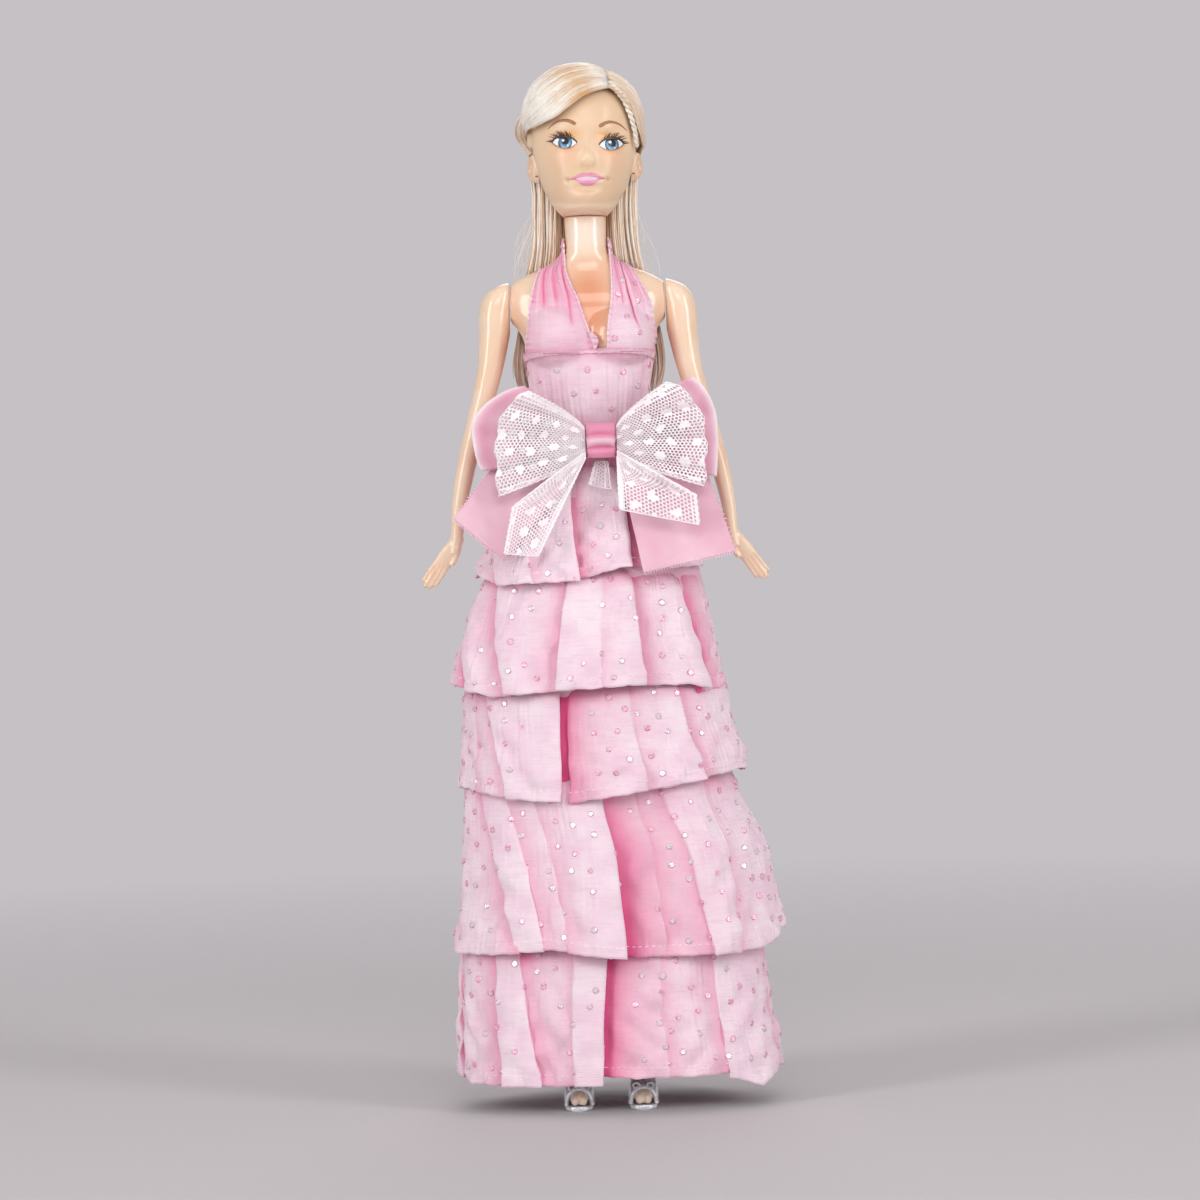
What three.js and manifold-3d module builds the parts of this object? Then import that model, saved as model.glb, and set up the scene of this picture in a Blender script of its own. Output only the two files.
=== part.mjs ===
// A fashion doll of the 29 cm class in a long tiered halter gown with a double bow.
// Millimetres, +Z up. The doll stands and faces -Y, and its own left is at +X.
// The origin is on the floor, midway between the shoes.

import * as THREE from "three";
import { mergeVertices } from "three/addons/utils/BufferGeometryUtils.js";
import Module from "manifold-3d";

const wasm = await Module();
wasm.setup();

// Clearances shared by all pieces
const gap = 0.3; // between two pieces that touch
const cutOverrun = 2; // how far a cutting solid runs past what it cuts
const weldDistance = 0.001;
const shortestEdge = 0.05; // edges shorter than this are closed up in a finished piece
const sliverHeight = 0.01;
const sliverRounds = 20;
const tidyRounds = 3;

// Driving sizes of the shoes
const shoe = {
  length: 24.6,
  width: 8,
  waistWidth: 5.2,
  toeReach: 16.6, // from the leg's line forward to the toe
  soleThickness: 1.4,
  heelHeight: 14.4,
  heelTip: 2.4,
  strapThickness: 0.7,
  strapWidth: 1.1,
  vampWidth: 4.4,
};

// Driving sizes of the legs
const leg = {
  hipHeight: 150, // of the hip axis above the floor
  spacing: 20.2, // between the two legs' lines at the thigh
  ankleSpacing: 18.2,
  thighRadius: 9.2,
  thighDepth: 10.6,
  hipDiscRadius: 11.2,
  hipDiscOuter: 18.8, // how far from the middle the hip disc reaches
  axleRadius: 1.6,
  axleHalfLength: 13.6,
};

// Driving sizes of the hard torso
const torso = {
  bottomClearance: 0.6, // between the hip discs and the torso's lower edge
  height: 91.2, // from the lower edge to the top of the neck
  halfWidth: 22,
  frontDepth: 11.4,
  backDepth: 13.4,
  wall: 1.4,
  crotchHalfWidth: 6.1,
  bustWidth: 10,
  bustDepth: 9.8,
  bustHeight: 9.2,
  bustForward: 3.4,
  bustSpread: 8,
  shoulderDrop: 24.5, // from the top of the neck to the shoulder axis
  seamY: 0.5,
};

// Driving sizes of the arms
const arm = {
  length: 67, // from the shoulder axis to the wrist
  spread: 13.1, // how far the wrist stands outside the shoulder
  radius: 4.7,
  bend: 2.6,
  stemRadius: 1.3,
  flangeRadius: 2,
  flangeThickness: 1,
  flangeInset: 0.5, // how much further in than the wall the flange lies
  palmLength: 7.6,
  palmWidth: 4.8,
  palmThickness: 2.4,
  fingerLength: 9.4,
  fingerRadius: 0.76,
  thumbLength: 5.4,
};

// Driving sizes of the head and the hair
const head = {
  height: 42,
  halfWidth: 14.2,
  faceDepth: 14,
  backDepth: 16.2,
  wall: 1.8,
  neckHoleRadius: 4.1,
  knobStemRadius: 3.7,
  knobFlangeRadius: 4.9,
  knobFlangeThickness: 2.2,
  lean: 1.2, // how far the face stands to the doll's left of the neck
  noseLength: 2.3,
  earHeight: 7.4,
  earDepth: 4.6,
};
const hair = {
  thickness: 2.1,
  fringeThickness: 1,
  fallLength: 66,
  fallHalfWidth: 21.8,
  fallDepth: 15.4, // from the middle of the neck back to the outside of the hair
  twistRadius: 1.15,
  twistTurns: 9,
};

// Driving sizes of the gown
const cloth = 0.6; // thickness of the sewn fabric
const ribbon = 0.5; // thickness of the satin and the lace
const gown = {
  underbustHeight: 51.4, // above the torso's lower edge
  waistHeight: 21.4, // above the torso's lower edge
  bandHeight: 3,
  strapHeight: 4.8,
  closureWidth: 7,
  hemHeight: 12, // of the underskirt above the floor
  hemHalfWidth: 42,
  depthShare: 0.6, // of the skirt's half width
  backDepthShare: 0.57,
};

// Each flounce. Where it is sewn on and its hem are shares of the skirt's top above the floor.
// Its half width at the hem, how far the hem stands to the doll's left and rises there, and
// how far its folds stand out are shares of the underskirt's half width at its hem.
const flounceShares = [
  { top: 0.993, hem: 0.8257, halfWidth: 0.8143, shift: -0.0333, rise: 0, fold: 0.0262 },
  { top: 0.8606, hem: 0.6539, halfWidth: 0.9571, shift: -0.0476, rise: -0.0238, fold: 0.0286 },
  { top: 0.6922, hem: 0.4948, halfWidth: 0.9857, shift: 0, rise: 0.0619, fold: 0.0262 },
  { top: 0.538, hem: 0.2548, halfWidth: 1.1286, shift: 0.0762, rise: 0.0571, fold: 0.0333 },
  { top: 0.3095, hem: 0.0481, halfWidth: 1.0952, shift: 0.0714, rise: -0.0333, fold: 0.0357 },
];

// Driving sizes of the bow
const bow = {
  knotWidth: 8.2,
  knotHeight: 9.6,
  knotDepth: 8.8,
  offset: 2.6, // of the knot from the middle, towards the doll's left
  aboveWaist: 5, // of the knot's middle above the waist seam
};

// Places that follow from the sizes
const hipZ = leg.hipHeight;
const hipY = torso.seamY;
const torsoBottom = hipZ + leg.hipDiscRadius + torso.bottomClearance;
const torsoTop = torsoBottom + torso.height;
const shoulderZ = torsoTop - torso.shoulderDrop;
const headBottom = torsoTop + gap;
const headMiddle = headBottom + head.height / 2;
const waistZ = torsoBottom + gown.waistHeight;
const underbustZ = torsoBottom + gown.underbustHeight;
const footRise = shoe.soleThickness + gap;

const materials = {
  skin: new THREE.MeshStandardMaterial({ color: 0xf2d3b3, roughness: 0.38, metalness: 0 }),
  inner: new THREE.MeshStandardMaterial({ color: 0xe9dccb, roughness: 0.6, metalness: 0 }),
  hair: new THREE.MeshStandardMaterial({ color: 0xf3dcb0, roughness: 0.4, metalness: 0 }),
  gown: new THREE.MeshStandardMaterial({ color: 0xf2bcd6, roughness: 0.55, metalness: 0 }),
  satin: new THREE.MeshStandardMaterial({ color: 0xf0a9c8, roughness: 0.3, metalness: 0 }),
  lace: new THREE.MeshStandardMaterial({ color: 0xfbf4f5, roughness: 0.8, metalness: 0 }),
  tape: new THREE.MeshStandardMaterial({ color: 0xf6e6ec, roughness: 0.9, metalness: 0 }),
  silver: new THREE.MeshStandardMaterial({ color: 0xc9ccd2, roughness: 0.2, metalness: 0.9 }),
};

// Solids from points, from three.js geometries and from cuts

function solidOf(points, triangles) {
  const vertProperties = new Float32Array(points.length * 3);
  points.forEach((p, i) => vertProperties.set([p.x, p.y, p.z], i * 3));
  const build = (list) =>
    new wasm.Manifold(
      new wasm.Mesh({ numProp: 3, vertProperties, triVerts: new Uint32Array(list.flat()) }),
    );
  const made = build(triangles);
  return made.volume() < 0 ? build(triangles.map(([a, b, c]) => [a, c, b])) : made;
}

function weldedMesh(geometry) {
  const bare = new THREE.BufferGeometry();
  bare.setAttribute("position", geometry.getAttribute("position").clone());
  if (geometry.index) bare.setIndex(geometry.index.clone());
  const merged = mergeVertices(bare, weldDistance);
  const position = merged.getAttribute("position");
  const points = [];
  for (let i = 0; i < position.count; i++)
    points.push(new THREE.Vector3().fromBufferAttribute(position, i));
  const triangles = [];
  for (let i = 0; i < merged.index.count; i += 3) {
    const corner = [0, 1, 2].map((k) => merged.index.getX(i + k));
    if (new Set(corner).size === 3) triangles.push(corner);
  }
  return { points, triangles };
}

function solidOfGeometry(geometry) {
  const { points, triangles } = weldedMesh(geometry);
  return solidOf(points, triangles);
}

// Closes up the shortest edges that a cut leaves, where that keeps the body closed
function closeShortEdges(points, triangles) {
  let list = triangles;
  for (let closed = true; closed; ) {
    closed = false;
    const near = points.map(() => new Set());
    list.forEach((t) => t.forEach((a) => t.forEach((b) => a !== b && near[a].add(b))));
    for (let a = 0; a < points.length && !closed; a++)
      for (const b of near[a]) {
        const shared = [...near[a]].filter((c) => near[b].has(c)).length;
        if (shared !== 2 || points[a].distanceTo(points[b]) > shortestEdge) continue;
        list = list.map((t) => t.map((c) => (c === b ? a : c))).filter((t) => new Set(t).size === 3);
        closed = true;
        break;
      }
  }
  return list;
}

// Turns the longest edge of each sliver that a cut leaves, so that no face is without area.
function turnSlivers(points, triangles) {
  for (let round = 0; round < sliverRounds; round++) {
    const owner = new Map();
    triangles.forEach((t, i) => t.forEach((a, k) => owner.set(a + "_" + t[(k + 1) % 3], i)));
    const turned = new Set();
    triangles.forEach((t, i) => {
      if (turned.has(i)) return;
      const lengths = t.map((a, k) => points[a].distanceTo(points[t[(k + 1) % 3]]));
      const longest = lengths.indexOf(Math.max(...lengths));
      const [a, b, c] = [0, 1, 2].map((k) => t[(longest + k) % 3]);
      const along = points[b].clone().sub(points[a]).normalize();
      const height = points[c].clone().sub(points[a]).cross(along).length();
      if (height > sliverHeight) return;
      const other = owner.get(b + "_" + a);
      const d = triangles[other].find((v) => v !== a && v !== b);
      if (turned.has(other) || owner.has(c + "_" + d) || owner.has(d + "_" + c)) return;
      triangles[i] = [a, d, c];
      triangles[other] = [d, b, c];
      [i, other].forEach((k) => turned.add(k));
      [c + "_" + d, d + "_" + c].forEach((edge) => owner.set(edge, i));
    });
    if (!turned.size) break;
  }
  return triangles;
}

function largest(solid) {
  return solid.decompose().sort((a, b) => b.volume() - a.volume())[0];
}

function meshOf(name, solid, material) {
  const made = largest(solid).getMesh();
  const cut = new THREE.BufferGeometry();
  const flat = new Float32Array(made.numVert * 3);
  for (let i = 0; i < made.numVert; i++)
    flat.set(made.vertProperties.subarray(i * made.numProp, i * made.numProp + 3), i * 3);
  cut.setAttribute("position", new THREE.BufferAttribute(flat, 3));
  cut.setIndex(new THREE.BufferAttribute(new Uint32Array(made.triVerts), 1));
  const { points, triangles } = weldedMesh(cut);
  let faces = triangles;
  for (let round = 0; round < tidyRounds; round++)
    faces = turnSlivers(points, closeShortEdges(points, faces));
  const used = [...new Set(faces.flat())];
  const place = new Map(used.map((old, i) => [old, i]));
  const geometry = new THREE.BufferGeometry().setFromPoints(used.map((i) => points[i]));
  geometry.setIndex(faces.flat().map((i) => place.get(i)));
  geometry.computeVertexNormals();
  const mesh = new THREE.Mesh(geometry, material);
  mesh.name = name;
  return mesh;
}

// A box between two corners
function box(x0, x1, y0, y1, z0, z1) {
  const geometry = new THREE.BoxGeometry(x1 - x0, y1 - y0, z1 - z0);
  geometry.translate((x0 + x1) / 2, (y0 + y1) / 2, (z0 + z1) / 2);
  return solidOfGeometry(geometry);
}

// A round bar along X
function barX(radius, x0, x1, y, z, sides) {
  const geometry = new THREE.CylinderGeometry(radius, radius, x1 - x0, sides);
  geometry.rotateZ(Math.PI / 2);
  geometry.translate((x0 + x1) / 2, y, z);
  return solidOfGeometry(geometry);
}

function ellipsoid(x, y, z, rx, ry, rz, sides) {
  const geometry = new THREE.SphereGeometry(1, sides, Math.round(sides * 0.6));
  geometry.scale(rx, ry, rz);
  geometry.translate(x, y, z);
  return solidOfGeometry(geometry);
}

// A prism with an outline in X and Z, running along Y from y0 to y1
function prismY(outline, y0, y1) {
  const shape = new THREE.Shape(outline.map(([x, z]) => new THREE.Vector2(x, z)));
  const geometry = new THREE.ExtrudeGeometry(shape, {
    depth: y1 - y0,
    bevelEnabled: false,
    steps: 1,
    curveSegments: 8,
  });
  geometry.rotateX(Math.PI / 2);
  geometry.translate(0, y1, 0);
  return solidOfGeometry(geometry);
}

// A prism with an outline in Y and Z, running along X from x0 to x1
function prismX(shape, x0, x1, curveSegments) {
  const geometry = new THREE.ExtrudeGeometry(shape, {
    depth: x1 - x0,
    bevelEnabled: false,
    steps: 1,
    curveSegments,
  });
  geometry.applyMatrix4(
    new THREE.Matrix4().set(0, 0, 1, x0, 1, 0, 0, 0, 0, 1, 0, 0, 0, 0, 0, 1),
  );
  return solidOfGeometry(geometry);
}

// A skin over rings of equally many points, closed by a fan at each end
function skin(rings) {
  const count = rings[0].length;
  const points = rings.flat();
  const triangles = [];
  for (let r = 0; r + 1 < rings.length; r++)
    for (let i = 0; i < count; i++) {
      const a = r * count + i;
      const b = r * count + ((i + 1) % count);
      triangles.push([a, b, b + count], [a, b + count, a + count]);
    }
  for (const [r, turned] of [[0, true], [rings.length - 1, false]]) {
    const middle = points.length;
    points.push(rings[r].reduce((s, p) => s.add(p), new THREE.Vector3()).divideScalar(count));
    for (let i = 0; i < count; i++) {
      const a = r * count + i;
      const b = r * count + ((i + 1) % count);
      triangles.push(turned ? [middle, b, a] : [middle, a, b]);
    }
  }
  return solidOf(points, triangles);
}

// A level ring: half width rx, and a depth of its own to the front and to the back
function levelRing({ x = 0, y = 0, z, rx, front, back }, count) {
  const ring = [];
  for (let i = 0; i < count; i++) {
    const a = (2 * Math.PI * i) / count;
    const side = Math.sin(a);
    ring.push(
      new THREE.Vector3(x + rx * Math.cos(a), y + (side < 0 ? front : back) * side, z),
    );
  }
  return ring;
}

// A tube of changing section along points, its sections kept square to the way
function tubeAlong(stations, sides, across = new THREE.Vector3(0, 1, 0)) {
  const curve = new THREE.CatmullRomCurve3(stations.map((s) => s.at));
  const rings = stations.map((s, k) => {
    const t = k / (stations.length - 1);
    const along = curve.getTangent(t);
    const depth = across.clone().addScaledVector(along, -across.dot(along)).normalize();
    const width = new THREE.Vector3().crossVectors(depth, along);
    const ring = [];
    for (let i = 0; i < sides; i++) {
      const a = (2 * Math.PI * i) / sides;
      ring.push(
        s.at
          .clone()
          .addScaledVector(width, s.width * Math.cos(a))
          .addScaledVector(depth, s.depth * Math.sin(a)),
      );
    }
    return ring;
  });
  return skin(rings);
}

// A sheet of cloth: a surface of u and v from 0 to 1, thickened by half to each side.
// Where round is true, u closes on itself.
function clothSheet(surface, uValues, vCount, thickness, round = false) {
  const step = 0.002;
  const columns = uValues.length;
  const rows = vCount + 1;
  const points = [];
  for (const side of [1, -1])
    for (const u of uValues)
      for (let j = 0; j < rows; j++) {
        const v = j / vCount;
        const along = surface(u + step, v).sub(surface(u - step, v));
        const down = surface(u, v + step).sub(surface(u, v - step));
        const normal = along.cross(down).normalize();
        points.push(surface(u, v).addScaledVector(normal, (side * thickness) / 2));
      }
  const index = (side, i, j) => side * columns * rows + (i % columns) * rows + j;
  const triangles = [];
  const quad = (a, b, c, d) => triangles.push([a, b, c], [a, c, d]);
  const spans = round ? columns : columns - 1;
  for (let i = 0; i < spans; i++)
    for (let j = 0; j < vCount; j++) {
      quad(index(0, i, j), index(0, i, j + 1), index(0, i + 1, j + 1), index(0, i + 1, j));
      quad(index(1, i, j), index(1, i + 1, j), index(1, i + 1, j + 1), index(1, i, j + 1));
    }
  for (let i = 0; i < spans; i++) {
    quad(index(0, i, 0), index(0, i + 1, 0), index(1, i + 1, 0), index(1, i, 0));
    quad(index(0, i, vCount), index(1, i, vCount), index(1, i + 1, vCount), index(0, i + 1, vCount));
  }
  if (!round)
    for (let j = 0; j < vCount; j++) {
      const last = columns - 1;
      quad(index(0, 0, j), index(1, 0, j), index(1, 0, j + 1), index(0, 0, j + 1));
      quad(index(0, last, j), index(0, last, j + 1), index(1, last, j + 1), index(1, last, j));
    }
  return solidOf(points, triangles);
}

// A power of a share that may run a little past 0
function eased(share, power) {
  return Math.sign(share) * Math.abs(share) ** power;
}

function evenly(count, closed = false) {
  return Array.from({ length: count + (closed ? 0 : 1) }, (_, i) => i / count);
}

// The torso. Each row: height, half width, depth to the front and depth to the back,
// as shares of the torso's own sizes.
const torsoShares = [
  [0, 0.93, 1, 1.06],
  [0.07, 0.92, 1, 0.98],
  [0.15, 0.8, 0.96, 0.8],
  [0.24, 0.66, 0.86, 0.64],
  [0.33, 0.64, 0.84, 0.6],
  [0.44, 0.73, 0.88, 0.66],
  [0.56, 0.8, 0.94, 0.72],
  [0.65, 0.9, 0.92, 0.76],
  [0.695, 1.05, 0.84, 0.78],
  [0.76, 1.06, 0.76, 0.74],
  [0.8, 0.96, 0.62, 0.6],
  [0.828, 0.74, 0.54, 0.5],
  [0.855, 0.44, 0.5, 0.47],
  [0.88, 0.31, 0.5, 0.45],
  [0.92, 0.275, 0.49, 0.44],
  [1, 0.272, 0.49, 0.43],
];
const torsoSides = 18;
const bustRiseShare = 0.62;

function torsoBody(grow, sides = torsoSides) {
  const rings = torsoShares.map(([up, wide, front, back]) =>
    levelRing(
      {
        y: hipY,
        z: torsoBottom + up * torso.height + (up === 1 ? grow : 0),
        rx: wide * torso.halfWidth + grow,
        front: front * torso.frontDepth + grow,
        back: back * torso.backDepth + grow,
      },
      sides,
    ),
  );
  if (grow < 0) return skin(rings);
  const bust = [-1, 1].map((side) =>
    ellipsoid(
      side * torso.bustSpread,
      -torso.bustForward,
      torsoBottom + bustRiseShare * torso.height,
      torso.bustWidth + grow,
      torso.bustDepth + grow,
      torso.bustHeight + grow,
      12,
    ),
  );
  return skin(rings).add(bust[0]).add(bust[1]);
}

// A skin of the torso's own form, between two distances from it
function torsoLayer(inside, outside) {
  return torsoBody(outside).subtract(torsoBody(inside));
}

// The two halves of the torso meet at a side seam that holds the arm stems and the hip axle
const hollowSides = 12;
const webShare = 0.6; // how deep the web over the crotch is, as a share of its radius
const armHole = arm.stemRadius + gap;
const crotchRadius = leg.hipDiscRadius - gap;

function torsoHalves() {
  const sideLimit = torso.halfWidth;
  const reach = torso.halfWidth + leg.hipDiscOuter;
  const between = (x, z0, z1) => box(-x, x, -reach, reach, z0, z1);
  const outer = torsoBody(0).intersect(between(sideLimit, torsoBottom, torsoTop));
  const hollowTop = torsoTop - torso.wall;
  const hollow = torsoBody(-torso.wall, hollowSides).intersect(
    between(sideLimit - torso.wall, torsoBottom + torso.wall, hollowTop - head.knobFlangeThickness),
  );
  const neckBoreRadius = head.knobStemRadius + gap;
  const neckBore = skin(
    [shoulderZ, torsoTop + cutOverrun].map((z) =>
      levelRing({ y: hipY, z, rx: neckBoreRadius, front: neckBoreRadius, back: neckBoreRadius }, 16),
    ),
  );
  const crotch = barX(crotchRadius, -torso.crotchHalfWidth, torso.crotchHalfWidth, hipY, hipZ, 28).add(
    box(
      -torso.crotchHalfWidth,
      torso.crotchHalfWidth,
      hipY - crotchRadius * webShare,
      hipY + crotchRadius * webShare,
      hipZ,
      torsoBottom + torso.wall,
    ),
  );
  const stems = barX(armHole, -reach, reach, hipY, shoulderZ, 14);
  const axle = barX(leg.axleRadius + gap, -reach, reach, hipY, hipZ, 14);
  const whole = outer.subtract(hollow).subtract(neckBore).add(crotch).subtract(stems).subtract(axle);
  const seam = gap / 2;
  return {
    front: whole.intersect(box(-reach, reach, -reach, hipY - seam, 0, torsoTop)),
    back: whole.intersect(box(-reach, reach, hipY + seam, reach, 0, torsoTop)),
  };
}

// The knob on top of the neck: a stem in the neck, and a flange inside the head
function neckKnob() {
  const stemBottom = torsoTop - 0.09 * torso.height;
  const flangeBottom = headBottom + head.wall + gap;
  const flangeTop = flangeBottom + head.knobFlangeThickness;
  const profile = [
    [0, stemBottom],
    [head.knobStemRadius, stemBottom],
    [head.knobStemRadius, flangeBottom],
    [head.knobFlangeRadius, flangeBottom],
    [head.knobFlangeRadius * 0.8, flangeTop],
    [0, flangeTop],
  ].map(([r, z]) => new THREE.Vector2(r, z));
  const geometry = new THREE.LatheGeometry(profile, 16);
  geometry.rotateX(Math.PI / 2);
  geometry.translate(0, hipY, 0);
  return solidOfGeometry(geometry);
}

// The head. Each row: height, half width, depth of the face and of the back, as shares.
const headShares = [
  [0, 0.47, 0.46, 0.4],
  [0.022, 0.55, 0.66, 0.44],
  [0.05, 0.63, 0.85, 0.5],
  [0.1, 0.72, 0.94, 0.58],
  [0.165, 0.82, 0.975, 0.66],
  [0.225, 0.88, 0.985, 0.74],
  [0.3, 0.935, 0.99, 0.83],
  [0.36, 0.96, 1, 0.89],
  [0.42, 0.98, 1, 0.94],
  [0.49, 1, 0.99, 0.98],
  [0.57, 1, 0.98, 1],
  [0.66, 0.985, 0.955, 1],
  [0.76, 0.93, 0.88, 0.95],
  [0.85, 0.81, 0.74, 0.83],
  [0.92, 0.62, 0.55, 0.64],
  [0.97, 0.4, 0.34, 0.42],
  [1, 0.12, 0.1, 0.12],
];
const headSides = 30;

// A smooth hump of height 1 at the middle, fading over the given width
function hump(distance, width) {
  return Math.exp(-((distance / width) ** 2));
}

// How far the face stands out of the plain head. Across is the share of the half width, and
// up the share of the head's height.
function faceRelief(across, up) {
  const nose = hump(across, 0.1) * (hump(up - 0.345, 0.045) + 0.42 * hump(up - 0.42, 0.07));
  const lips = 0.26 * hump(across, 0.26) * (hump(up - 0.255, 0.014) + hump(up - 0.215, 0.016));
  const chin = 0.42 * hump(across, 0.26) * hump(up - 0.1, 0.06);
  const cheeks = 0.22 * hump(Math.abs(across) - 0.52, 0.26) * hump(up - 0.32, 0.08);
  const sockets = -0.42 * hump(Math.abs(across) - 0.4, 0.22) * hump(up - 0.485, 0.05);
  const brow = 0.2 * hump(Math.abs(across) - 0.4, 0.3) * hump(up - 0.58, 0.05);
  return head.noseLength * (nose + lips + chin + cheeks + sockets + brow);
}

// How far the head stands to the doll's left, by the share of its height
const leanFullShare = 0.3;
function leanAt(up) {
  return head.lean * Math.min(1, Math.max(0, up / leanFullShare));
}

// Rings are closer together across the face than behind
function headBody(grow, sides = headSides, withFace = true) {
  const tall = (head.height / 2 + grow) / (head.height / 2);
  const rings = headShares.map(([up, wide, face, back]) => {
    const ring = [];
    for (let i = 0; i < sides; i++) {
      const t = i / sides;
      const a = 2 * Math.PI * t - 0.42 * Math.cos(2 * Math.PI * t);
      const x = (wide * head.halfWidth + grow) * Math.cos(a);
      const side = Math.sin(a);
      const depth = side < 0 ? face * head.faceDepth + grow : back * head.backDepth + grow;
      const relief = withFace && side < 0 ? faceRelief(x / head.halfWidth, up) * -side : 0;
      ring.push(
        new THREE.Vector3(
          x + leanAt(up),
          depth * side - relief,
          headMiddle + (headBottom + up * head.height - headMiddle) * tall,
        ),
      );
    }
    return ring;
  });
  return skin(rings);
}

const earRise = 0.335 * head.height;
function ear(side, grow) {
  return ellipsoid(
    side * head.halfWidth * 0.99 + head.lean,
    head.earDepth * 0.25,
    headBottom + earRise,
    head.earDepth * 0.32 + grow,
    head.earDepth / 2 + grow,
    head.earHeight / 2 + grow,
    10,
  );
}

function headShell() {
  const neckHole = skin(
    [headBottom - cutOverrun, headBottom + head.wall + cutOverrun].map((z) =>
      levelRing(
        { y: hipY, z, rx: head.neckHoleRadius, front: head.neckHoleRadius, back: head.neckHoleRadius },
        16,
      ),
    ),
  );
  const pocketBottom = headBottom + head.wall;
  const pocketRadius = head.knobFlangeRadius + gap;
  const pocket = skin(
    [pocketBottom, pocketBottom + head.knobFlangeThickness * 3].map((z) =>
      levelRing({ y: hipY, z, rx: pocketRadius, front: pocketRadius, back: pocketRadius }, 16),
    ),
  );
  const hollow = headBody(-head.wall, 12, false).add(pocket);
  return headBody(0).add(ear(-1, 0)).add(ear(1, 0)).subtract(hollow).subtract(neckHole);
}

// The hair. The hairline's points: across as a share of the head's half width, and up as a
// share of the head's height.
const hairlineShares = [
  [-1.6, 0.2],
  [-1.02, 0.38],
  [-0.99, 0.5],
  [-0.93, 0.6],
  [-0.72, 0.66],
  [-0.4, 0.75],
  [0, 0.815],
  [0.35, 0.845],
  [0.62, 0.81],
  [0.84, 0.7],
  [0.95, 0.58],
  [1.0, 0.46],
  [1.03, 0.38],
  [1.6, 0.2],
];
const hairSides = 20;
const hairClear = gap * 1.6;
const capBottomShare = 0.27;
const faceEdgeShare = 0.16; // how far behind the head's middle the hairline runs

function headPlace([across, up]) {
  return [across * head.halfWidth + leanAt(up), headBottom + up * head.height];
}

function hairCap() {
  const wide = head.halfWidth * 2;
  const deep = head.backDepth * 2;
  const outline = hairlineShares.map(headPlace);
  outline.push([wide, headBottom - deep], [-wide, headBottom - deep]);
  const faceCut = prismY(outline, -deep, faceEdgeShare * head.faceDepth);
  const capBottom = headBottom + capBottomShare * head.height;
  return headBody(hair.thickness, hairSides, false)
    .subtract(headBody(hairClear, hairSides, false))
    .subtract(faceCut)
    .subtract(ear(-1, gap))
    .subtract(ear(1, gap))
    .intersect(box(-wide, wide, -deep, deep, capBottom, headBottom + head.height * 2));
}

// The fringe is swept from the parting over the forehead to the doll's right temple
const fringeShares = [
  [0.42, 0.86],
  [0.2, 0.8],
  [-0.2, 0.73],
  [-0.5, 0.62],
  [-0.86, 0.545],
  [-1.14, 0.5],
  [-1.22, 0.62],
  [-1.08, 0.8],
  [-0.7, 0.97],
  [-0.2, 1.06],
  [0.3, 1.02],
];
function fringe() {
  const inside = hair.thickness + gap;
  const layer = headBody(inside + hair.fringeThickness, hairSides, false).subtract(
    headBody(inside, hairSides, false),
  );
  return layer.intersect(
    prismY(fringeShares.map(headPlace), -head.faceDepth * 2, head.earDepth),
  );
}

// The lock that is rolled back over the doll's right ear
function sideRoll() {
  const roll = ellipsoid(
    -head.halfWidth * 1.05,
    head.earDepth * 0.5,
    headBottom + 0.585 * head.height,
    head.earDepth * 0.72,
    head.earDepth,
    head.earHeight * 0.66,
    14,
  );
  const cover = headBody(hair.thickness + gap * 2 + hair.fringeThickness, hairSides, false);
  return roll.subtract(cover);
}

// The twisted strand along the hairline at the doll's left, as a turning two-lobed section.
// Each row: across and up as above, and forward as a share of the face's depth.
const twistShares = [
  [0.5, 0.9, 0.93],
  [0.78, 0.8, 0.86],
  [0.96, 0.68, 0.66],
  [1.05, 0.56, 0.44],
  [1.1, 0.44, 0.24],
];
const twistSteps = 20;
const twistSides = 6;
function hairTwist() {
  const curve = new THREE.CatmullRomCurve3(
    twistShares.map(([across, up, forward]) => {
      const [x, z] = headPlace([across, up]);
      const outward = hair.twistRadius + hair.thickness * 0.25;
      return new THREE.Vector3(x + outward, -forward * head.faceDepth - outward, z + outward * 0.4);
    }),
  );
  const rings = [];
  for (let k = 0; k <= twistSteps; k++) {
    const t = k / twistSteps;
    const at = curve.getPoint(t);
    const along = curve.getTangent(t);
    const depth = new THREE.Vector3(0, 1, 0).addScaledVector(along, -along.y).normalize();
    const width = new THREE.Vector3().crossVectors(depth, along);
    const turn = Math.PI * hair.twistTurns * t;
    const ring = [];
    for (let i = 0; i < twistSides; i++) {
      const a = (2 * Math.PI * i) / twistSides;
      const lobe = hair.twistRadius * (0.84 + 0.16 * Math.cos(2 * (a - turn)));
      ring.push(
        at
          .clone()
          .addScaledVector(width, lobe * Math.cos(a))
          .addScaledVector(depth, lobe * Math.sin(a)),
      );
    }
    rings.push(ring);
  }
  return skin(rings)
    .subtract(headBody(hair.thickness + gap, hairSides, false))
    .subtract(prismY(fringeShares.map(headPlace), -head.faceDepth * 3, head.earDepth));
}

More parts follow.
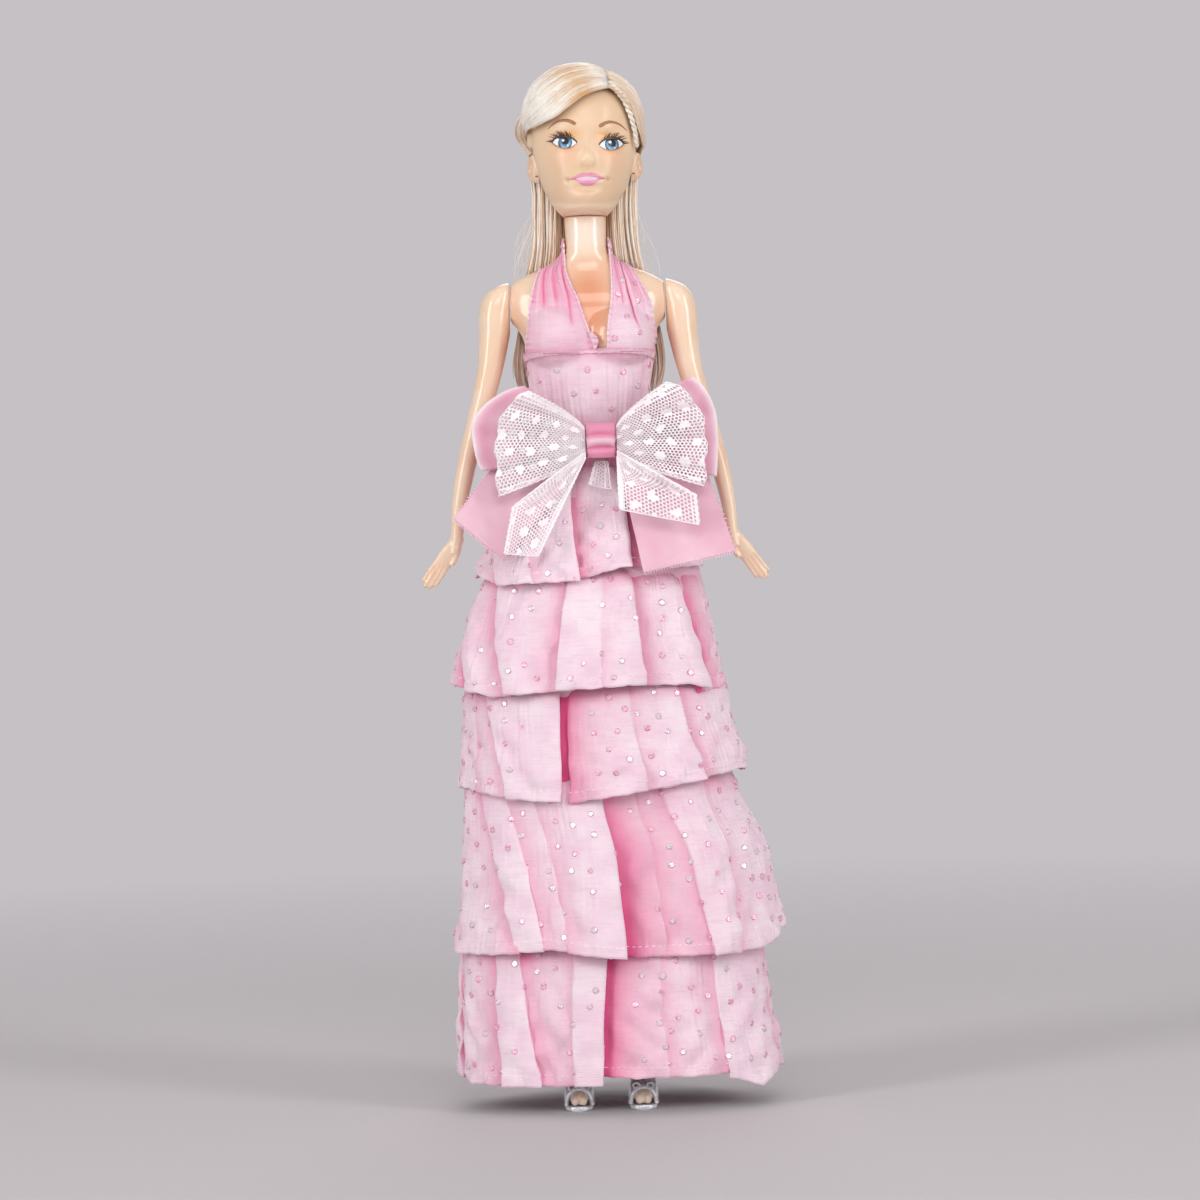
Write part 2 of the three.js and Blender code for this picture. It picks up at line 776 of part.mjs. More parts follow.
// The long hair behind the back. Each row: how far down, half width, where its middle
// stands behind the neck and how far it reaches back, all as shares.
const fallShares = [
  [0, 0.63, 0.3, 0.98],
  [0.1, 0.68, 0.36, 1],
  [0.22, 0.67, 0.44, 0.98],
  [0.36, 0.7, 0.5, 1],
  [0.52, 0.82, 0.56, 1.02],
  [0.7, 0.95, 0.6, 1.04],
  [0.86, 1, 0.62, 1.04],
  [0.96, 0.94, 0.64, 1],
  [1, 0.8, 0.68, 0.94],
];
function hairFall() {
  const top = headBottom + capBottomShare * head.height - gap;
  const rings = fallShares
    .map(([down, wide, middle, back]) =>
      levelRing(
        {
          y: hipY + middle * hair.fallDepth,
          z: top - down * hair.fallLength,
          rx: wide * hair.fallHalfWidth,
          front: middle * hair.fallDepth * 0.62,
          back: (back - middle) * hair.fallDepth,
        },
        16,
      ),
    )
    .reverse();
  const layers = gap + (cloth + gap) * 3;
  return skin(rings).subtract(headBody(gap)).subtract(torsoBody(layers));
}

// The arms. Each row: how far down the arm, how far out, how far forward, and the two radii.
const armShares = [
  [-0.09, -0.26, 0, 0.3, 0.36],
  [-0.074, -0.18, 0, 0.64, 0.72],
  [-0.035, -0.08, 0, 0.94, 1.02],
  [0.02, -0.01, 0, 1.04, 1.16],
  [0.12, 0.04, 0, 0.95, 1.06],
  [0.24, 0.13, 0.1, 0.82, 0.9],
  [0.38, 0.3, 0.2, 0.74, 0.8],
  [0.5, 0.48, 0.3, 0.68, 0.72],
  [0.6, 0.63, 0.4, 0.64, 0.7],
  [0.72, 0.78, 0.6, 0.58, 0.62],
  [0.86, 0.92, 0.85, 0.47, 0.5],
  [1, 1, 1, 0.38, 0.4],
];
const armLine = torso.halfWidth + arm.radius * 0.92;
const armSides = 8;
const handTilt = 0.6; // how far the hand turns out, in radians

function armAndHand(side) {
  const place = (down, out, forward) =>
    new THREE.Vector3(
      side * (armLine + out * arm.spread),
      hipY - forward * arm.bend,
      shoulderZ - down * arm.length,
    );
  const stations = armShares.map(([down, out, forward, wide, deep]) => ({
    at: place(down, out, forward),
    width: wide * arm.radius,
    depth: deep * arm.radius,
  }));
  const limb = tubeAlong(stations, armSides);
  const wrist = place(1, 1, 1);
  const onward = new THREE.Vector3(side * Math.sin(handTilt), -0.08, -Math.cos(handTilt)).normalize();
  const sideways = new THREE.Vector3(side * Math.cos(handTilt), 0, Math.sin(handTilt));
  const from = (along, across, forward = 0) =>
    wrist
      .clone()
      .addScaledVector(onward, along)
      .addScaledVector(sideways, across)
      .add(new THREE.Vector3(0, -forward, 0));
  const palm = tubeAlong(
    [
      [-0.14, 0.36, 0.64],
      [0.2, 0.42, 0.58],
      [0.62, 0.5, 0.52],
      [1, 0.47, 0.42],
      [1.08, 0.36, 0.26],
    ].map(([along, wide, deep]) => ({
      at: from(along * arm.palmLength, 0),
      width: wide * arm.palmWidth,
      depth: deep * arm.palmThickness,
    })),
    10,
  );
  let whole = limb.add(palm);
  const fingers = [
    [-0.37, -0.1, 0.84],
    [-0.125, -0.03, 0.97],
    [0.125, 0.04, 1],
    [0.37, 0.11, 0.9],
  ];
  for (const [across, fan, long] of fingers) {
    const length = long * arm.fingerLength;
    const stations = [-0.2, 0.35, 0.7, 1].map((t) => ({
      at: from(
        arm.palmLength * 0.92 + length * t,
        across * arm.palmWidth + fan * length * t,
        arm.fingerRadius * t * t,
      ),
      width: arm.fingerRadius * (1.08 - 0.4 * Math.max(0, t)),
      depth: arm.fingerRadius * (1.08 - 0.4 * Math.max(0, t)),
    }));
    whole = whole.add(tubeAlong(stations, 5));
  }
  const thumb = [0, 0.4, 0.75, 1].map((t) => ({
    at: from(
      arm.palmLength * 0.25 + arm.thumbLength * t * 0.86,
      -arm.palmWidth * 0.34 - arm.thumbLength * 0.3 * t,
      arm.palmThickness * 0.3 * t,
    ),
    width: arm.fingerRadius * (1.25 - 0.45 * t),
    depth: arm.fingerRadius * (1.25 - 0.45 * t),
  }));
  whole = whole.add(tubeAlong(thumb, 5));
  const innerFace = torso.halfWidth + gap;
  const reach = armLine + arm.spread + arm.length;
  whole = whole.subtract(
    side > 0
      ? box(-cutOverrun, innerFace, -reach, reach, 0, shoulderZ + arm.length)
      : box(-innerFace, cutOverrun, -reach, reach, 0, shoulderZ + arm.length),
  );
  const flangeOuter = torso.halfWidth - torso.wall - arm.flangeInset;
  const flangeInner = flangeOuter - arm.flangeThickness;
  const span = (a, b) => (side > 0 ? [a, b] : [-b, -a]);
  const stem = barX(arm.stemRadius, ...span(flangeInner, innerFace + arm.radius), hipY, shoulderZ, 14);
  const flange = barX(arm.flangeRadius, ...span(flangeInner, flangeOuter), hipY, shoulderZ, 14);
  return whole.add(stem).add(flange);
}

// The legs. Each row: height as a share of the hip's, half width and depth as shares of the
// thigh's, and how far the leg's line stands back.
const legShares = [
  [0.15, 0.36, 0.34, 0.12],
  [0.18, 0.335, 0.335, 0.12],
  [0.23, 0.36, 0.37, 0.12],
  [0.3, 0.46, 0.47, 0.14],
  [0.38, 0.6, 0.62, 0.17],
  [0.46, 0.69, 0.7, 0.16],
  [0.53, 0.68, 0.67, 0.08],
  [0.585, 0.7, 0.68, -0.02],
  [0.64, 0.74, 0.74, -0.02],
  [0.74, 0.86, 0.86, 0],
  [0.84, 0.96, 0.96, 0.02],
  [0.92, 1, 1, 0.04],
  [1, 0.98, 1, 0.05],
];
const legSides = 12;
const ankleHeight = legShares[0][0] * leg.hipHeight;

function legLine(side, share) {
  const t = Math.max(0, (share - legShares[0][0]) / (1 - legShares[0][0]));
  return (side * (leg.ankleSpacing + (leg.spacing - leg.ankleSpacing) * t)) / 2;
}

// The foot in its high-heeled pose, from the ankle to the toes. Each row: how far forward as
// a share of the toe's reach, how high as a share of the ankle, half width as a share of the
// shoe's width, and depth as a share of the half width.
const footShares = [
  [-0.11, 1.06, 0.39, 1.1],
  [-0.07, 0.92, 0.4, 1.24],
  [0.05, 0.74, 0.42, 1.3],
  [0.26, 0.52, 0.43, 1.06],
  [0.5, 0.33, 0.45, 0.82],
  [0.72, 0.22, 0.46, 0.56],
  [0.88, 0.175, 0.4, 0.42],
  [0.955, 0.16, 0.28, 0.34],
];
function foot(side, grow) {
  const x = legLine(side, 0);
  const stations = footShares.map(([forward, up, wide, deep]) => ({
    at: new THREE.Vector3(x, -forward * shoe.toeReach, up * ankleHeight),
    width: wide * shoe.width + grow,
    depth: wide * deep * shoe.width + grow,
  }));
  const heel = ellipsoid(
    x,
    shoe.heelTip * 1.5,
    shoe.heelHeight + footRise + shoe.waistWidth * 0.42,
    shoe.waistWidth * 0.5 + grow,
    shoe.waistWidth * 0.66 + grow,
    shoe.waistWidth * 0.74 + grow,
    8,
  );
  return tubeAlong(stations, 8, new THREE.Vector3(0, -0.5, 0.86)).add(heel);
}

// The top of the sole, from the heel seat down to the toe
const heelBack = shoe.length - shoe.toeReach;
function soleTop(rise) {
  return [
    [heelBack, shoe.heelHeight + shoe.soleThickness + rise],
    [heelBack * 0.25, shoe.heelHeight * 0.9 + shoe.soleThickness + rise],
    [-shoe.toeReach * 0.2, shoe.heelHeight * 0.42 + shoe.soleThickness + rise],
    [-shoe.toeReach * 0.46, shoe.heelHeight * 0.1 + shoe.soleThickness + rise],
    [-shoe.toeReach * 0.64, shoe.soleThickness + rise],
    [-shoe.toeReach, shoe.soleThickness + rise],
  ];
}

function shapeOf(points) {
  return new THREE.Shape(points.map(([y, z]) => new THREE.Vector2(y, z)));
}

// All that lies under the sole's top, for cutting the foot to rest on it
function underSole(x, rise) {
  const low = -cutOverrun;
  const far = heelBack * 2;
  const top = soleTop(rise);
  const points = [
    [far, low],
    [far, top[0][1]],
    ...top,
    [-shoe.toeReach * 2, top[5][1]],
    [-shoe.toeReach * 2, low],
  ];
  return prismX(shapeOf(points), x - shoe.width, x + shoe.width, 1);
}

function wholeLeg(side) {
  const rings = legShares.map(([up, wide, deep, behind]) =>
    levelRing(
      {
        x: legLine(side, up),
        y: hipY + behind * leg.thighDepth,
        z: up * leg.hipHeight,
        rx: wide * leg.thighRadius,
        front: deep * leg.thighDepth,
        back: deep * leg.thighDepth,
      },
      legSides,
    ),
  );
  const discInner = torso.crotchHalfWidth + gap;
  const rim = leg.hipDiscRadius * 0.28;
  const profile = [
    [0, discInner],
    [leg.hipDiscRadius, discInner],
    [leg.hipDiscRadius, leg.hipDiscOuter - rim],
    [leg.hipDiscRadius * 0.9, leg.hipDiscOuter - rim * 0.35],
    [leg.hipDiscRadius * 0.62, leg.hipDiscOuter],
    [0, leg.hipDiscOuter],
  ].map(([r, along]) => new THREE.Vector2(r, along));
  const discGeometry = new THREE.LatheGeometry(profile, 22);
  discGeometry.rotateZ(side > 0 ? -Math.PI / 2 : Math.PI / 2);
  discGeometry.translate(0, hipY, hipZ);
  const disc = solidOfGeometry(discGeometry);
  const span = (a, b) => (side > 0 ? [a, b] : [-b, -a]);
  const reach = leg.hipDiscRadius * 2;
  const inner = span(-cutOverrun, discInner);
  const crotchClear = barX(leg.hipDiscRadius, ...inner, hipY, hipZ, 28).add(
    box(...inner, -reach, reach, hipZ - leg.hipDiscRadius * 0.75, hipZ + reach),
  );
  const axleBore = barX(
    leg.axleRadius + gap,
    ...span(discInner - cutOverrun, leg.axleHalfLength + gap),
    hipY,
    hipZ,
    14,
  );
  return skin(rings)
    .intersect(box(-reach * 2, reach * 2, -reach, reach, 0, hipZ))
    .subtract(crotchClear)
    .add(disc)
    .subtract(axleBore)
    .add(foot(side, 0))
    .subtract(underSole(legLine(side, 0), gap));
}

// A high-heeled open sandal: sole and heel in one, a toe band, two thin straps up the
// instep, and an ankle strap
function sandal(side) {
  const x = legLine(side, 0);
  const sole = new THREE.Shape();
  const tip = shoe.heelTip;
  sole.moveTo(-shoe.toeReach, 0);
  sole.lineTo(-shoe.toeReach * 0.42, 0);
  sole.quadraticCurveTo(-shoe.toeReach * 0.1, shoe.heelHeight * 0.3, heelBack * 0.1, shoe.heelHeight * 0.78);
  sole.lineTo(heelBack - tip, 0);
  sole.lineTo(heelBack, 0);
  sole.lineTo(heelBack * 1.04, shoe.heelHeight);
  soleTop(0).forEach(([y, z]) => sole.lineTo(y, z));
  const side2 = shoe.width / 2;
  const body = prismX(sole, x - side2, x + side2, 4);
  const plan = [
    [-1.0, 0.3],
    [-0.97, 0.6],
    [-0.86, 0.92],
    [-0.68, 1],
    [-0.46, 0.94],
    [-0.1, 0.7],
    [0.14, 0.64],
    [0.34, 0.66],
    [0.46, 0.56],
    [0.52, 0.3],
  ];
  const rings = [0, shoe.heelHeight * 2].map((z) => {
    const right = plan.map(
      ([along, wide]) =>
        new THREE.Vector3(
          x + wide * side2,
          (along < 0 ? along * shoe.toeReach : (along / 0.52) * heelBack * 1.06),
          z - cutOverrun,
        ),
    );
    const left = plan
      .slice()
      .reverse()
      .map(([along, wide]) =>
        new THREE.Vector3(
          x - wide * side2,
          (along < 0 ? along * shoe.toeReach : (along / 0.52) * heelBack * 1.06),
          z - cutOverrun,
        ),
      );
    return [...right, ...left];
  });
  const heelTaper = skin(
    [
      [0, tip / 2],
      [shoe.heelHeight * 0.55, tip * 0.7],
      [shoe.heelHeight * 0.8, side2],
      [shoe.heelHeight * 2, side2],
    ].map(([z, wide]) => levelRing({ x, y: heelBack, z: z, rx: wide, front: heelBack, back: heelBack }, 12)),
  );
  const front = box(
    x - shoe.width,
    x + shoe.width,
    -shoe.toeReach * 2,
    heelBack * 0.2,
    -cutOverrun,
    shoe.heelHeight * 2,
  );
  const plate = body.intersect(skin(rings)).intersect(front.add(heelTaper));
  const layer = foot(side, gap + shoe.strapThickness).subtract(foot(side, gap));
  const high = ankleHeight * 2;
  const band = layer.intersect(
    box(x - shoe.width, x + shoe.width, -shoe.toeReach * 0.84, -shoe.toeReach * 0.84 + shoe.vampWidth, 0, high),
  );
  const instep = [-1, 1]
    .map((at) =>
      layer.intersect(
        box(
          x + at * shoe.strapWidth - shoe.strapWidth * 0.4,
          x + at * shoe.strapWidth + shoe.strapWidth * 0.4,
          -shoe.toeReach * 0.62,
          0,
          shoe.soleThickness + gap,
          ankleHeight * 0.9,
        ),
      ),
    )
    .reduce((a, b) => a.add(b));
  const ankle = layer.intersect(
    box(
      x - shoe.width,
      x + shoe.width,
      -shoe.toeReach,
      shoe.toeReach,
      ankleHeight * 0.84,
      ankleHeight * 0.84 + shoe.strapWidth,
    ),
  );
  const heelCup = layer.intersect(
    box(x - shoe.width, x + shoe.width, heelBack * 0.3, heelBack * 2, shoe.heelHeight * 0.8, ankleHeight * 0.88),
  );
  const rings2 = [-1, 1]
    .map((at) =>
      ellipsoid(
        x + at * shoe.strapWidth * 1.5,
        -shoe.toeReach * 0.7 - shoe.strapThickness * 0.2,
        shoe.soleThickness + shoe.width * 0.5,
        shoe.strapWidth,
        shoe.strapWidth * 0.7,
        shoe.strapWidth,
        6,
      ),
    )
    .reduce((a, b) => a.add(b));
  return plate
    .add(band.subtract(underSole(x, -shoe.soleThickness * 0.5)))
    .add(instep)
    .add(ankle)
    .add(heelCup)
    .add(rings2.subtract(foot(side, gap)));
}

// The bodice: a waist panel, a band under the bust, two halter cups and a neck strap
const layerInside = gap;
const layerOutside = gap + cloth;
const reachOut = torso.halfWidth * 2;

function waistPanel() {
  return torsoLayer(layerInside, layerOutside)
    .intersect(box(-reachOut, reachOut, -reachOut, reachOut, waistZ + gap, underbustZ))
    .subtract(box(-gap, gap, 0, reachOut, waistZ - cutOverrun, underbustZ + cutOverrun));
}

// The band stays inside the arms, which start just outside the torso's half width
function underbustBand() {
  const inside = layerOutside + gap;
  return torsoLayer(inside, inside + cloth).intersect(
    box(
      -torso.halfWidth,
      torso.halfWidth,
      -reachOut,
      torso.backDepth * 0.3,
      underbustZ - gown.bandHeight * 0.6,
      underbustZ + gown.bandHeight * 0.4,
    ),
  );
}

// The doll's left cup, as shares: across of the torso's half width, up from the underbust
// seam to the neck strap. The right one leaves the neck a little wider.
const strapZ = torsoTop - 0.115 * torso.height;
const cupShares = {
  left: [
    [0.24, 0],
    [0.86, 0],
    [0.875, 0.19],
    [0.82, 0.466],
    [0.68, 0.66],
    [0.53, 0.92],
    [0.44, 1.06],
    [0.28, 1.06],
    [0.29, 0.87],
    [0.315, 0.565],
    [0.265, 0.33],
  ],
  right: [
    [-0.84, 0],
    [0.075, 0],
    [-0.014, 0.255],
    [-0.123, 0.545],
    [-0.28, 0.82],
    [-0.27, 1.06],
    [-0.38, 1.06],
    [-0.57, 0.86],
    [-0.68, 0.71],
    [-0.77, 0.35],
    [-0.82, 0.12],
  ],
};
function cup(name) {
  const bottom = underbustZ + gap;
  const outline = cupShares[name].map(([across, up]) => [
    across * torso.halfWidth,
    bottom + up * (strapZ - bottom),
  ]);
  return torsoLayer(layerInside, layerOutside)
    .intersect(prismY(outline, -reachOut, hipY - gap))
    .intersect(box(-reachOut, reachOut, -reachOut, reachOut, bottom, strapZ - gap));
}

function neckStrap() {
  return torsoLayer(layerInside, layerOutside).intersect(
    box(-reachOut, reachOut, hipY - torso.frontDepth * 0.12, reachOut, strapZ, strapZ + gown.strapHeight),
  );
}

// Hook and loop strips that close the back of the bodice
function closureStrip(side) {
  const inside = layerOutside + gap;
  const edges = side > 0 ? [gap, gown.closureWidth / 2] : [-gown.closureWidth / 2, -gap];
  return torsoLayer(inside, inside + cloth).intersect(
    box(...edges, 0, reachOut, waistZ + gap * 2, underbustZ - gap),
  );
}

// The skirt. Half width of the underskirt by height, as shares of the hem's half width and
// of the waist's height above the hem.
const underskirtShares = [
  [0, 0.98],
  [0.26, 0.94],
  [0.505, 0.87],
  [0.675, 0.8],
  [0.855, 0.66],
  [0.936, 0.53],
  [1, 0.385],
];
const skirtTop = waistZ - gap;

function underskirtHalfWidth(z) {
  const up = (z - gown.hemHeight) / (skirtTop - gown.hemHeight);
  const k = Math.max(
    0,
    Math.min(
      underskirtShares.length - 2,
      underskirtShares.findIndex(([share]) => share > up) - 1,
    ),
  );
  const at = up >= 1 ? underskirtShares.length - 2 : k;
  const [u0, w0] = underskirtShares[at];
  const [u1, w1] = underskirtShares[at + 1];
  const t = Math.min(1, Math.max(0, (up - u0) / (u1 - u0)));
  return gown.hemHalfWidth * (w0 + (w1 - w0) * t);
}

// A point of the skirt at a turn from 0 to 1, half width and height. Turn 0 is at the back.
function skirtPoint(turn, halfWidth, z, outward = 0, shift = 0) {
  const a = 2 * Math.PI * turn + Math.PI / 2;
  const side = Math.sin(a);
  const waistDepth = torso.backDepth * 0.15 * Math.max(0, 1 - halfWidth / gown.hemHalfWidth);
  const share = side < 0 ? gown.depthShare : gown.backDepthShare;
  return new THREE.Vector3(
    shift + (halfWidth + outward) * Math.cos(a),
    hipY + side * (halfWidth * share + waistDepth + outward),
    z,
  );
}

const underskirtColumns = 24;
const underskirtRows = 6;
function underskirt() {
  return clothSheet(
    (u, v) => {
      const z = skirtTop - v * (skirtTop - gown.hemHeight);
      return skirtPoint(u, underskirtHalfWidth(z), z);
    },
    evenly(underskirtColumns, true),
    underskirtRows,
    cloth,
    true,
  );
}

// The folds of each flounce, as turns round the skirt. The cloth steps out at each one and
// lies back towards the next.
const foldTurnShares = [
  [0.06, 0.17, 0.3, 0.415, 0.53, 0.655, 0.79, 0.92],
  [0.05, 0.19, 0.315, 0.385, 0.505, 0.61, 0.7, 0.83, 0.94],
  [0.08, 0.21, 0.33, 0.455, 0.56, 0.68, 0.8, 0.91],
  [0.04, 0.16, 0.29, 0.37, 0.49, 0.6, 0.72, 0.84, 0.95],
  [0.07, 0.18, 0.3, 0.385, 0.485, 0.625, 0.76, 0.88],
];
const foldEdge = 0.004; // half the turn over which a fold steps out

function foldHeight(turns, u) {
  const at = ((u % 1) + 1) % 1;
  let before = turns[turns.length - 1] - 1;
  let after = turns[0];
  for (const turn of turns) {
    if (turn <= at) before = turn;
  }
  after = turns.find((turn) => turn > at) ?? turns[0] + 1;
  const rising = Math.min(1, (at - before) / foldEdge);
  const falling = 1 - (at - before) / (after - before);
  return Math.min(rising, 1) * falling;
}

const flounceRows = 3;
const flounceColumns = 20;
function flounceColumnsOf(turns) {
  const marks = turns.flatMap((turn) => [turn - foldEdge * 0.5, turn + foldEdge * 1.5]);
  const clear = foldEdge * 2.5;
  const even = evenly(flounceColumns, true).filter((u) =>
    marks.every((mark) => Math.abs(u - mark) > clear && Math.abs(u - 1 - mark) > clear),
  );
  return [...even, ...marks].sort((a, b) => a - b);
}

function flounce(k) {
  const share = flounceShares[k];
  const [top, hem] = [share.top, share.hem].map((up) => up * skirtTop);
  const [halfWidth, shift, rise, fold] = [share.halfWidth, share.shift, share.rise, share.fold].map(
    (part) => part * gown.hemHalfWidth,
  );
  const turns = foldTurnShares[k];
  const standOff = cloth + gap * 2;
  const topHalfWidth = underskirtHalfWidth(top);
  const hemHalfWidth = halfWidth - standOff;
  return clothSheet(
    (u, v) => {
      const side = Math.sin(2 * Math.PI * u);
      const wave = Math.sin(2 * Math.PI * (u * 5 + k * 0.37));
      const bottom = hem - side * rise + wave * fold * 0.5;
      const wide = topHalfWidth + (hemHalfWidth - topHalfWidth) * eased(v, 0.85);
      const outward = standOff + fold * foldHeight(turns, u) * v;
      return skirtPoint(u, wide, top - v * (top - bottom), outward, shift * v);
    },
    flounceColumnsOf(turns),
    flounceRows,
    cloth,
    true,
  );
}

// The bow, on the front of the waist
const bowX = bow.offset;
const bowZ = waistZ + bow.aboveWaist;
const bowFrontShare = 0.855; // of the torso's front depth, where the bow lies on it
const bowBack = hipY - bowFrontShare * torso.frontDepth - layerOutside - gap;
const knotFront = bowBack - bow.knotDepth;
const knotSides = 14;
const knotSquareness = 0.55; // 1 would make the knot's section an ellipse

function squared(share) {
  return Math.sign(share) * Math.abs(share) ** knotSquareness;
}

function bowKnot() {
  const rings = [-1, -0.8, -0.35, 0.35, 0.8, 1].map((t) => {
    const full = Math.sqrt(1 - t * t * 0.4);
    const ring = [];
    for (let i = 0; i < knotSides; i++) {
      const a = (2 * Math.PI * i) / knotSides;
      ring.push(
        new THREE.Vector3(
          bowX + (bow.knotWidth / 2) * (0.9 + 0.1 * full) * squared(Math.cos(a)),
          (bowBack + knotFront) / 2 + (bow.knotDepth / 2) * full * squared(Math.sin(a)),
          bowZ + (t * bow.knotHeight) / 2,
        ),
      );
    }
    return ring;
  });
  return skin(rings);
}

// A ribbon loop: out from the knot in front, round, and back behind. Its upper corner, its
// edge and its lower corner are millimetres from the knot's middle, out to its side and up.
// Near and far are how far it stands in front of the bodice at the knot and at its edge.
const loops = {
  satin_loop_left: { side: 1, upper: [25.6, 17.4], edge: 32.8, lower: [32, -10.7], near: 3.4, far: 6.4, swell: 2.2 },
  satin_loop_right: { side: -1, upper: [21.1, 16.2], edge: 36.1, lower: [33.4, -7.2], near: 3.4, far: 6.2, swell: 2.1 },
  lace_loop_left: { side: 1, upper: [19.6, 15.6], edge: 29.5, lower: [28.5, -13.2], near: 6.2, far: 11.4, swell: 1.9 },
  lace_loop_right: { side: -1, upper: [20.5, 14.2], edge: 29.5, lower: [29.4, -14.4], near: 6.2, far: 11.2, swell: 1.9 },
};
const satinCrease = 0.25;
const laceCrease = 0.45;
const loopGather = 0.26; // how tall the ribbon is at the knot, as a share of its full height
const rootFlare = 0.12; // how far apart its two layers are there, as a share of the swell
const loopColumns = 12;
const loopRows = 5;
function ribbonLoop({ side, upper, edge, lower, near, far, swell }, crease) {
  const start = bow.knotWidth / 2 + gap + ribbon / 2;
  return clothSheet(
    (u, v) => {
      const turn = Math.PI * u;
      const out = eased(Math.sin(turn), 0.8);
      const tall = loopGather + (1 - loopGather) * eased(out, 0.7);
      const up = (upper[1] + (lower[1] - upper[1]) * v) * tall;
      const corner = v < 0.5 ? upper[0] : lower[0];
      const bulge = eased(Math.sin(Math.PI * v), 0.6);
      const reach = corner + (edge - corner) * bulge;
      const apart = Math.cos(turn) * swell * (rootFlare + (1 - rootFlare) * out);
      const ripple = crease * Math.sin(3 * Math.PI * v + side) * Math.sin(turn);
      return new THREE.Vector3(
        bowX + side * (start + (reach - start) * out),
        bowBack - (near + (far - near) * out) - apart - ripple,
        bowZ + up,
      );
    },
    evenly(loopColumns),
    loopRows,
    ribbon,
  );
}

// A ribbon tail, from the knot down and out to its cut end. Corners are in millimetres
// from the knot's middle, out to its side and up. It stands near, at the knot, and far, at
// the given distance away from it, in front of the bodice. Back is how much of that its
// upper edge lacks, so that it passes behind the loop, and curve is the power by which it
// comes forward.
const tails = {
  satin_tail_left: {
    side: 1,
    outer: [30, -10.3],
    corner: [36.9, -32.1],
    inner: [10.8, -37.3],
    near: 1.4,
    far: 11.2,
    away: 34,
    back: 0.95,
    curve: 1,
  },
  satin_tail_right: {
    side: -1,
    outer: [31.7, -7.1],
    corner: [41.9, -20.6],
    inner: [28.1, -32.8],
    near: 1.4,
    far: 9,
    away: 34,
    back: 0.95,
    curve: 1,
  },
  lace_tail_left: {
    side: 1,
    outer: [25.9, -16],
    corner: [26.6, -24.3],
    inner: [4.8, -19.4],
    near: 7.3,
    far: 13.8,
    away: 14,
    back: 0,
    curve: 0.6,
  },
  lace_tail_right: {
    side: -1,
    outer: [25, -17.8],
    corner: [27.8, -30.8],
    inner: [18.5, -31.8],
    near: 7.3,
    far: 13.8,
    away: 14,
    back: 0,
    curve: 0.6,
  },
};
const tailRootShare = 0.3; // how far under its middle the tail leaves the knot
const tailSpreadShare = 0.16; // how far apart the tail's edges leave the knot
const tailRipple = 0.4;
const tailColumns = 6;
const tailRows = 5;

// A place on the way from a to b and on to c
function onTheWay(a, b, c, share) {
  return share < 0.5 ? a + (b - a) * share * 2 : b + (c - b) * (share * 2 - 1);
}

function ribbonTail({ side, outer, corner, inner, near, far, away, back, curve }) {
  const rootX = bow.knotWidth / 2 + gap + ribbon / 2;
  const rootZ = -bow.knotHeight * tailRootShare;
  const lowRootZ = rootZ - bow.knotHeight * tailSpreadShare;
  return clothSheet(
    (u, v) => {
      const lowX = rootX + (inner[0] - rootX) * v;
      const lowZ = lowRootZ + (inner[1] - lowRootZ) * v;
      const x = lowX + (onTheWay(rootX, outer[0], corner[0], v) - lowX) * u;
      const z = lowZ + (onTheWay(rootZ, outer[1], corner[1], v) - lowZ) * u;
      const reach = Math.min(1, Math.hypot(x - rootX, z - rootZ) / away);
      const fold = tailRipple * Math.sin(2.6 * Math.PI * u) * Math.min(1, v * 2);
      return new THREE.Vector3(
        bowX + side * x,
        bowBack - (near + (far - near) * reach ** curve * (1 - back * u * (1 - v * v))) - fold,
        bowZ + z,
      );
    },
    evenly(tailColumns),
    tailRows,
    ribbon,
  );
}

// The short lace end that hangs under the knot. Its corners are in millimetres from the
// knot's middle, to the doll's left and up.
const laceEnd = {
  rootHalfWidth: 1.6,
  left: [2.2, -13.4],
  right: [-3.6, -12],
  near: 3,
  far: 6.4,
};
function shortLaceEnd() {
  const rootZ = -bow.knotHeight / 2 - gap * 2;
  return clothSheet(
    (u, v) => {
      const topX = laceEnd.rootHalfWidth * (1 - 2 * u);
      const lowX = laceEnd.left[0] + (laceEnd.right[0] - laceEnd.left[0]) * u;
      const lowZ = laceEnd.left[1] + (laceEnd.right[1] - laceEnd.left[1]) * u;
      return new THREE.Vector3(
        bowX + topX + (lowX - topX) * v,
        bowBack - laceEnd.near - (laceEnd.far - laceEnd.near) * v - tailRipple * Math.sin(2 * Math.PI * u),
        bowZ + rootZ + (lowZ - rootZ) * v,
      );
    },
    evenly(4),
    3,
    ribbon,
  );
}

// The whole doll
const doll = new THREE.Group();
const put = (name, solid, material) => doll.add(meshOf(name, solid, material));

const halves = torsoHalves();
put("torso_front", halves.front, materials.skin);
put("torso_back", halves.back, materials.skin);
put("neck_knob", neckKnob(), materials.inner);
put(
  "hip_axle",
  barX(leg.axleRadius, -leg.axleHalfLength, leg.axleHalfLength, hipY, hipZ, 14),
  materials.inner,
);
put("head_shell", headShell(), materials.skin);
put("hair_cap", hairCap(), materials.hair);
put("hair_fringe", fringe(), materials.hair);
put("hair_side_roll", sideRoll(), materials.hair);
put("hair_twist", hairTwist(), materials.hair);
put("hair_fall", hairFall(), materials.hair);
for (const [name, side] of [["left", 1], ["right", -1]]) {
  put("arm_" + name, armAndHand(side), materials.skin);
  put("leg_" + name, wholeLeg(side), materials.skin);
  put("shoe_" + name, sandal(side), materials.silver);
  put("bodice_cup_" + name, cup(name), materials.gown);
  put("closure_strip_" + name, closureStrip(side), materials.tape);
}
put("bodice_waist_panel", waistPanel(), materials.gown);
put("underbust_band", underbustBand(), materials.gown);
put("neck_strap", neckStrap(), materials.gown);
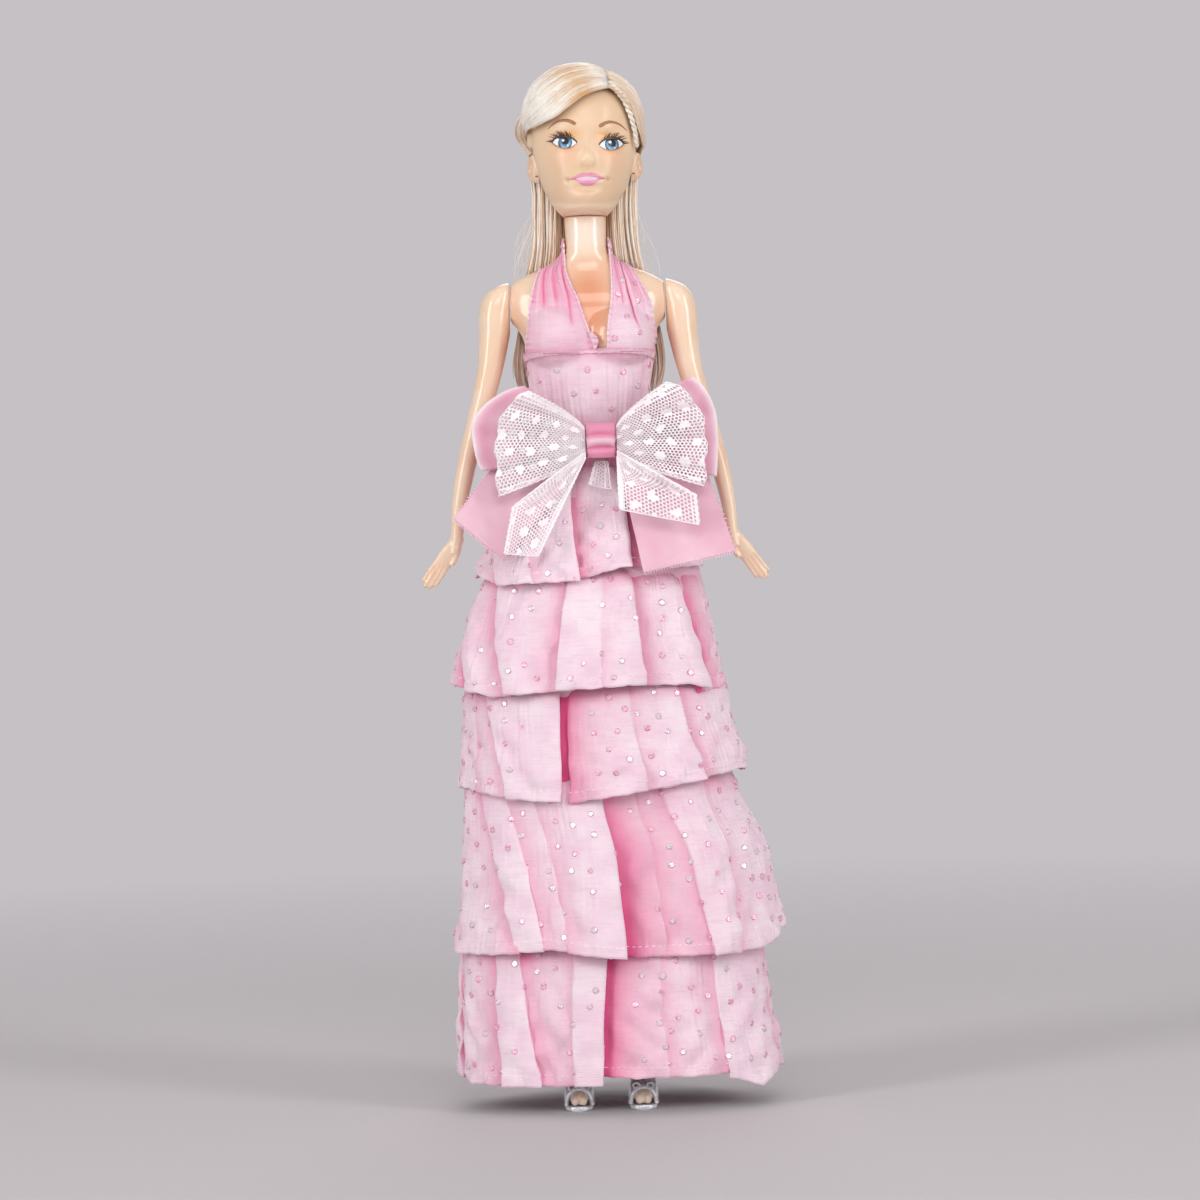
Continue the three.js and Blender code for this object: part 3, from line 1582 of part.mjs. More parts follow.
put("underskirt", underskirt(), materials.gown);
flounceShares.forEach((_, k) => put("flounce_" + (k + 1), flounce(k), materials.gown));
put("bow_knot", bowKnot(), materials.satin);
put("lace_end", shortLaceEnd(), materials.lace);
for (const [name, sizes] of Object.entries(loops)) {
  const lace = name.startsWith("lace");
  put(name, ribbonLoop(sizes, lace ? laceCrease : satinCrease), lace ? materials.lace : materials.satin);
}
for (const [name, sizes] of Object.entries(tails))
  put(name, ribbonTail(sizes), name.startsWith("lace") ? materials.lace : materials.satin);

export default doll;
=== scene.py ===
"""Looks of a fashion doll in a tiered halter gown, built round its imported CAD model.

Lengths are millimetres, and mesh_object turns them into metres. Only materials, lights, the
camera and the stage are given in metres. A surface is a function of u, across, and v, down.
"""

import math

import bpy
import numpy as np
from mathutils import Matrix, Vector
from mathutils.bvhtree import BVHTree


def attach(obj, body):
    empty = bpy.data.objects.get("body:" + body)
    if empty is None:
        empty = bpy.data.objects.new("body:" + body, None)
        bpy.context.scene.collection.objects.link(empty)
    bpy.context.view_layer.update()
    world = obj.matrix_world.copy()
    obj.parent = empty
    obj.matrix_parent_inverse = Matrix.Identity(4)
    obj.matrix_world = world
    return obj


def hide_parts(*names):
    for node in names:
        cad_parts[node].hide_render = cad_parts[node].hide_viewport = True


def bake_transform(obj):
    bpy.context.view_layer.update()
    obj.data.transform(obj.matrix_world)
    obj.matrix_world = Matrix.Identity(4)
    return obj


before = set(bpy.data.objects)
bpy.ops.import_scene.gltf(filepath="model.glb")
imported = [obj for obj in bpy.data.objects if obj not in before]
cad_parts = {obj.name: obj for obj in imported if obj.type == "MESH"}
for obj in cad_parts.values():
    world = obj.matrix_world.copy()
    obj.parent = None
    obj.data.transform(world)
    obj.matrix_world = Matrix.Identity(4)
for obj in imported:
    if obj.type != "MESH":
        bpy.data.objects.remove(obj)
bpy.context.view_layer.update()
MM = 0.001
TAU = 2 * math.pi

# Numbers and meshes


def rgb(r, g, b):
    """A colour as it looks on screen, from 0 to 255, as the shader's own values."""
    c = np.array([r, g, b]) / 255
    return (*np.where(c <= 0.04045, c / 12.92, ((c + 0.055) / 1.055) ** 2.4), 1.0)


def smooth(t):
    t = np.clip(t, 0, 1)
    return t * t * (3 - 2 * t)


def hump(distance, width):
    return np.exp(-((distance / width) ** 2))


def humps(at, *rows):
    """Several humps added up, each given by its amount, middle and width."""
    return sum(amount * hump(at - middle, width) for amount, middle, width in rows)


def curve_at(xs, ys, t):
    """Smooth values between the given ones, which rise in xs. ys may have columns."""
    xs, ys, t = np.asarray(xs, float), np.asarray(ys, float), np.asarray(t, float)
    slope = np.gradient(ys, xs, axis=0)
    i = np.clip(np.searchsorted(xs, t) - 1, 0, len(xs) - 2)
    width = xs[i + 1] - xs[i]
    s = np.clip((t - xs[i]) / width, 0, 1)
    if ys.ndim > 1:
        s, width = s[..., None], width[..., None]
    a, b = ys[i], ys[i + 1]
    return (
        a * (2 * s**3 - 3 * s**2 + 1)
        + b * (3 * s**2 - 2 * s**3)
        + slope[i] * width * (s**3 - 2 * s**2 + s)
        + slope[i + 1] * width * (s**3 - s**2)
    )


def row_at(table, at):
    """A table's other columns, where its first column has the given value."""
    return curve_at(table[:, 0], table[:, 1:], at)


def evenly(count):
    """Even steps from 0 to 1."""
    return np.linspace(0, 1, count)


def circle(sides):
    """Angles spread evenly round a circle."""
    return TAU * np.arange(sides) / sides


def unit(vectors):
    return vectors / (np.linalg.norm(vectors, axis=-1, keepdims=True) + 1e-9)


def signed_power(share, power):
    return np.sign(share) * np.abs(share) ** power


def grid_faces(rows, columns, closed=False):
    i = np.arange(rows - 1)[:, None]
    j = np.arange(columns if closed else columns - 1)[None, :]
    a = i * columns + j
    b = i * columns + (j + 1) % columns
    return np.stack([a, b, b + columns, a + columns], -1).reshape(-1, 4)


def mesh_object(name, points, faces, materials, uv=None, shade=None, kinds=None, thick=0):
    """A mesh of points in millimetres. uv and shade go by point, and kinds by face."""
    mesh = bpy.data.meshes.new(name)
    flat = np.asarray(points, float).reshape(-1, 3) * MM
    faces = [list(map(int, f)) for f in faces]
    mesh.from_pydata(flat.tolist(), [], faces)
    mesh.polygons.foreach_set("use_smooth", [True] * len(faces))
    for m in materials if isinstance(materials, (list, tuple)) else [materials]:
        mesh.materials.append(m)
    if kinds is not None:
        mesh.polygons.foreach_set("material_index", np.asarray(kinds, np.int32))
    if uv is not None:
        loops = np.zeros(len(mesh.loops), np.int32)
        mesh.loops.foreach_get("vertex_index", loops)
        layer = mesh.uv_layers.new(name="UVMap")
        layer.data.foreach_set("uv", np.asarray(uv, np.float32).reshape(-1, 2)[loops].ravel())
    if shade is not None:
        values = np.asarray(shade, np.float32).reshape(len(flat), -1)
        if values.shape[1] == 1:
            mesh.attributes.new("shade", "FLOAT", "POINT").data.foreach_set("value", values.ravel())
        else:
            colours = np.ones((len(flat), 4), np.float32)
            colours[:, :3] = values
            layer = mesh.attributes.new("shade", "FLOAT_COLOR", "POINT")
            layer.data.foreach_set("color", colours.ravel())
    mesh.validate()
    mesh.update()
    obj = bpy.data.objects.new(name, mesh)
    bpy.context.scene.collection.objects.link(obj)
    if thick:
        shell = obj.modifiers.new("thickness", "SOLIDIFY")
        shell.thickness = thick * MM
        shell.offset = 0
    return obj


def joined(parts):
    """Several (points, faces) or (points, faces, kinds) as one."""
    points, faces, kinds, start = [], [], [], 0
    for part in parts:
        p = np.asarray(part[0], float).reshape(-1, 3)
        points.append(p)
        faces += [[start + i for i in f] for f in part[1]]
        kinds += list(part[2]) if len(part) > 2 else [0] * len(part[1])
        start += len(p)
    return np.concatenate(points), faces, kinds


def tube(path, radius, sides=8, across=(0, 1, 0), flat=1.0):
    """A closed tube along a path. radius goes by point, and flat is its depth's share."""
    path = np.asarray(path, float)
    radius = np.broadcast_to(np.asarray(radius, float), (len(path),))
    along = np.gradient(path, axis=0)
    along = unit(along)
    depth = np.asarray(across, float) - (along @ np.asarray(across, float))[:, None] * along
    depth = unit(depth)
    width = np.cross(depth, along)
    a = circle(sides)
    flats = np.broadcast_to(np.asarray(flat, float), (len(path),))
    ring = (
        width[:, None, :] * (radius[:, None] * np.cos(a))[..., None]
        + depth[:, None, :] * (radius[:, None] * flats[:, None] * np.sin(a))[..., None]
    )
    points = (path[:, None, :] + ring).reshape(-1, 3)
    faces = grid_faces(len(path), sides, True).tolist()
    faces += [list(range(sides))[::-1], [(len(path) - 1) * sides + i for i in range(sides)]]
    return points, faces


# Materials


def material(name, colour, roughness, **sockets):
    m = bpy.data.materials.new(name)
    m.use_nodes = True
    shader = m.node_tree.nodes["Principled BSDF"]
    shader.inputs["Base Color"].default_value = colour
    shader.inputs["Roughness"].default_value = roughness
    for key, value in sockets.items():
        shader.inputs[key.replace("_", " ")].default_value = value
    return m


def node(m, kind, links=None, **settings):
    """A node with its settings, its inputs given as values or as other nodes' outputs."""
    made = m.node_tree.nodes.new("ShaderNode" + kind)
    for key, value in settings.items():
        setattr(made, key, value)
    for key, value in (links or {}).items():
        if isinstance(value, bpy.types.NodeSocket):
            m.node_tree.links.new(value, made.inputs[key])
        else:
            made.inputs[key].default_value = value
    return made


def feed(m, socket, value):
    m.node_tree.links.new(value, m.node_tree.nodes["Principled BSDF"].inputs[socket])


def place(m, scale=(1, 1, 1), uv=False, rotation=(0, 0, 0)):
    coordinates = node(m, "TexCoord")
    return node(
        m,
        "Mapping",
        {"Vector": coordinates.outputs["UV" if uv else "Object"], "Scale": scale, "Rotation": rotation},
    ).outputs[0]


def noise(m, where, scale, detail=2, roughness=0.5):
    return node(
        m, "TexNoise", {"Vector": where, "Scale": scale, "Detail": detail, "Roughness": roughness}
    ).outputs["Fac"]


def ramp(m, factor, low, high):
    made = node(m, "MapRange", {"Value": factor, "From Min": low, "From Max": high})
    return made.outputs["Result"]


def mix(m, factor, a, b):
    made = node(m, "Mix", data_type="RGBA")
    for socket, value in ((made.inputs[0], factor), (made.inputs[6], a), (made.inputs[7], b)):
        if isinstance(value, bpy.types.NodeSocket):
            m.node_tree.links.new(value, socket)
        else:
            socket.default_value = value
    return made.outputs[2]


def maths(m, operation, a, b):
    made = node(m, "Math", operation=operation)
    for socket, value in zip(made.inputs, (a, b)):
        if isinstance(value, bpy.types.NodeSocket):
            m.node_tree.links.new(value, socket)
        else:
            socket.default_value = value
    return made.outputs[0]


def times(m, a, b):
    return maths(m, "MULTIPLY", a, b)


def point_shade(m):
    return node(m, "Attribute", attribute_name="shade").outputs["Fac"]


def bump(m, height, strength, distance, under=None):
    links = {"Height": height, "Strength": strength, "Distance": distance}
    if under is not None:
        links["Normal"] = under
    return node(m, "Bump", links).outputs[0]


def wave(m, where, scale, direction, distortion=0.0):
    return node(
        m,
        "TexWave",
        {"Vector": where, "Scale": scale, "Distortion": distortion, "Detail": 1.5, "Detail Scale": 2.0},
        bands_direction=direction,
    ).outputs["Fac"]


PINK_PALE = rgb(241, 213, 226)
PINK_LIGHT = rgb(246, 231, 238)
PINK_MID = rgb(234, 176, 204)
PINK_PAINTED_SHADE = rgb(228, 84, 142)


def gown_material():
    m = material("gown_cotton", PINK_PALE, 0.62, Sheen_Weight=0.25, Sheen_Roughness=0.4)
    where = place(m)
    broad = ramp(m, noise(m, where, 110, 3), 0.36, 0.66)
    colour = mix(m, broad, PINK_PALE, PINK_LIGHT)
    streak = ramp(m, noise(m, place(m, (0.12, 0.12, 1)), 1500, 3, 0.6), 0.5, 0.72)
    colour = mix(m, times(m, streak, 0.3), colour, PINK_MID)
    threads = wave(m, where, 640, "Z", 1.2)
    colour = mix(m, times(m, threads, 0.16), colour, PINK_MID)
    # Painted shade: the shade attribute mixes in a hot pink in the pleats and under the tier above.
    shade = point_shade(m)
    colour = mix(m, shade, colour, PINK_PAINTED_SHADE)
    feed(m, "Base Color", colour)
    grain = bump(m, threads, 0.3, 0.00012)
    crossed = wave(m, place(m, rotation=(0, 0, 0.7)), 820, "X", 1.0)
    grain = bump(m, crossed, 0.18, 0.0001, grain)
    crinkle = noise(m, place(m, (0.5, 0.5, 1.3)), 420, 3)
    feed(m, "Normal", bump(m, crinkle, 0.3, 0.0004, grain))
    return m


def plain_fabric(name, colour, dark, roughness, grain_scale=900, strength=0.25, **sockets):
    m = material(name, colour, roughness, **sockets)
    where = place(m)
    cloudy = ramp(m, noise(m, where, 160, 3), 0.3, 0.75)
    feed(m, "Base Color", mix(m, cloudy, colour, dark))
    feed(m, "Normal", bump(m, noise(m, where, grain_scale, 2), strength, 0.0002))
    return m


gown = gown_material()
thread = plain_fabric("thread", rgb(236, 160, 196), rgb(226, 140, 182), 0.6)
thread_pale = plain_fabric("thread_pale", rgb(253, 238, 245), rgb(247, 214, 230), 0.6)
# Painted glint: dots that glint are coloured white with a greyer rim, the rest pink.
foil_painted_glint = material("foil_painted_glint", rgb(250, 244, 248), 0.16, Metallic=0.55, Coat_Weight=0.5)
foil_ring = material("foil_ring", rgb(208, 162, 182), 0.3, Metallic=0.4)
foil_pink = material("foil_pink", rgb(232, 142, 182), 0.3, Metallic=0.35)
foil_rose = material("foil_rose", rgb(222, 116, 162), 0.34, Metallic=0.3)
for foil in (foil_painted_glint, foil_ring, foil_pink, foil_rose):
    fleck = noise(foil, place(foil), 2400, 2)
    feed(foil, "Normal", bump(foil, fleck, 0.2, 0.00008))
    base = foil.node_tree.nodes["Principled BSDF"].inputs["Base Color"].default_value[:]
    feed(foil, "Base Color", mix(foil, ramp(foil, fleck, 0.35, 0.7), base, PINK_LIGHT))

# The camera looks along +Y, rolled as the doll lies in the photograph

ROLL = math.radians(1.72)
LENS = 110
SENSOR = 36
FRAME_WIDTH = 0.34284
FRAME_CENTRE = (0.0010, 0.1437)
DISTANCE = FRAME_WIDTH / SENSOR * LENS

camera_data = bpy.data.cameras.new("camera")
camera_data.lens = LENS
camera_data.sensor_width = SENSOR
camera_data.clip_start = 0.05
camera_data.clip_end = 20
camera = bpy.data.objects.new("camera", camera_data)
bpy.context.scene.collection.objects.link(camera)
camera.matrix_world = Matrix(
    (
        (math.cos(ROLL), math.sin(ROLL), 0, FRAME_CENTRE[0]),
        (0, 0, -1, -DISTANCE),
        (-math.sin(ROLL), math.cos(ROLL), 0, FRAME_CENTRE[1]),
        (0, 0, 0, 1),
    )
)
bpy.context.scene.camera = camera
bpy.context.scene.view_settings.view_transform = "Standard"

# The stage is a wide round floor that curves up into a wall on all sides

STAGE_GREY = rgb(197, 193, 196)
FLOOR_GREY = rgb(208, 204, 206)
stage_profile = [(0, 0), (0.25, 0), (0.7, 0), (1.5, 0), (1.9, 0)]
stage_profile += [
    (1.9 + 0.7 * math.sin(a), 0.7 * (1 - math.cos(a))) for a in np.linspace(0.1, 1.57, 12)
]
stage_profile += [(2.6, 2.2), (2.6, 3.4)]
turns = np.linspace(0, TAU, 96, endpoint=False)
stage_points = np.array([[(r * np.cos(t), r * np.sin(t), z) for t in turns] for r, z in stage_profile])
stage_material = bpy.data.materials.new("stage")
stage_material.use_nodes = True
diffuse = stage_material.node_tree.nodes["Principled BSDF"]
diffuse.inputs["Base Color"].default_value = FLOOR_GREY
diffuse.inputs["Roughness"].default_value = 0.9
distance = node(
    stage_material, "VectorMath", {0: place(stage_material, (1, 1, 1))}, operation="LENGTH"
).outputs["Value"]
beyond = ramp(stage_material, distance, 0.35, 0.95)
path = node(stage_material, "LightPath")
seen = maths(
    stage_material,
    "MAXIMUM",
    path.outputs["Is Camera Ray"],
    maths(
        stage_material, "MAXIMUM", path.outputs["Is Glossy Ray"], path.outputs["Is Transmission Ray"]
    ),
)
glow = node(stage_material, "Emission", {"Color": STAGE_GREY, "Strength": 1.0})
blend_stage = node(
    stage_material,
    "MixShader",
    {0: times(stage_material, beyond, seen), 1: diffuse.outputs[0], 2: glow.outputs[0]},
)
stage_material.node_tree.links.new(
    blend_stage.outputs[0], stage_material.node_tree.nodes["Material Output"].inputs[0]
)
floor = mesh_object(
    "floor", stage_points / MM, grid_faces(len(stage_profile), len(turns), True)[
        :, ::-1
    ], stage_material
)

# Soft studio light: two tall boxes beside the camera, a top light and an even sky

world = bpy.data.worlds.new("sky")
bpy.context.scene.world = world
world.use_nodes = True
world.node_tree.nodes["Background"].inputs[0].default_value = (1, 0.985, 0.99, 1)
world.node_tree.nodes["Background"].inputs[1].default_value = 0.62


def softbox(name, place_at, aim, size, power, spread=math.pi):
    data = bpy.data.lights.new(name, "AREA")
    data.shape = "RECTANGLE"
    data.size, data.size_y = size
    data.energy = power
    data.spread = spread
    lamp = bpy.data.objects.new(name, data)
    bpy.context.scene.collection.objects.link(lamp)
    lamp.location = place_at
    lamp.rotation_euler = (Vector(aim) - Vector(place_at)).to_track_quat("-Z", "Y").to_euler()


softbox("key_left", (-1.15, -0.95, 0.5), (0, 0, 0.15), (0.35, 1.3), 10.4)
softbox("key_right", (1.15, -0.95, 0.45), (0, 0, 0.15), (0.35, 1.3), 10)
softbox("front_fill", (0.1, -1.6, 1.0), (0, 0, 0.15), (1.0, 0.6), 7)
softbox("back_fill", (0.2, 1.5, 1.1), (0, 0, 0.15), (1.0, 0.8), 4)

# The body's own forms, which the gown follows. Each row: height, half width, depth to the
# front and depth to the back, as shares of the torso's sizes.

HIP_Y, HIP_Z = 0.5, 150
CROTCH_HALF, CROTCH_RISE = 10.6, 12.6
TORSO_BOTTOM, TORSO_HEIGHT = 161.8, 91.2
TORSO_HALF, TORSO_FRONT, TORSO_BACK = 22.0, 11.4, 13.4
TORSO_SHARES = np.array(
    [
        [0, 0.93, 1, 1.06], [0.07, 0.92, 1, 0.98], [0.15, 0.8, 0.96, 0.8], [0.24, 0.66, 0.86, 0.64],
        [0.33, 0.64, 0.84, 0.6], [0.44, 0.73, 0.88, 0.66], [0.56, 0.8, 0.94, 0.72],
        [0.65, 0.9, 0.92, 0.76], [0.695, 1.05, 0.84, 0.78], [0.76, 1.06, 0.76, 0.74],
        [0.8, 0.96, 0.62, 0.6], [0.828, 0.74, 0.54, 0.5], [0.855, 0.44, 0.5, 0.47],
        [0.88, 0.31, 0.5, 0.45], [0.92, 0.275, 0.49, 0.44], [1, 0.272, 0.49, 0.43],
    ]
)
BUST_RISE = 0.62
BUST_SPREAD, BUST_FORWARD = 8.0, 3.4
BUST_WIDTH, BUST_DEPTH, BUST_HEIGHT = 10.0, 9.8, 9.2
BUST_BLEND = 1.6


def torso_point(turn, z, grow=0.0):
    """A point on the torso, at a turn whose 0 is at the doll's left and whose 0.75 is in front."""
    turn, z, grow = np.broadcast_arrays(*[np.asarray(v, float) for v in (turn, z, grow)])
    row = row_at(TORSO_SHARES, (z - TORSO_BOTTOM) / TORSO_HEIGHT)
    a = TAU * turn
    across, side = np.cos(a), np.sin(a)
    x = (row[..., 0] * TORSO_HALF + grow) * across
    depth = np.where(side < 0, row[..., 1] * TORSO_FRONT, row[..., 2] * TORSO_BACK) + grow
    y = depth * side
    rise = (z - TORSO_BOTTOM - BUST_RISE * TORSO_HEIGHT) / (BUST_HEIGHT + grow)
    for middle in (-BUST_SPREAD, BUST_SPREAD):
        left = 1 - rise**2 - ((x - middle) / (BUST_WIDTH + grow)) ** 2
        bust = -BUST_FORWARD - (BUST_DEPTH + grow) * np.sqrt(np.clip(left, 0, 1)) - HIP_Y
        h = np.clip(0.5 + 0.5 * (y - bust) / BUST_BLEND, 0, 1)
        merged_y = y * (1 - h) + bust * h - BUST_BLEND * h * (1 - h)
        y = np.where((left > 0) & (side < 0), merged_y, y)
    return np.stack([x, y + HIP_Y, z], -1)


def torso_half(z):
    """Half the torso's width at a height."""
    return (
        curve_at(TORSO_SHARES[:, 0], TORSO_SHARES[:, 1], (z - TORSO_BOTTOM) / TORSO_HEIGHT) * TORSO_HALF
    )


def surface_mesh(surface, us, vs, closed):
    """Points, faces and uv of a surface of u and v. u runs along the columns."""
    u, v = np.meshgrid(us, vs)
    return surface(u, v), grid_faces(len(vs), len(us), closed), np.stack([u, v], -1)


def normals_of(surface, u, v, step=0.0015):
    along = surface(u + step, v) - surface(u - step, v)
    down = surface(u, v + step) - surface(u, v - step)
    n = np.cross(down, along)
    return unit(n), along


# Small parts sewn or glued on cloth

DOT_SIDES = 12
STITCH = (1.05, 0.26, 0.16)


def foil_dots(surface, us, vs, radii, painted_glints):
    """Round foil dots on a surface, each a low dome with a darker rim. Those with a painted glint are white
    with a greyer rim, the rest pink.
    """
    n, along = normals_of(surface, us, vs)
    e1 = unit(along)
    e2 = np.cross(n, e1)
    centres = surface(us, vs) + n * 0.36
    a = circle(DOT_SIDES)
    parts = []
    rings = [(1.0, -0.34), (1.0, 0.0), (0.74, 0.1), (0.6, 0.05), (0.3, 0.09)]
    for c, nn, x, y, r, glint in zip(centres, n, e1, e2, radii, painted_glints):
        points = [c + r * s * (np.cos(t) * x + np.sin(t) * y) + nn * h for s, h in rings for t in a]
        points += [c + nn * 0.1, c - nn * 0.34]
        faces = grid_faces(len(rings), DOT_SIDES, True).tolist()
        kinds = [1 if i < 3 * DOT_SIDES else 0 for i in range(len(faces))]
        last, base = (len(rings) - 1) * DOT_SIDES, len(points) - 2
        faces += [[last + i, last + (i + 1) % DOT_SIDES, base] for i in range(DOT_SIDES)]
        faces += [[(i + 1) % DOT_SIDES, i, base + 1] for i in range(DOT_SIDES)]
        kinds += [0] * DOT_SIDES + [1] * DOT_SIDES
        parts.append((points, faces, kinds if glint else [k + 2 for k in kinds]))
    return joined(parts)


def stitches(path, normals, every=1.75, size=STITCH, skew=0.0):
    """Short thread stitches along a path of points, each a rounded bar lying on the cloth."""
    steps = np.linalg.norm(np.diff(path, axis=0), axis=1)
    run = np.concatenate([[0], np.cumsum(steps)])
    at = np.arange(every / 2, run[-1], every)
    centres = np.stack([np.interp(at, run, path[:, i]) for i in range(3)], -1)
    ahead = np.stack([np.interp(at + 0.3, run, path[:, i]) for i in range(3)], -1) - centres
    ups = np.stack([np.interp(at, run, normals[:, i]) for i in range(3)], -1)
    ahead = unit(ahead)
    ups = unit(ups)
    sides = np.cross(ups, ahead)
    ahead = ahead + sides * skew
    parts = []
    rows = [(-0.5, 0.25), (-0.4, 0.8), (0, 1), (0.4, 0.8), (0.5, 0.25)]
    ring = [(math.cos(t), math.sin(t)) for t in circle(6)]
    for c, f, u, s in zip(centres, ahead, ups, sides):
        points = [
            c + f * size[0] * t + (s * size[1] / 2 * p + u * size[2] * q) * w
            for t, w in rows
            for p, q in ring
        ]
        faces = grid_faces(5, 6, True).tolist() + [[5, 4, 3, 2, 1, 0], [24, 25, 26, 27, 28, 29]]
        parts.append((points, faces))
    return joined(parts)


# The skirt: an underskirt and five flounces. Turn 0 is at the back, 0.25 at the doll's
# right, 0.5 in front and 0.75 at its left.

CLOTH = 0.42
SHARE_FRONT, SHARE_BACK = 0.53, 0.5
UNDERSKIRT = np.array(
    [[12, 41.2], [56, 39.5], [98, 36.5], [127, 33.6], [158, 27.7], [172, 22.3], [183.4, 16.1]]
)


def skirt_point(turn, left, right, z, outward, stand):
    """left and right are the skirt's edges in x; outward stands off all round, stand only in depth."""
    a = TAU * turn + TAU / 4
    side = np.sin(a)
    half, middle = (right - left) / 2, (right + left) / 2
    share = np.where(side < 0, SHARE_FRONT, SHARE_BACK)
    waist = 2.0 * np.clip(1 - half / 42, 0, 1)
    return np.stack(
        [
            middle + (half + outward) * np.cos(a),
            HIP_Y + side * (half * share + waist + outward + stand),
            z + 0 * turn,
        ],
        -1,
    )


# Each tier: where it is sewn on; its two edges by height; its hem's height by x, in front;
# and its pleats: x at the top and at the hem, depth, which panel lies on top (1 the one to
# the doll's right, -1 the other), and the power by which it opens towards the hem
TIERS = [
    {
        "top": 181.6,
        "base": 151.0,
        "edges": [[181.6, -17.6, 16.6], [171, -25.4, 23.5], [160, -31.6, 28.2], [151, -34.7, 30.4]],
        "hem": [[-34.6, 152], [-28.3, 148.6], [-5.8, 149.2], [8.8, 153], [20, 152.2], [30.2, 152.6]],
        "pleats": [
            [-6.2, -5.7, 2.5, 1, 0.3], [6.0, 9.4, 3.6, 1, 0.4], [-22, -27.6, 2.2, -1, 0.6],
            [18, 22, 2.0, -1, 0.6], [-14, -17.5, 0.8, 1, 0.7],
        ],
    },
    {
        "top": 157.4,
        "base": 119.6,
        "edges": [
            [157.4, -30.2, 27.4], [150.8, -32.7, 29.8], [138.5, -38.1, 33.2], [126.2, -41.7, 35.8],
            [119.6, -43.2, 37.0],
        ],
        "hem": [
            [-43.2, 121.3], [-31.4, 117.1], [-11.4, 118.7], [10, 119.6], [27, 119.2], [31, 116.8],
            [36.9, 118.7],
        ],
        "pleats": [
            [-30.8, -37.4, 3.2, -1, 0.5], [-26.6, -26.4, 2.0, -1, 0.4], [-7.2, -11.6, 1.7, -1, 0.5],
            [8.4, 12.2, 2.2, 1, 0.2], [20.4, 30.2, 4.2, 1, 0.8], [1.5, 1.0, 0.5, 1, 0.6],
        ],
    },
    {
        "top": 126.6,
        "base": 90.5,
        "edges": [
            [126.6, -37.4, 34.8], [117.7, -38.7, 36.4], [104, -39.6, 38.2], [96, -40.4, 40.9],
            [90.5, -40.8, 41.2],
        ],
        "hem": [
            [-40.8, 91.6], [-27, 88.6], [-14.2, 87.4], [-10.4, 86.8], [7.8, 89.4], [19.5, 90.8],
            [40.6, 95],
        ],
        "pleats": [
            [-11.8, -14.2, 3.8, 1, 0.25], [-8.4, -10.2, 0.7, -1, 1.2], [-32.5, -27, 1.1, -1, 0.8],
            [20.5, 29, 1.7, 1, 0.5], [7, 13, 0.8, 1, 0.6], [-35, -36.5, 0.8, 1, 0.6],
        ],
    },
    {
        "top": 98.4,
        "base": 46.6,
        "edges": [
            [98.4, -38.9, 37.4], [88, -39.7, 39.2], [74.2, -40.4, 46.0], [61.7, -41.4, 48.2],
            [51, -43.0, 50.4], [45, -43.9, 50.8],
        ],
        "hem": [
            [-43.8, 44.8], [-32, 44.9], [-15.4, 46.5], [1.8, 43.7], [17.4, 43.6], [39.3, 43.8],
            [46.6, 45.2], [50.8, 49.6],
        ],
        "pleats": [
            [-0.6, 3.0, 5.0, 1, 1.3], [-35.2, -25.6, 1.5, -1, 0.5], [-28.4, -18.4, 1.2, 1, 0.5],
            [-21.4, -10.8, 1.0, 1, 0.6], [15.6, 30.2, 1.1, -1, 0.6], [8, 18, 0.7, 1, 0.6],
            [28, 38, 0.8, 1, 0.8],
        ],
    },
    {
        "top": 56.6,
        "base": 8.8,
        "edges": [
            [56.6, -41.0, 43.6], [44, -41.8, 45.1], [25.3, -43.3, 47.2], [13.6, -43.5, 49.3],
            [8.8, -43.4, 49.6],
        ],
        "hem": [
            [-43.4, 8.4], [-23.8, 8.1], [-9.2, 8.4], [-3.6, 8.6], [-2.8, 11], [6.9, 10.1], [33.2, 10],
            [41.8, 5.9], [49.4, 9.8],
        ],
        "pleats": [
            [-0.8, -4.8, 4.2, 1, 0.15], [-8.8, -10.4, 0.8, -1, 0.2], [-31.5, -29.5, 1.9, -1, 0.5],
            [-26, -20.5, 1.5, 1, 0.5], [28.5, 34.5, 1.4, -1, 0.6], [42.5, 47.4, 2.6, 1, 0.5],
            [14, 17, 0.8, 1, 1.0],
        ],
    },
]
BACK_PLEATS = [
    [0.04, 0.035, 2.0, 1], [0.12, 0.115, 1.6, -1], [0.19, 0.2, 1.8, 1], [0.83, 0.82, 1.7, -1],
    [0.91, 0.92, 2.1, 1],
]
PLEAT_WINDOW = 0.0125
PLEAT_LAP = 0.0105
PLEAT_FADE = 0.034
HEM_DEPTH = 2.7
STAND_TOP, STAND_HEM = 0.7, 4.6
COVERED = (0.0, 0.2, 0.24, 0.13, 0.25)
TUCK = 1.6


def draw(own, *ranges):
    """One random number from each range, drawn in turn."""
    return [own.uniform(low, high) for low, high in ranges]


def apart(a, b):
    """How far one turn lies from another, the short way round."""
    return (a - b + 0.5) % 1 - 0.5


def edges_at(tier, z):
    rows = np.array(tier["edges"])[::-1]
    return row_at(rows, z)


def turn_of(x, left, right):
    share = np.clip((x - (left + right) / 2) / ((right - left) / 2), -0.999, 0.999)
    return 0.75 - np.arccos(share) / TAU


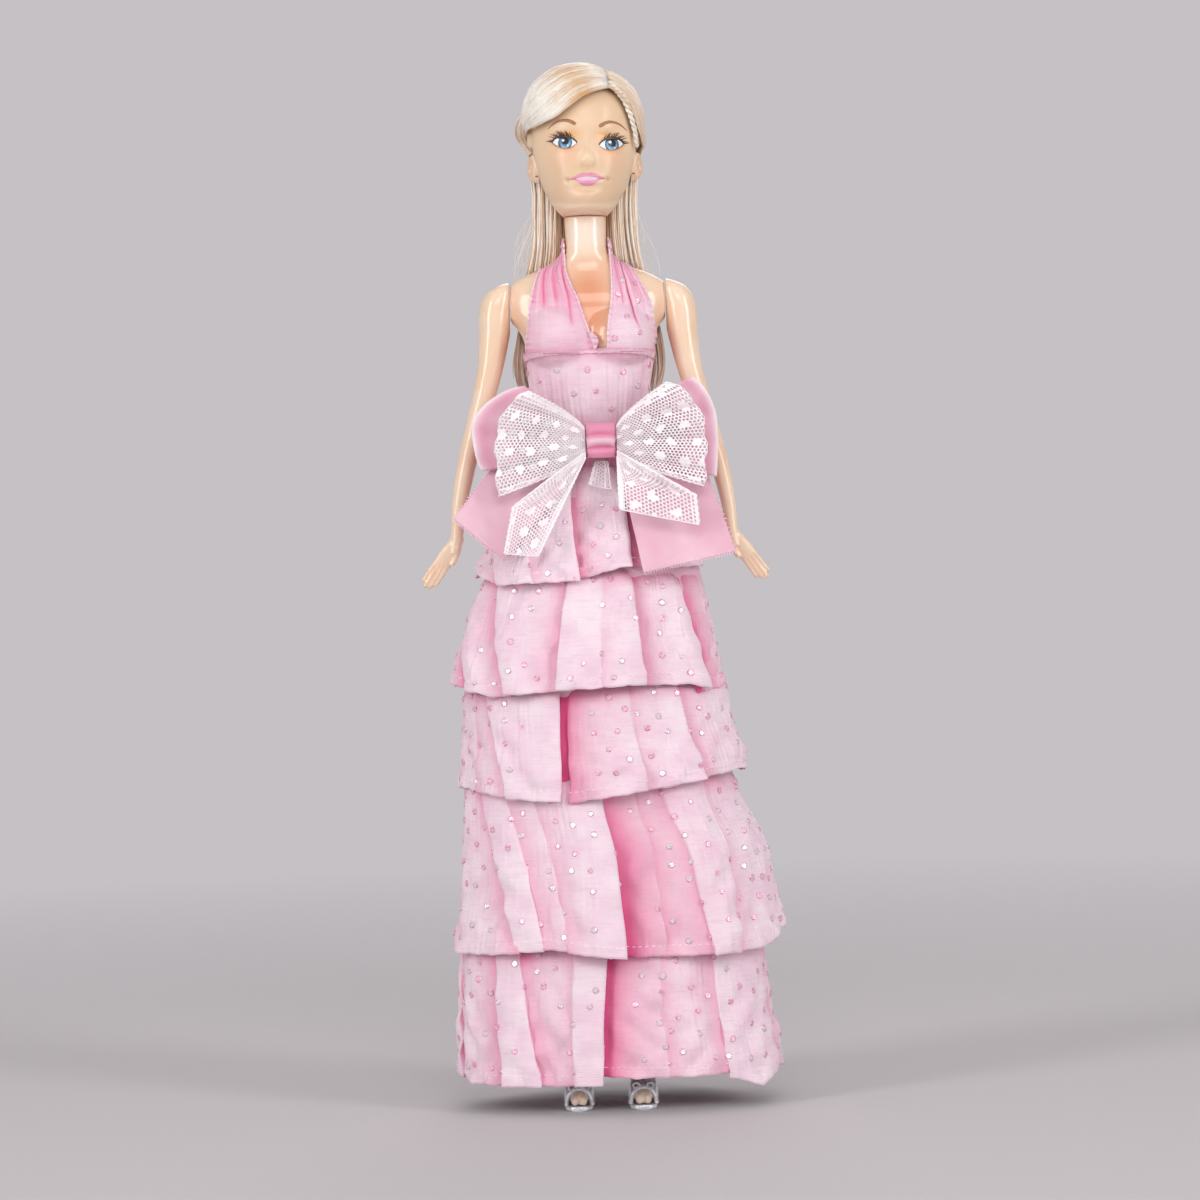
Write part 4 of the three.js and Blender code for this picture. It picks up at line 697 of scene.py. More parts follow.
class Flounce:
    """One tier as a surface of u, a turn round the skirt, and v, from its seam to its hem."""

    def __init__(self, k):
        self.tier, self.k = TIERS[k], k
        own = np.random.default_rng(40 + k)
        self.crinkle = [
            draw(own, (45, 165), (0, TAU), (0.4, 2.2), (0, TAU), (0.2, 1)) for _ in range(22)
        ]
        self.waves = [(int(own.integers(3, 13)), *draw(own, (0, TAU), (0.15, 0.5))) for _ in range(7)]
        self.crumples = [draw(own, (8, 34), (1.5, 5.5), (0, TAU), (0.1, 0.26)) for _ in range(12)]
        top, hem = edges_at(self.tier, self.tier["top"]), edges_at(self.tier, self.tier["base"])
        self.pleats = [
            (float(turn_of(a, *top)), float(turn_of(b, *hem)), depth, sign, power)
            for a, b, depth, sign, power in self.tier["pleats"]
        ]
        self.pleats += [
            (a + 0.013 * k, b + 0.013 * k, depth, sign, 0.6) for a, b, depth, sign in BACK_PLEATS
        ]

    def pleated(self, u, v):
        """How the pleats shift a point along and out, and how deep it lies in one, which sets its painted
        shade.
        """
        shift, out, deep = np.zeros_like(u), np.zeros_like(u), np.zeros_like(u)
        for top, hem, depth, sign, power in self.pleats:
            away = apart(u, top + (hem - top) * v)
            s = sign * away / PLEAT_WINDOW
            opened = 0.12 + 0.88 * np.clip(v, 0, 1) ** power
            grow = opened * np.clip(depth / 2.2, 0.4, 1.35)
            fade = np.exp(-np.maximum(s - 1, 0) * PLEAT_WINDOW / PLEAT_FADE)
            step = smooth((s + 1) / 2)
            out -= depth * opened * step * fade
            shift -= sign * PLEAT_LAP * grow * np.sin(np.pi * np.clip(s, -1, 1))
            # Painted shade in the pleat, strongest by its step and fading away from it.
            under = smooth((s + 0.15) / 0.5) * np.exp(-np.maximum(s - 0.5, 0) / (0.4 + 0.42 * depth))
            deep += (
                np.clip(depth / 3.2, 0, 1.1) * under * (0.35 + 0.65 * np.clip(v, 0, 1) ** (power * 0.5))
            )
        return shift, out, deep

    def __call__(self, u, v):
        u, v = np.broadcast_arrays(np.asarray(u, float), np.asarray(v, float))
        t = self.tier
        shift, out, _ = self.pleated(u, v)
        z_plain = t["top"] + (t["base"] - t["top"]) * v
        e = edges_at(t, z_plain)
        left, right = e[..., 0], e[..., 1]
        across = (left + right) / 2 + (right - left) / 2 * np.cos(TAU * u + TAU / 4)
        hem = np.array(t["hem"])
        front = np.interp(across, hem[:, 0], hem[:, 1])
        ends = hem[0, 1] + (hem[-1, 1] - hem[0, 1]) * (across - hem[0, 0]) / (hem[-1, 0] - hem[0, 0])
        back = ends - 1.2 * np.sin(TAU * u * 5 + self.k)
        facing = smooth(0.5 - 3 * np.sin(TAU * u + TAU / 4))
        bottom = front * facing + back * (1 - facing)
        bottom = bottom + 0.12 * np.sin(TAU * u * 37 + self.k) + 0.05 * np.sin(TAU * u * 83)
        z = t["top"] + (bottom - t["top"]) * v
        opened = np.clip(v, 0, 1) ** 0.7
        for f, phase, amount in self.waves:
            out = out + amount * opened * np.sin(TAU * u * f + phase)
        for f, phase, wander, turn, amount in self.crinkle:
            wavering = u + 0.0012 * np.sin(TAU * wander * v + turn)
            out = out + 0.018 * amount * np.sin(TAU * f * wavering + phase)
        for f, g, phase, amount in self.crumples:
            crossed = np.sin(TAU * f * u + phase) * np.sin(TAU * g * v + 2 * phase + 3 * u)
            out = out + amount * opened * crossed
        depth = (t["top"] - bottom) * (1 - v)
        out = out + 0.22 * smooth((HEM_DEPTH + 0.3 - depth) / 0.4)
        out = out + 0.1 * hump(depth - HEM_DEPTH, 0.9) * np.sin(TAU * u * 118)
        if self.k:
            out = out - TUCK * smooth((COVERED[self.k] + 0.02 - v) / 0.09)
        stand = STAND_TOP + (STAND_HEM - STAND_TOP) * np.clip(v, 0, 1)
        return skirt_point(u + shift, left, right, z, out, stand)

    def shade(self, u, v):
        """Painted shade: how deep a pink is painted in the pleats and under the tier above."""
        deep = self.pleated(u, v)[2]
        covered = COVERED[self.k]
        # Painted shade under the tier above, uneven round the skirt.
        under = 0.5 * hump((v - covered) / 0.05, 1) * (v > covered) + 0.5 * (v <= covered)
        uneven = 0.65 + 0.35 * np.sin(TAU * u * 9 + self.k * 1.7) * np.sin(TAU * u * 4 + 1)
        return np.clip(deep * 1.15 + under * uneven * 0.8, 0, 1)


# How a tier's turns and heights count towards how far apart its dots are, in millimetres
TURN_SPAN, DROP_SPAN, LOW_DROP = 205, 34, 1.3


def tier_dots(surface, k, count, low, high):
    """Dots scattered over a tier, kept apart from each other."""
    own = np.random.default_rng(90 + k)
    drop = DROP_SPAN * (LOW_DROP if k > 2 else 1)
    chosen = []
    for _ in range(count * 30):
        u, v = own.uniform(0, 1), own.uniform(low, high)
        if all((apart(u, a) * TURN_SPAN) ** 2 + ((v - b) * drop) ** 2 > 15 for a, b in chosen):
            chosen.append((u, v))
        if len(chosen) == count:
            break
    u, v = np.array(chosen).T
    inside = surface.pleated(u, v)[2] < 0.35
    u, v = u[inside], v[inside]
    # About two dots in five get a painted glint.
    return foil_dots(surface, u, v, own.uniform(0.78, 1.0, len(u)), own.uniform(0, 1, len(u)) < 0.42)


DOT_MATERIALS = [foil_painted_glint, foil_ring, foil_pink, foil_rose]
# Bends: from a body, to a body, and where the bend starts and ends
BENDS = {
    "bend": ("torso", "skirt", (0, 0, 0.169), (0, 0, 0.134)),
    "fall": ("torso", "head", (0, 0, 0.222), (0, 0, 0.262)),
}
# Each tier's dots: how many, and how far down its surface they start
DOT_COUNTS = (84, 128, 130, 215, 190)
DOTS_FROM = (0.3, 0.2, 0.22, 0.13, 0.2)
DOTS_TO = 0.93


def dress(obj, body, slot, *replaced):
    """Puts a piece on a body, or bakes its transform where the body is a bend, and hides the solids it
    replaces. The slot is not used.
    """
    if body in BENDS:
        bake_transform(obj)
    else:
        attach(obj, body)
    if replaced:
        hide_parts(*replaced)
    return obj


def add_flounce(k):
    surface = Flounce(k)
    name, body = f"tier_{k + 1}", "bend" if k < 2 else "skirt"
    us, vs = evenly(1101)[:-1], evenly(64 if k > 2 else 50)
    points, faces, uv = surface_mesh(surface, us, vs, True)
    sheet = mesh_object(name, points, faces, gown, uv, surface.shade(*np.meshgrid(us, vs)), thick=CLOTH)
    line = evenly(1400)
    v = np.full_like(line, 1 - HEM_DEPTH / (TIERS[k]["top"] - TIERS[k]["base"]))
    n, _ = normals_of(surface, line, v)
    sewn = stitches(surface(line, v) + n * (CLOTH / 2 + 0.04), n, 1.9)
    hem_stitches = mesh_object(name + "_stitches", *sewn[:2], thread_pale)
    points, faces, kinds = tier_dots(surface, k, DOT_COUNTS[k], DOTS_FROM[k], DOTS_TO)
    dots = mesh_object(name + "_dots", points, faces, DOT_MATERIALS, kinds=kinds)
    for piece in (sheet, hem_stitches, dots):
        dress(piece, body, "gown")
    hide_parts(f"flounce_{k + 1}")
    return sheet, [hem_stitches, dots]


UNDERSKIRT_TOP, UNDERSKIRT_DROP = 183.0, 171.0


def add_underskirt():
    def surface(u, v):
        z = UNDERSKIRT_TOP - v * UNDERSKIRT_DROP
        half = curve_at(UNDERSKIRT[:, 0], UNDERSKIRT[:, 1], z)
        ripple = 0.35 * np.sin(TAU * u * 14) * v
        return skirt_point(u, -half, half, z, ripple, 0)

    us, vs = evenly(241)[:-1], evenly(90)
    points, faces, uv = surface_mesh(surface, us, vs, True)
    shade = np.full(len(us) * len(vs), 0.25)
    obj = mesh_object("underskirt_cloth", points, faces, gown, uv, shade, thick=CLOTH)
    return dress(obj, "bend", "gown", "underskirt")


LEAST = 0.0101  # the least side of a sheet, in metres


def declare(obj, long=None, share=1.0):
    """Works out the size a sheet of cloth was cut to, its own surface laid flat, but does nothing with it.
    """
    corners = np.array([list(c) for c in obj.bound_box])
    area = sum(p.area for p in obj.data.polygons) * share
    length = max(LEAST, long or float(np.ptp(corners, axis=0).max()))
    length = min(length, max(LEAST, area / LEAST))


underskirt = add_underskirt()
declare(underskirt)
for tier_index in range(5):
    tier_sheet, tier_trim = add_flounce(tier_index)
    declare(tier_sheet)

# The bodice: a waist panel, a band under the bust, two halter cups, a strap behind the neck
# and the two closure strips at the back

LAYER = 0.55
BODICE_CLOTH = 0.4
PANEL_TOP, PANEL_DROP = 214.3, 33.2
BAND_TOP = 214.75
CUP_TOP, CUP_DROP = 246.6, 33.0
RUFFLE_FOOT, RUFFLE_RISE = 214.5, 5.2
STRAP_TOP = 247.2
TAPE_TOP, TAPE_DROP = 213.6, 31.6
NAP_THREADS = 420


def front_turn(x, z, grow):
    """The turn at which the torso's front has a given x."""
    half = torso_half(z) + grow
    return 1 - np.arccos(np.clip(x / half, -1, 1)) / TAU


def waist_surface(u, v):
    """u is the turn from the back, v runs down."""
    z = PANEL_TOP - v * PANEL_DROP
    gathers = (
        0.09 * np.sin(TAU * 61 * u + 2 * np.sin(5 * v)) * (0.4 + v) + 0.1 * np.sin(TAU * 23 * u + 1)
    )
    folds = 0.16 * np.sin(TAU * 2.3 * v + TAU * 4 * u) * np.sin(TAU * 7 * u)
    at = torso_point((u + 0.25) % 1, z, LAYER + gathers + folds)
    pleat = sum(hump(at[..., 0] - x, 0.34) for x in (0.4, 4.6)) * (at[..., 1] < 0)
    return at - np.stack([0 * pleat, 0.26 * pleat, 0 * pleat], -1)


def band_surface(u, v):
    out = np.abs((u % 1) - 0.5) / 0.31
    top = BAND_TOP - 0.5 * out**2
    z = top - v * (1.35 + 2.2 * np.clip(out, 0, 1) ** 2)
    at = torso_point((u + 0.25) % 1, z, LAYER + 0.36 + 0.12 * hump(v, 0.2) + 0.1 * hump(v - 1, 0.16))
    return at + np.stack([0 * z, 0.04 * np.sin(TAU * 66 * u), 0.07 * np.sin(TAU * 45 * u)], -1)


# The cups' edges: height, the inner edge's x and the outer one's
CUPS = {
    "left": [
        [213.6, 5.4, 19.2], [219, 5.5, 19.3], [223, 5.9, 18.6], [227, 6.6, 18.2], [232.7, 7.0, 15.7],
        [238.7, 6.9, 12.4], [240.8, 6.8, 11.2], [242.6, 6.7, 9.0], [246.6, 6.35, 6.85],
    ],
    "right": [
        [213.6, 1.7, -18.0], [217, 1.1, -17.8], [221, -0.3, -17.1], [225, -1.6, -16.8],
        [229.3, -2.9, -16.0], [234, -4.9, -15.0], [238, -6.1, -13.2], [240.9, -6.2, -10.2],
        [242.6, -6.3, -7.8], [246.7, -6.3, -6.8],
    ],
}


# Deep folds of the cups: where by v, where by u, width, depth and how much painted shade lies in each
CUP_FOLDS = {
    "left": [
        ([0.15, 0.3, 0.49, 0.65, 0.8], [0.58, 0.5, 0.46, 0.53, 0.66], 0.035, 0.9, 1.0),
        ([0.1, 0.35, 0.6], [0.25, 0.24, 0.3], 0.05, 0.4, 0.45),
        ([0.16, 0.4, 0.55], [0.8, 0.72, 0.74], 0.05, 0.35, 0.4),
    ],
    "right": [
        ([0.22, 0.45, 0.78], [0.09, 0.17, 0.25], 0.035, 0.55, 0.6),
        ([0.24, 0.4, 0.62], [0.76, 0.73, 0.71], 0.05, 0.5, 0.6),
        ([0.24, 0.4, 0.58], [0.4, 0.42, 0.45], 0.06, 0.4, 0.45),
    ],
}


# Painted shade over each cup as a whole, more on the doll's right one.
CUP_PAINTED_SHADE = {"left": 0.09, "right": 0.2}


def fold_depth(name, u, v):
    # How far each fold sinks in, and how much painted shade lies in it.
    deep, pink = 0 * u, 0 * u
    for vs, us, wide, depth, amount in CUP_FOLDS[name]:
        near = (
            hump(u - np.interp(v, vs, us), wide)
            * smooth((v - vs[0] + 0.04) / 0.08)
            * smooth((vs[-1] - v + 0.03) / 0.12)
        )
        deep, pink = deep + depth * near, pink + amount * near
    return deep, pink


def cup_surface(name):
    rows = np.array(CUPS[name])
    phase = 0.4 if name == "left" else 1.7

    def surface(u, v):
        """u runs from the inner edge out, v from the strap down."""
        u, v = np.broadcast_arrays(np.asarray(u, float), np.asarray(v, float))
        z = CUP_TOP - v * CUP_DROP
        edges = row_at(rows, z)
        x = edges[..., 0] + (edges[..., 1] - edges[..., 0]) * u
        spread = np.clip(v * 1.15 - 0.12, 0, 1)
        ridges = (
            0.17 * np.sin(TAU * (6.2 * u + 0.6 * np.sin(3 * v)) + phase)
            + 0.1 * np.sin(TAU * 11.3 * u + 4 * v)
        )
        low = smooth((v - 0.5) / 0.25)
        deep, _ = fold_depth(name, u, v)
        puff = (
            0.6 * np.sin(math.pi * np.clip(u, 0, 1)) * spread * (1 - 0.4 * hump(v - 1, 0.24))
            - 0.75 * deep
        )
        frill = (hump(u, 0.09) + hump(u - 1, 0.09)) * 0.16 * np.sin(TAU * 19 * v + phase)
        grow = (
            LAYER
            + 0.12
            + np.maximum(puff, -0.45)
            + ridges * (0.75 - 0.6 * low + 0.5 * hump(v - 0.2, 0.2))
            + frill
        )
        return torso_point(front_turn(x, z, grow), z, grow)

    return surface


def bodice_piece(name, surface, us, vs, shade, *replaced, thick=BODICE_CLOTH, m=gown):
    points, faces, uv = surface_mesh(surface, us, vs, False)
    obj = mesh_object(name, points, faces, m, uv, shade, thick=thick)
    return dress(obj, "torso", "gown", *replaced)


def edge_path(surface, u, v):
    n, _ = normals_of(surface, u, v)
    return surface(u, v), n


def dots_on(name, surface, us, vs, seed):
    own = np.random.default_rng(seed)
    # About a third of the dots get a painted glint.
    radii, painted_glints = own.uniform(0.82, 1.0, len(us)), own.uniform(0, 1, len(us)) < 0.35
    points, faces, kinds = foil_dots(surface, us, vs, radii, painted_glints)
    return dress(mesh_object(name, points, faces, DOT_MATERIALS, kinds=kinds), "torso", "gown")


def thread_piece(name, parts, m, body="torso", slot="gown"):
    return dress(mesh_object(name, *joined(parts)[:2], m), body, slot)


def scatter(seed, count, gap, low=(0.05, 0.05), high=(0.95, 0.95), scale=(40, 30)):
    own = np.random.default_rng(seed)
    chosen = []
    for _ in range(count * 40):
        p = own.uniform(low, high)
        if all(np.hypot((p[0] - q[0]) * scale[0], (p[1] - q[1]) * scale[1]) > gap for q in chosen):
            chosen.append(p)
        if len(chosen) == count:
            break
    return np.array(chosen).T


us, vs = np.linspace(0.002, 0.998, 300), evenly(60)
u, v = np.meshgrid(us, vs)
# Painted shade: deeper pink over the panel's lower half, by the bow and the skirt's top, and just under the
# bust band.
waist_shade = (
    0.55 * smooth((v - 0.45) / 0.4) * (0.7 + 0.3 * np.sin(TAU * 9 * u)) + 0.3 * hump(v, 0.08) + 0.05
)
waist_panel = bodice_piece("waist_panel", waist_surface, us, vs, waist_shade, "bodice_waist_panel")
du, dv = scatter(5, 52, 5.6, (0.02, 0.12), (0.98, 0.9), (100, 30))
waist_dots = dots_on("waist_dots", waist_surface, du, dv, 6)
declare(waist_panel)

us, vs = np.linspace(0.19, 0.81, 260), evenly(12)
u, v = np.meshgrid(us, vs)
band_shade = 0.12 + 0.4 * hump(v, 0.22) + 0.34 * hump(v - 1, 0.2)
band = bodice_piece("bust_band", band_surface, us, vs, band_shade, "underbust_band")
line = np.linspace(0.2, 0.8, 400)
sewn = [stitches(*edge_path(band_surface, line, np.full_like(line, at)), 1.5) for at in (0.12, 0.88)]
band_threads = thread_piece("bust_band_stitches", sewn, thread_pale)
declare(band)


def ruffle_surface(u, v):
    """A small ruffle at the inner edge of the doll's right cup."""
    z = RUFFLE_FOOT + RUFFLE_RISE * u
    x = 1.5 - 1.4 * u + (0.3 + 1.6 * np.sin(math.pi * np.clip(u, 0, 1))) * v
    at = torso_point(front_turn(x, z, 1.1), z, 1.1)
    curl = 0.5 * v * np.sin(TAU * 3 * u + 1)
    return at - np.stack([0 * u, 0.2 + curl + 0.3 * v, 0 * u], -1)


ruffle = bodice_piece(
    "bust_ruffle", ruffle_surface, evenly(40), evenly(8), np.full(320, 0.12), thick=0.3
)

for cup_name in ("left", "right"):
    surface = cup_surface(cup_name)
    us, vs = evenly(110), evenly(120)
    u, v = np.meshgrid(us, vs)
    # Painted shade: each cup's own amount, deeper pink over the upper part, following its folds, and in the
    # deep folds. The pink also deepens along the cup's edges.
    ridge = 0.5 + 0.5 * np.sin(TAU * 6.2 * u + 2)
    shade = (
        CUP_PAINTED_SHADE[cup_name]
        + 0.3 * smooth((0.68 - v) / 0.2) * (0.55 + 0.45 * ridge)
        + 0.2 * hump(u, 0.06)
        + 0.14 * hump(u - 1, 0.06)
    )
    shade = np.clip(shade + 0.75 * fold_depth(cup_name, u, v)[1] + 0.2 * hump(v - 1, 0.05), 0, 0.95)
    cup = bodice_piece("halter_cup_" + cup_name, surface, us, vs, shade, "bodice_cup_" + cup_name)
    du, dv = scatter(11 + len(cup_name), 9, 4.6, (0.12, 0.35), (0.88, 0.95), (15, 30))
    cup_dots = dots_on(f"cup_{cup_name}_dots", surface, du, dv, 3)
    line = np.linspace(0.02, 0.97, 300)
    sewn = [
        stitches(*edge_path(surface, np.full_like(line, at), line), 1.35, (0.85, 0.22, 0.15))
        for at in (0.08, 0.92)
    ]
    hem_rolls = []
    for at in (0.0, 1.0):
        path, n = edge_path(surface, np.full_like(line, at), line)
        hem_rolls.append(tube(path, 0.3 + 0.05 * np.sin(line * 150), 7))
    cup_threads = thread_piece(f"cup_{cup_name}_stitches", sewn, thread)
    cup_edges = thread_piece(f"cup_{cup_name}_edges", hem_rolls, gown)
    declare(cup)


def strap_surface(u, v):
    """The strap behind the neck. u runs from one cup's top round the back to the other's."""
    a = math.pi * (1.06 - 1.12 * u)
    z = STRAP_TOP - v * (2.6 + 1.4 * np.sin(math.pi * np.clip(u, 0, 1)))
    return torso_point((a / TAU) % 1, z, 0.5 + 0.08 * np.sin(TAU * 20 * u))


strap = bodice_piece(
    "halter_strap", strap_surface, evenly(90), evenly(9), np.full(810, 0.1), "neck_strap"
)
declare(strap)

hook_tape = plain_fabric(
    "hook_tape", rgb(246, 230, 238), rgb(236, 208, 222), 0.95, 2600, 0.8, Sheen_Weight=0.4
)
for side_name, low, high in (("left", 0.35, 3.5), ("right", -3.5, -0.35)):

    def tape_surface(u, v, low=low, high=high):
        x = low + (high - low) * u
        z = TAPE_TOP - v * TAPE_DROP
        return torso_point(np.arccos(np.clip(x / (torso_half(z) + 1.2), -1, 1)) / TAU, z, 1.15)

    tape = bodice_piece(
        "closure_tape_" + side_name,
        tape_surface,
        evenly(14),
        evenly(60),
        np.zeros(840),
        "closure_strip_" + side_name,
        thick=0.55,
        m=hook_tape,
    )
    own = np.random.default_rng(31)
    nap_points = []
    for _ in range(NAP_THREADS):
        a, b = own.uniform(0.08, 0.92), own.uniform(0.02, 0.98)
        base = tape_surface(np.array(a), np.array(b)) + [0, 0.25, 0]
        tip = base + own.normal(0, 0.12, 3) + [0, 0.34, 0]
        middle = (base + tip) / 2 + [0.05, 0.02, 0]
        nap_points.append(tube(np.array([base, middle, tip]), 0.05, 4, (1, 0, 0)))
    nap = thread_piece("closure_nap_" + side_name, nap_points, hook_tape, "torso", "tape")
    declare(tape)

# The bow

BOW_X, BOW_Z, BOW_BACK = 2.6, 188.2, -10.45
KNOT_WIDTH, KNOT_DEPTH, KNOT_HEIGHT = 8.2, 8.8, 9.6
ROOT = KNOT_WIDTH / 2 + 0.35
# Loops: side, upper corner, the edge's reach, lower corner, depth near and far, and swell.
# A corner is x from the bow's middle and z from its height.
LOOPS = {
    "satin_loop_left": (1, (25.6, 17.4), 32.8, (32, -10.7), 3.4, 6.4, 2.2),
    "satin_loop_right": (-1, (21.1, 16.2), 36.1, (33.4, -7.2), 3.4, 6.2, 2.1),
    "lace_loop_left": (1, (19.6, 15.6), 29.5, (28.5, -13.2), 6.2, 11.4, 1.9),
    "lace_loop_right": (-1, (20.5, 14.2), 29.5, (29.4, -14.4), 6.2, 11.2, 1.9),
}
# Tails: side, outer corner at the top, the lowest outer corner, the lowest inner one, depth
# near and far, how far away the far depth is reached, how much the outer edge lies back, and
# the power of that way
TAILS = {
    "satin_tail_left": (1, (30, -10.3), (36.9, -32.1), (10.8, -37.3), 1.4, 11.2, 34, 0.95, 1),
    "satin_tail_right": (-1, (31.7, -7.1), (41.9, -20.6), (28.1, -32.8), 1.4, 9, 34, 0.95, 1),
    "lace_tail_left": (1, (25.9, -16), (26.6, -24.3), (4.8, -19.4), 7.3, 13.8, 14, 0, 0.6),
    "lace_tail_right": (-1, (25, -17.8), (27.8, -30.8), (18.5, -31.8), 7.3, 13.8, 14, 0, 0.6),
}
SATIN = 0.34
LACE = 0.2
CORD_FLAT = 0.8
CORDED_SHARE = 1.25  # a lace sheet's area for each part of it that is net


def loop_surface(name, crease, phase):
    side, upper, edge, lower, near, far, swell = LOOPS[name]

    def surface(u, v):
        u, v = np.broadcast_arrays(np.asarray(u, float), np.asarray(v, float))
        turn = math.pi * u
        out = signed_power(np.sin(turn), 0.8)
        tall = 0.24 + 0.76 * signed_power(out, 0.72)
        up = (upper[1] + (lower[1] - upper[1]) * v) * tall
        corner = np.where(v < 0.5, upper[0], lower[0])
        reach = corner + (edge - corner) * signed_power(np.sin(math.pi * v), 0.6)
        swollen = np.cos(turn) * swell * (0.12 + 0.88 * out)
        front = smooth((0.62 - u) / 0.24)
        fan = v * 3.1 + phase + 0.25 * np.sin(2.5 * v + phase)
        deep = signed_power(np.clip(np.sin(TAU * fan), -1, 1), 0.8)
        fade = np.sin(turn) * (1.15 - 0.75 * out) * 1.5
        if crease > 1:
            deep = 1.7 * (np.abs(np.sin(math.pi * fan)) ** 0.6 - 0.58)
        ripple = crease * deep * fade * (0.16 + 0.84 * front)
        curl = 0.5 * crease * np.sin(TAU * v * 1.5 + phase * 3) * out
        frill = 0.2 * crease * np.sin(TAU * v * 3.4 + phase * 5) + 0.05 * crease * np.sin(TAU * v * 9)
        reach = reach + frill * out * (crease > 1)
        return np.stack(
            [
                BOW_X + side * (ROOT + (reach - ROOT) * out),
                BOW_BACK - (near + (far - near) * out) - swollen - ripple - curl,
                BOW_Z + up,
            ],
            -1,
        )

    return surface


def on_the_way(a, b, c, share):
    return np.where(share < 0.5, a + (b - a) * share * 2, b + (c - b) * (share * 2 - 1))


def tail_surface(name, crease, phase):
    side, outer, corner, inner, near, far, away, back, curve = TAILS[name]
    root_z = -KNOT_HEIGHT * 0.3
    low_z = root_z - KNOT_HEIGHT * 0.16

    def surface(u, v):
        u, v = np.broadcast_arrays(np.asarray(u, float), np.asarray(v, float))
        lx, lz = ROOT + (inner[0] - ROOT) * v, low_z + (inner[1] - low_z) * v
        x = lx + (on_the_way(ROOT, outer[0], corner[0], v) - lx) * u
        z = lz + (on_the_way(root_z, outer[1], corner[1], v) - lz) * u
        reach = np.clip(np.hypot(x - ROOT, z - root_z) / away, 0, 1)
        fold = 0.4 * np.sin(2.6 * math.pi * u) * np.clip(v * 2, 0, 1)
        fold = (
            fold + crease * np.sin(TAU * (2.4 * u + phase)) * np.clip(v * 3, 0, 1) * (1.15 - v) ** 1.5
        )
        y = (
            BOW_BACK
            - (near + (far - near) * signed_power(reach, curve) * (1 - back * u * (1 - v * v)))
            - fold
        )
        return np.stack([BOW_X + side * x, y, BOW_Z + z], -1)

    return surface


def short_end_surface(u, v):
    u, v = np.broadcast_arrays(np.asarray(u, float), np.asarray(v, float))
    top = 1.6 * (1 - 2 * u)
    x = top + (2.2 - 5.8 * u - top) * v
    z = -5.4 + (-13.4 + 1.4 * u + 5.4) * v
    return np.stack([BOW_X + x, BOW_BACK - 3 - 3.4 * v - 0.5 * np.sin(TAU * u), BOW_Z + z], -1)


def satin_material(name, colour, light, deep):
    m = material(
        name,
        colour,
        0.36,
        Sheen_Weight=0.3,
        Sheen_Roughness=0.35,
        Coat_Weight=0.12,
        Coat_Roughness=0.3,
    )
    where = place(m, (1, 1, 1), uv=True)
    thread_lines = wave(m, where, 1.9, "X", 0.4)
    cloudy = ramp(m, noise(m, place(m), 95, 2), 0.34, 0.7)
    body = mix(m, cloudy, colour, light)
    body = mix(m, times(m, thread_lines, 0.2), body, light)
    # Painted light: a positive shade paints a deep pink as shade, a negative one a pale highlight.
    shade = point_shade(m)
    body = mix(m, times(m, shade, -1.0), body, rgb(255, 242, 247))
    feed(m, "Base Color", mix(m, shade, body, deep))
    grain = bump(m, thread_lines, 0.16, 0.00008)
    feed(m, "Normal", bump(m, wave(m, where, 2.3, "Y", 0.5), 0.14, 0.00008, grain))
    return m


# Its last colour is the deep pink of the painted shade.
satin = satin_material("satin_ribbon", rgb(232, 184, 200), rgb(241, 205, 217), rgb(222, 96, 148))
lace_white = plain_fabric(
    "lace_thread", rgb(255, 252, 253), rgb(252, 240, 245), 0.75, 1600, 0.3, Sheen_Weight=0.2
)
tick_thread = plain_fabric("cut_threads", rgb(253, 226, 236), rgb(246, 200, 218), 0.7)


def unrolled(surface, count=400):
    """The surface with its u measured along its length in millimetres, and that length."""
    u = evenly(count)
    path = surface(u, np.full_like(u, 0.5))
    run = np.concatenate([[0], np.cumsum(np.linalg.norm(np.diff(path, axis=0), axis=1))])
    return (lambda s: np.interp(s, run, u)), float(run[-1])


def hexagon_net(at, length, width, seed, pitch=1.08, hole=0.73, dot_every=6.3, dot_radius=1.3):
    """A net of hexagonal holes over at(s, t), with filled dots and filled edges."""
    own = np.random.default_rng(seed)
    rise = pitch * math.sqrt(3) / 2
    dots = [
        (
            i * dot_every + (j % 2) * dot_every / 2 + own.uniform(-0.5, 0.5),
            j * dot_every * 0.87 + own.uniform(-0.5, 0.5),
        )
        for i in range(int(length / dot_every) + 2)
        for j in range(int(width / dot_every) + 2)
    ]
    dots = np.array(dots)
    corner = pitch / math.sqrt(3)
    a = math.pi / 6 + circle(6)
    outer = corner * np.stack([np.cos(a), np.sin(a)], -1)
    index, flat, faces = {}, [], []

    def vertex(p):
        key = (round(p[0], 2), round(p[1], 2))
        if key not in index:
            index[key] = len(flat)
            flat.append(p)
        return index[key]

    for j in range(int(width / rise) + 1):
        for i in range(int(length / pitch) + 1):
            centre = np.array([i * pitch + (j % 2) * pitch / 2, j * rise])
            if centre[0] > length or centre[1] > width:
                continue
            ring = [vertex(centre + p) for p in outer]
            edge = min(centre[1], width - centre[1]) < 0.55
            if edge or np.min(np.hypot(*(dots - centre).T)) < dot_radius:
                faces.append(ring)
                continue
            start = len(flat)
            flat.extend(centre + p * hole * own.uniform(0.88, 1.06) for p in outer)
            faces += [[ring[k], ring[(k + 1) % 6], start + (k + 1) % 6, start + k] for k in range(6)]
    flat = np.array(flat)
    s, t = np.clip(flat[:, 0], 0, length), np.clip(flat[:, 1], 0, width)
    return at(s, t), faces


def cord_along(at, s, t, radius=0.27, scallop=None, inward=1):
    """A thread cord along an edge, swung out in small scallops."""
    if scallop is not None:
        t = t - inward * 0.32 * np.abs(np.sin(math.pi * s / scallop))
    return tube(at(s, t), radius, 6, (0, 1, 0.01), CORD_FLAT)


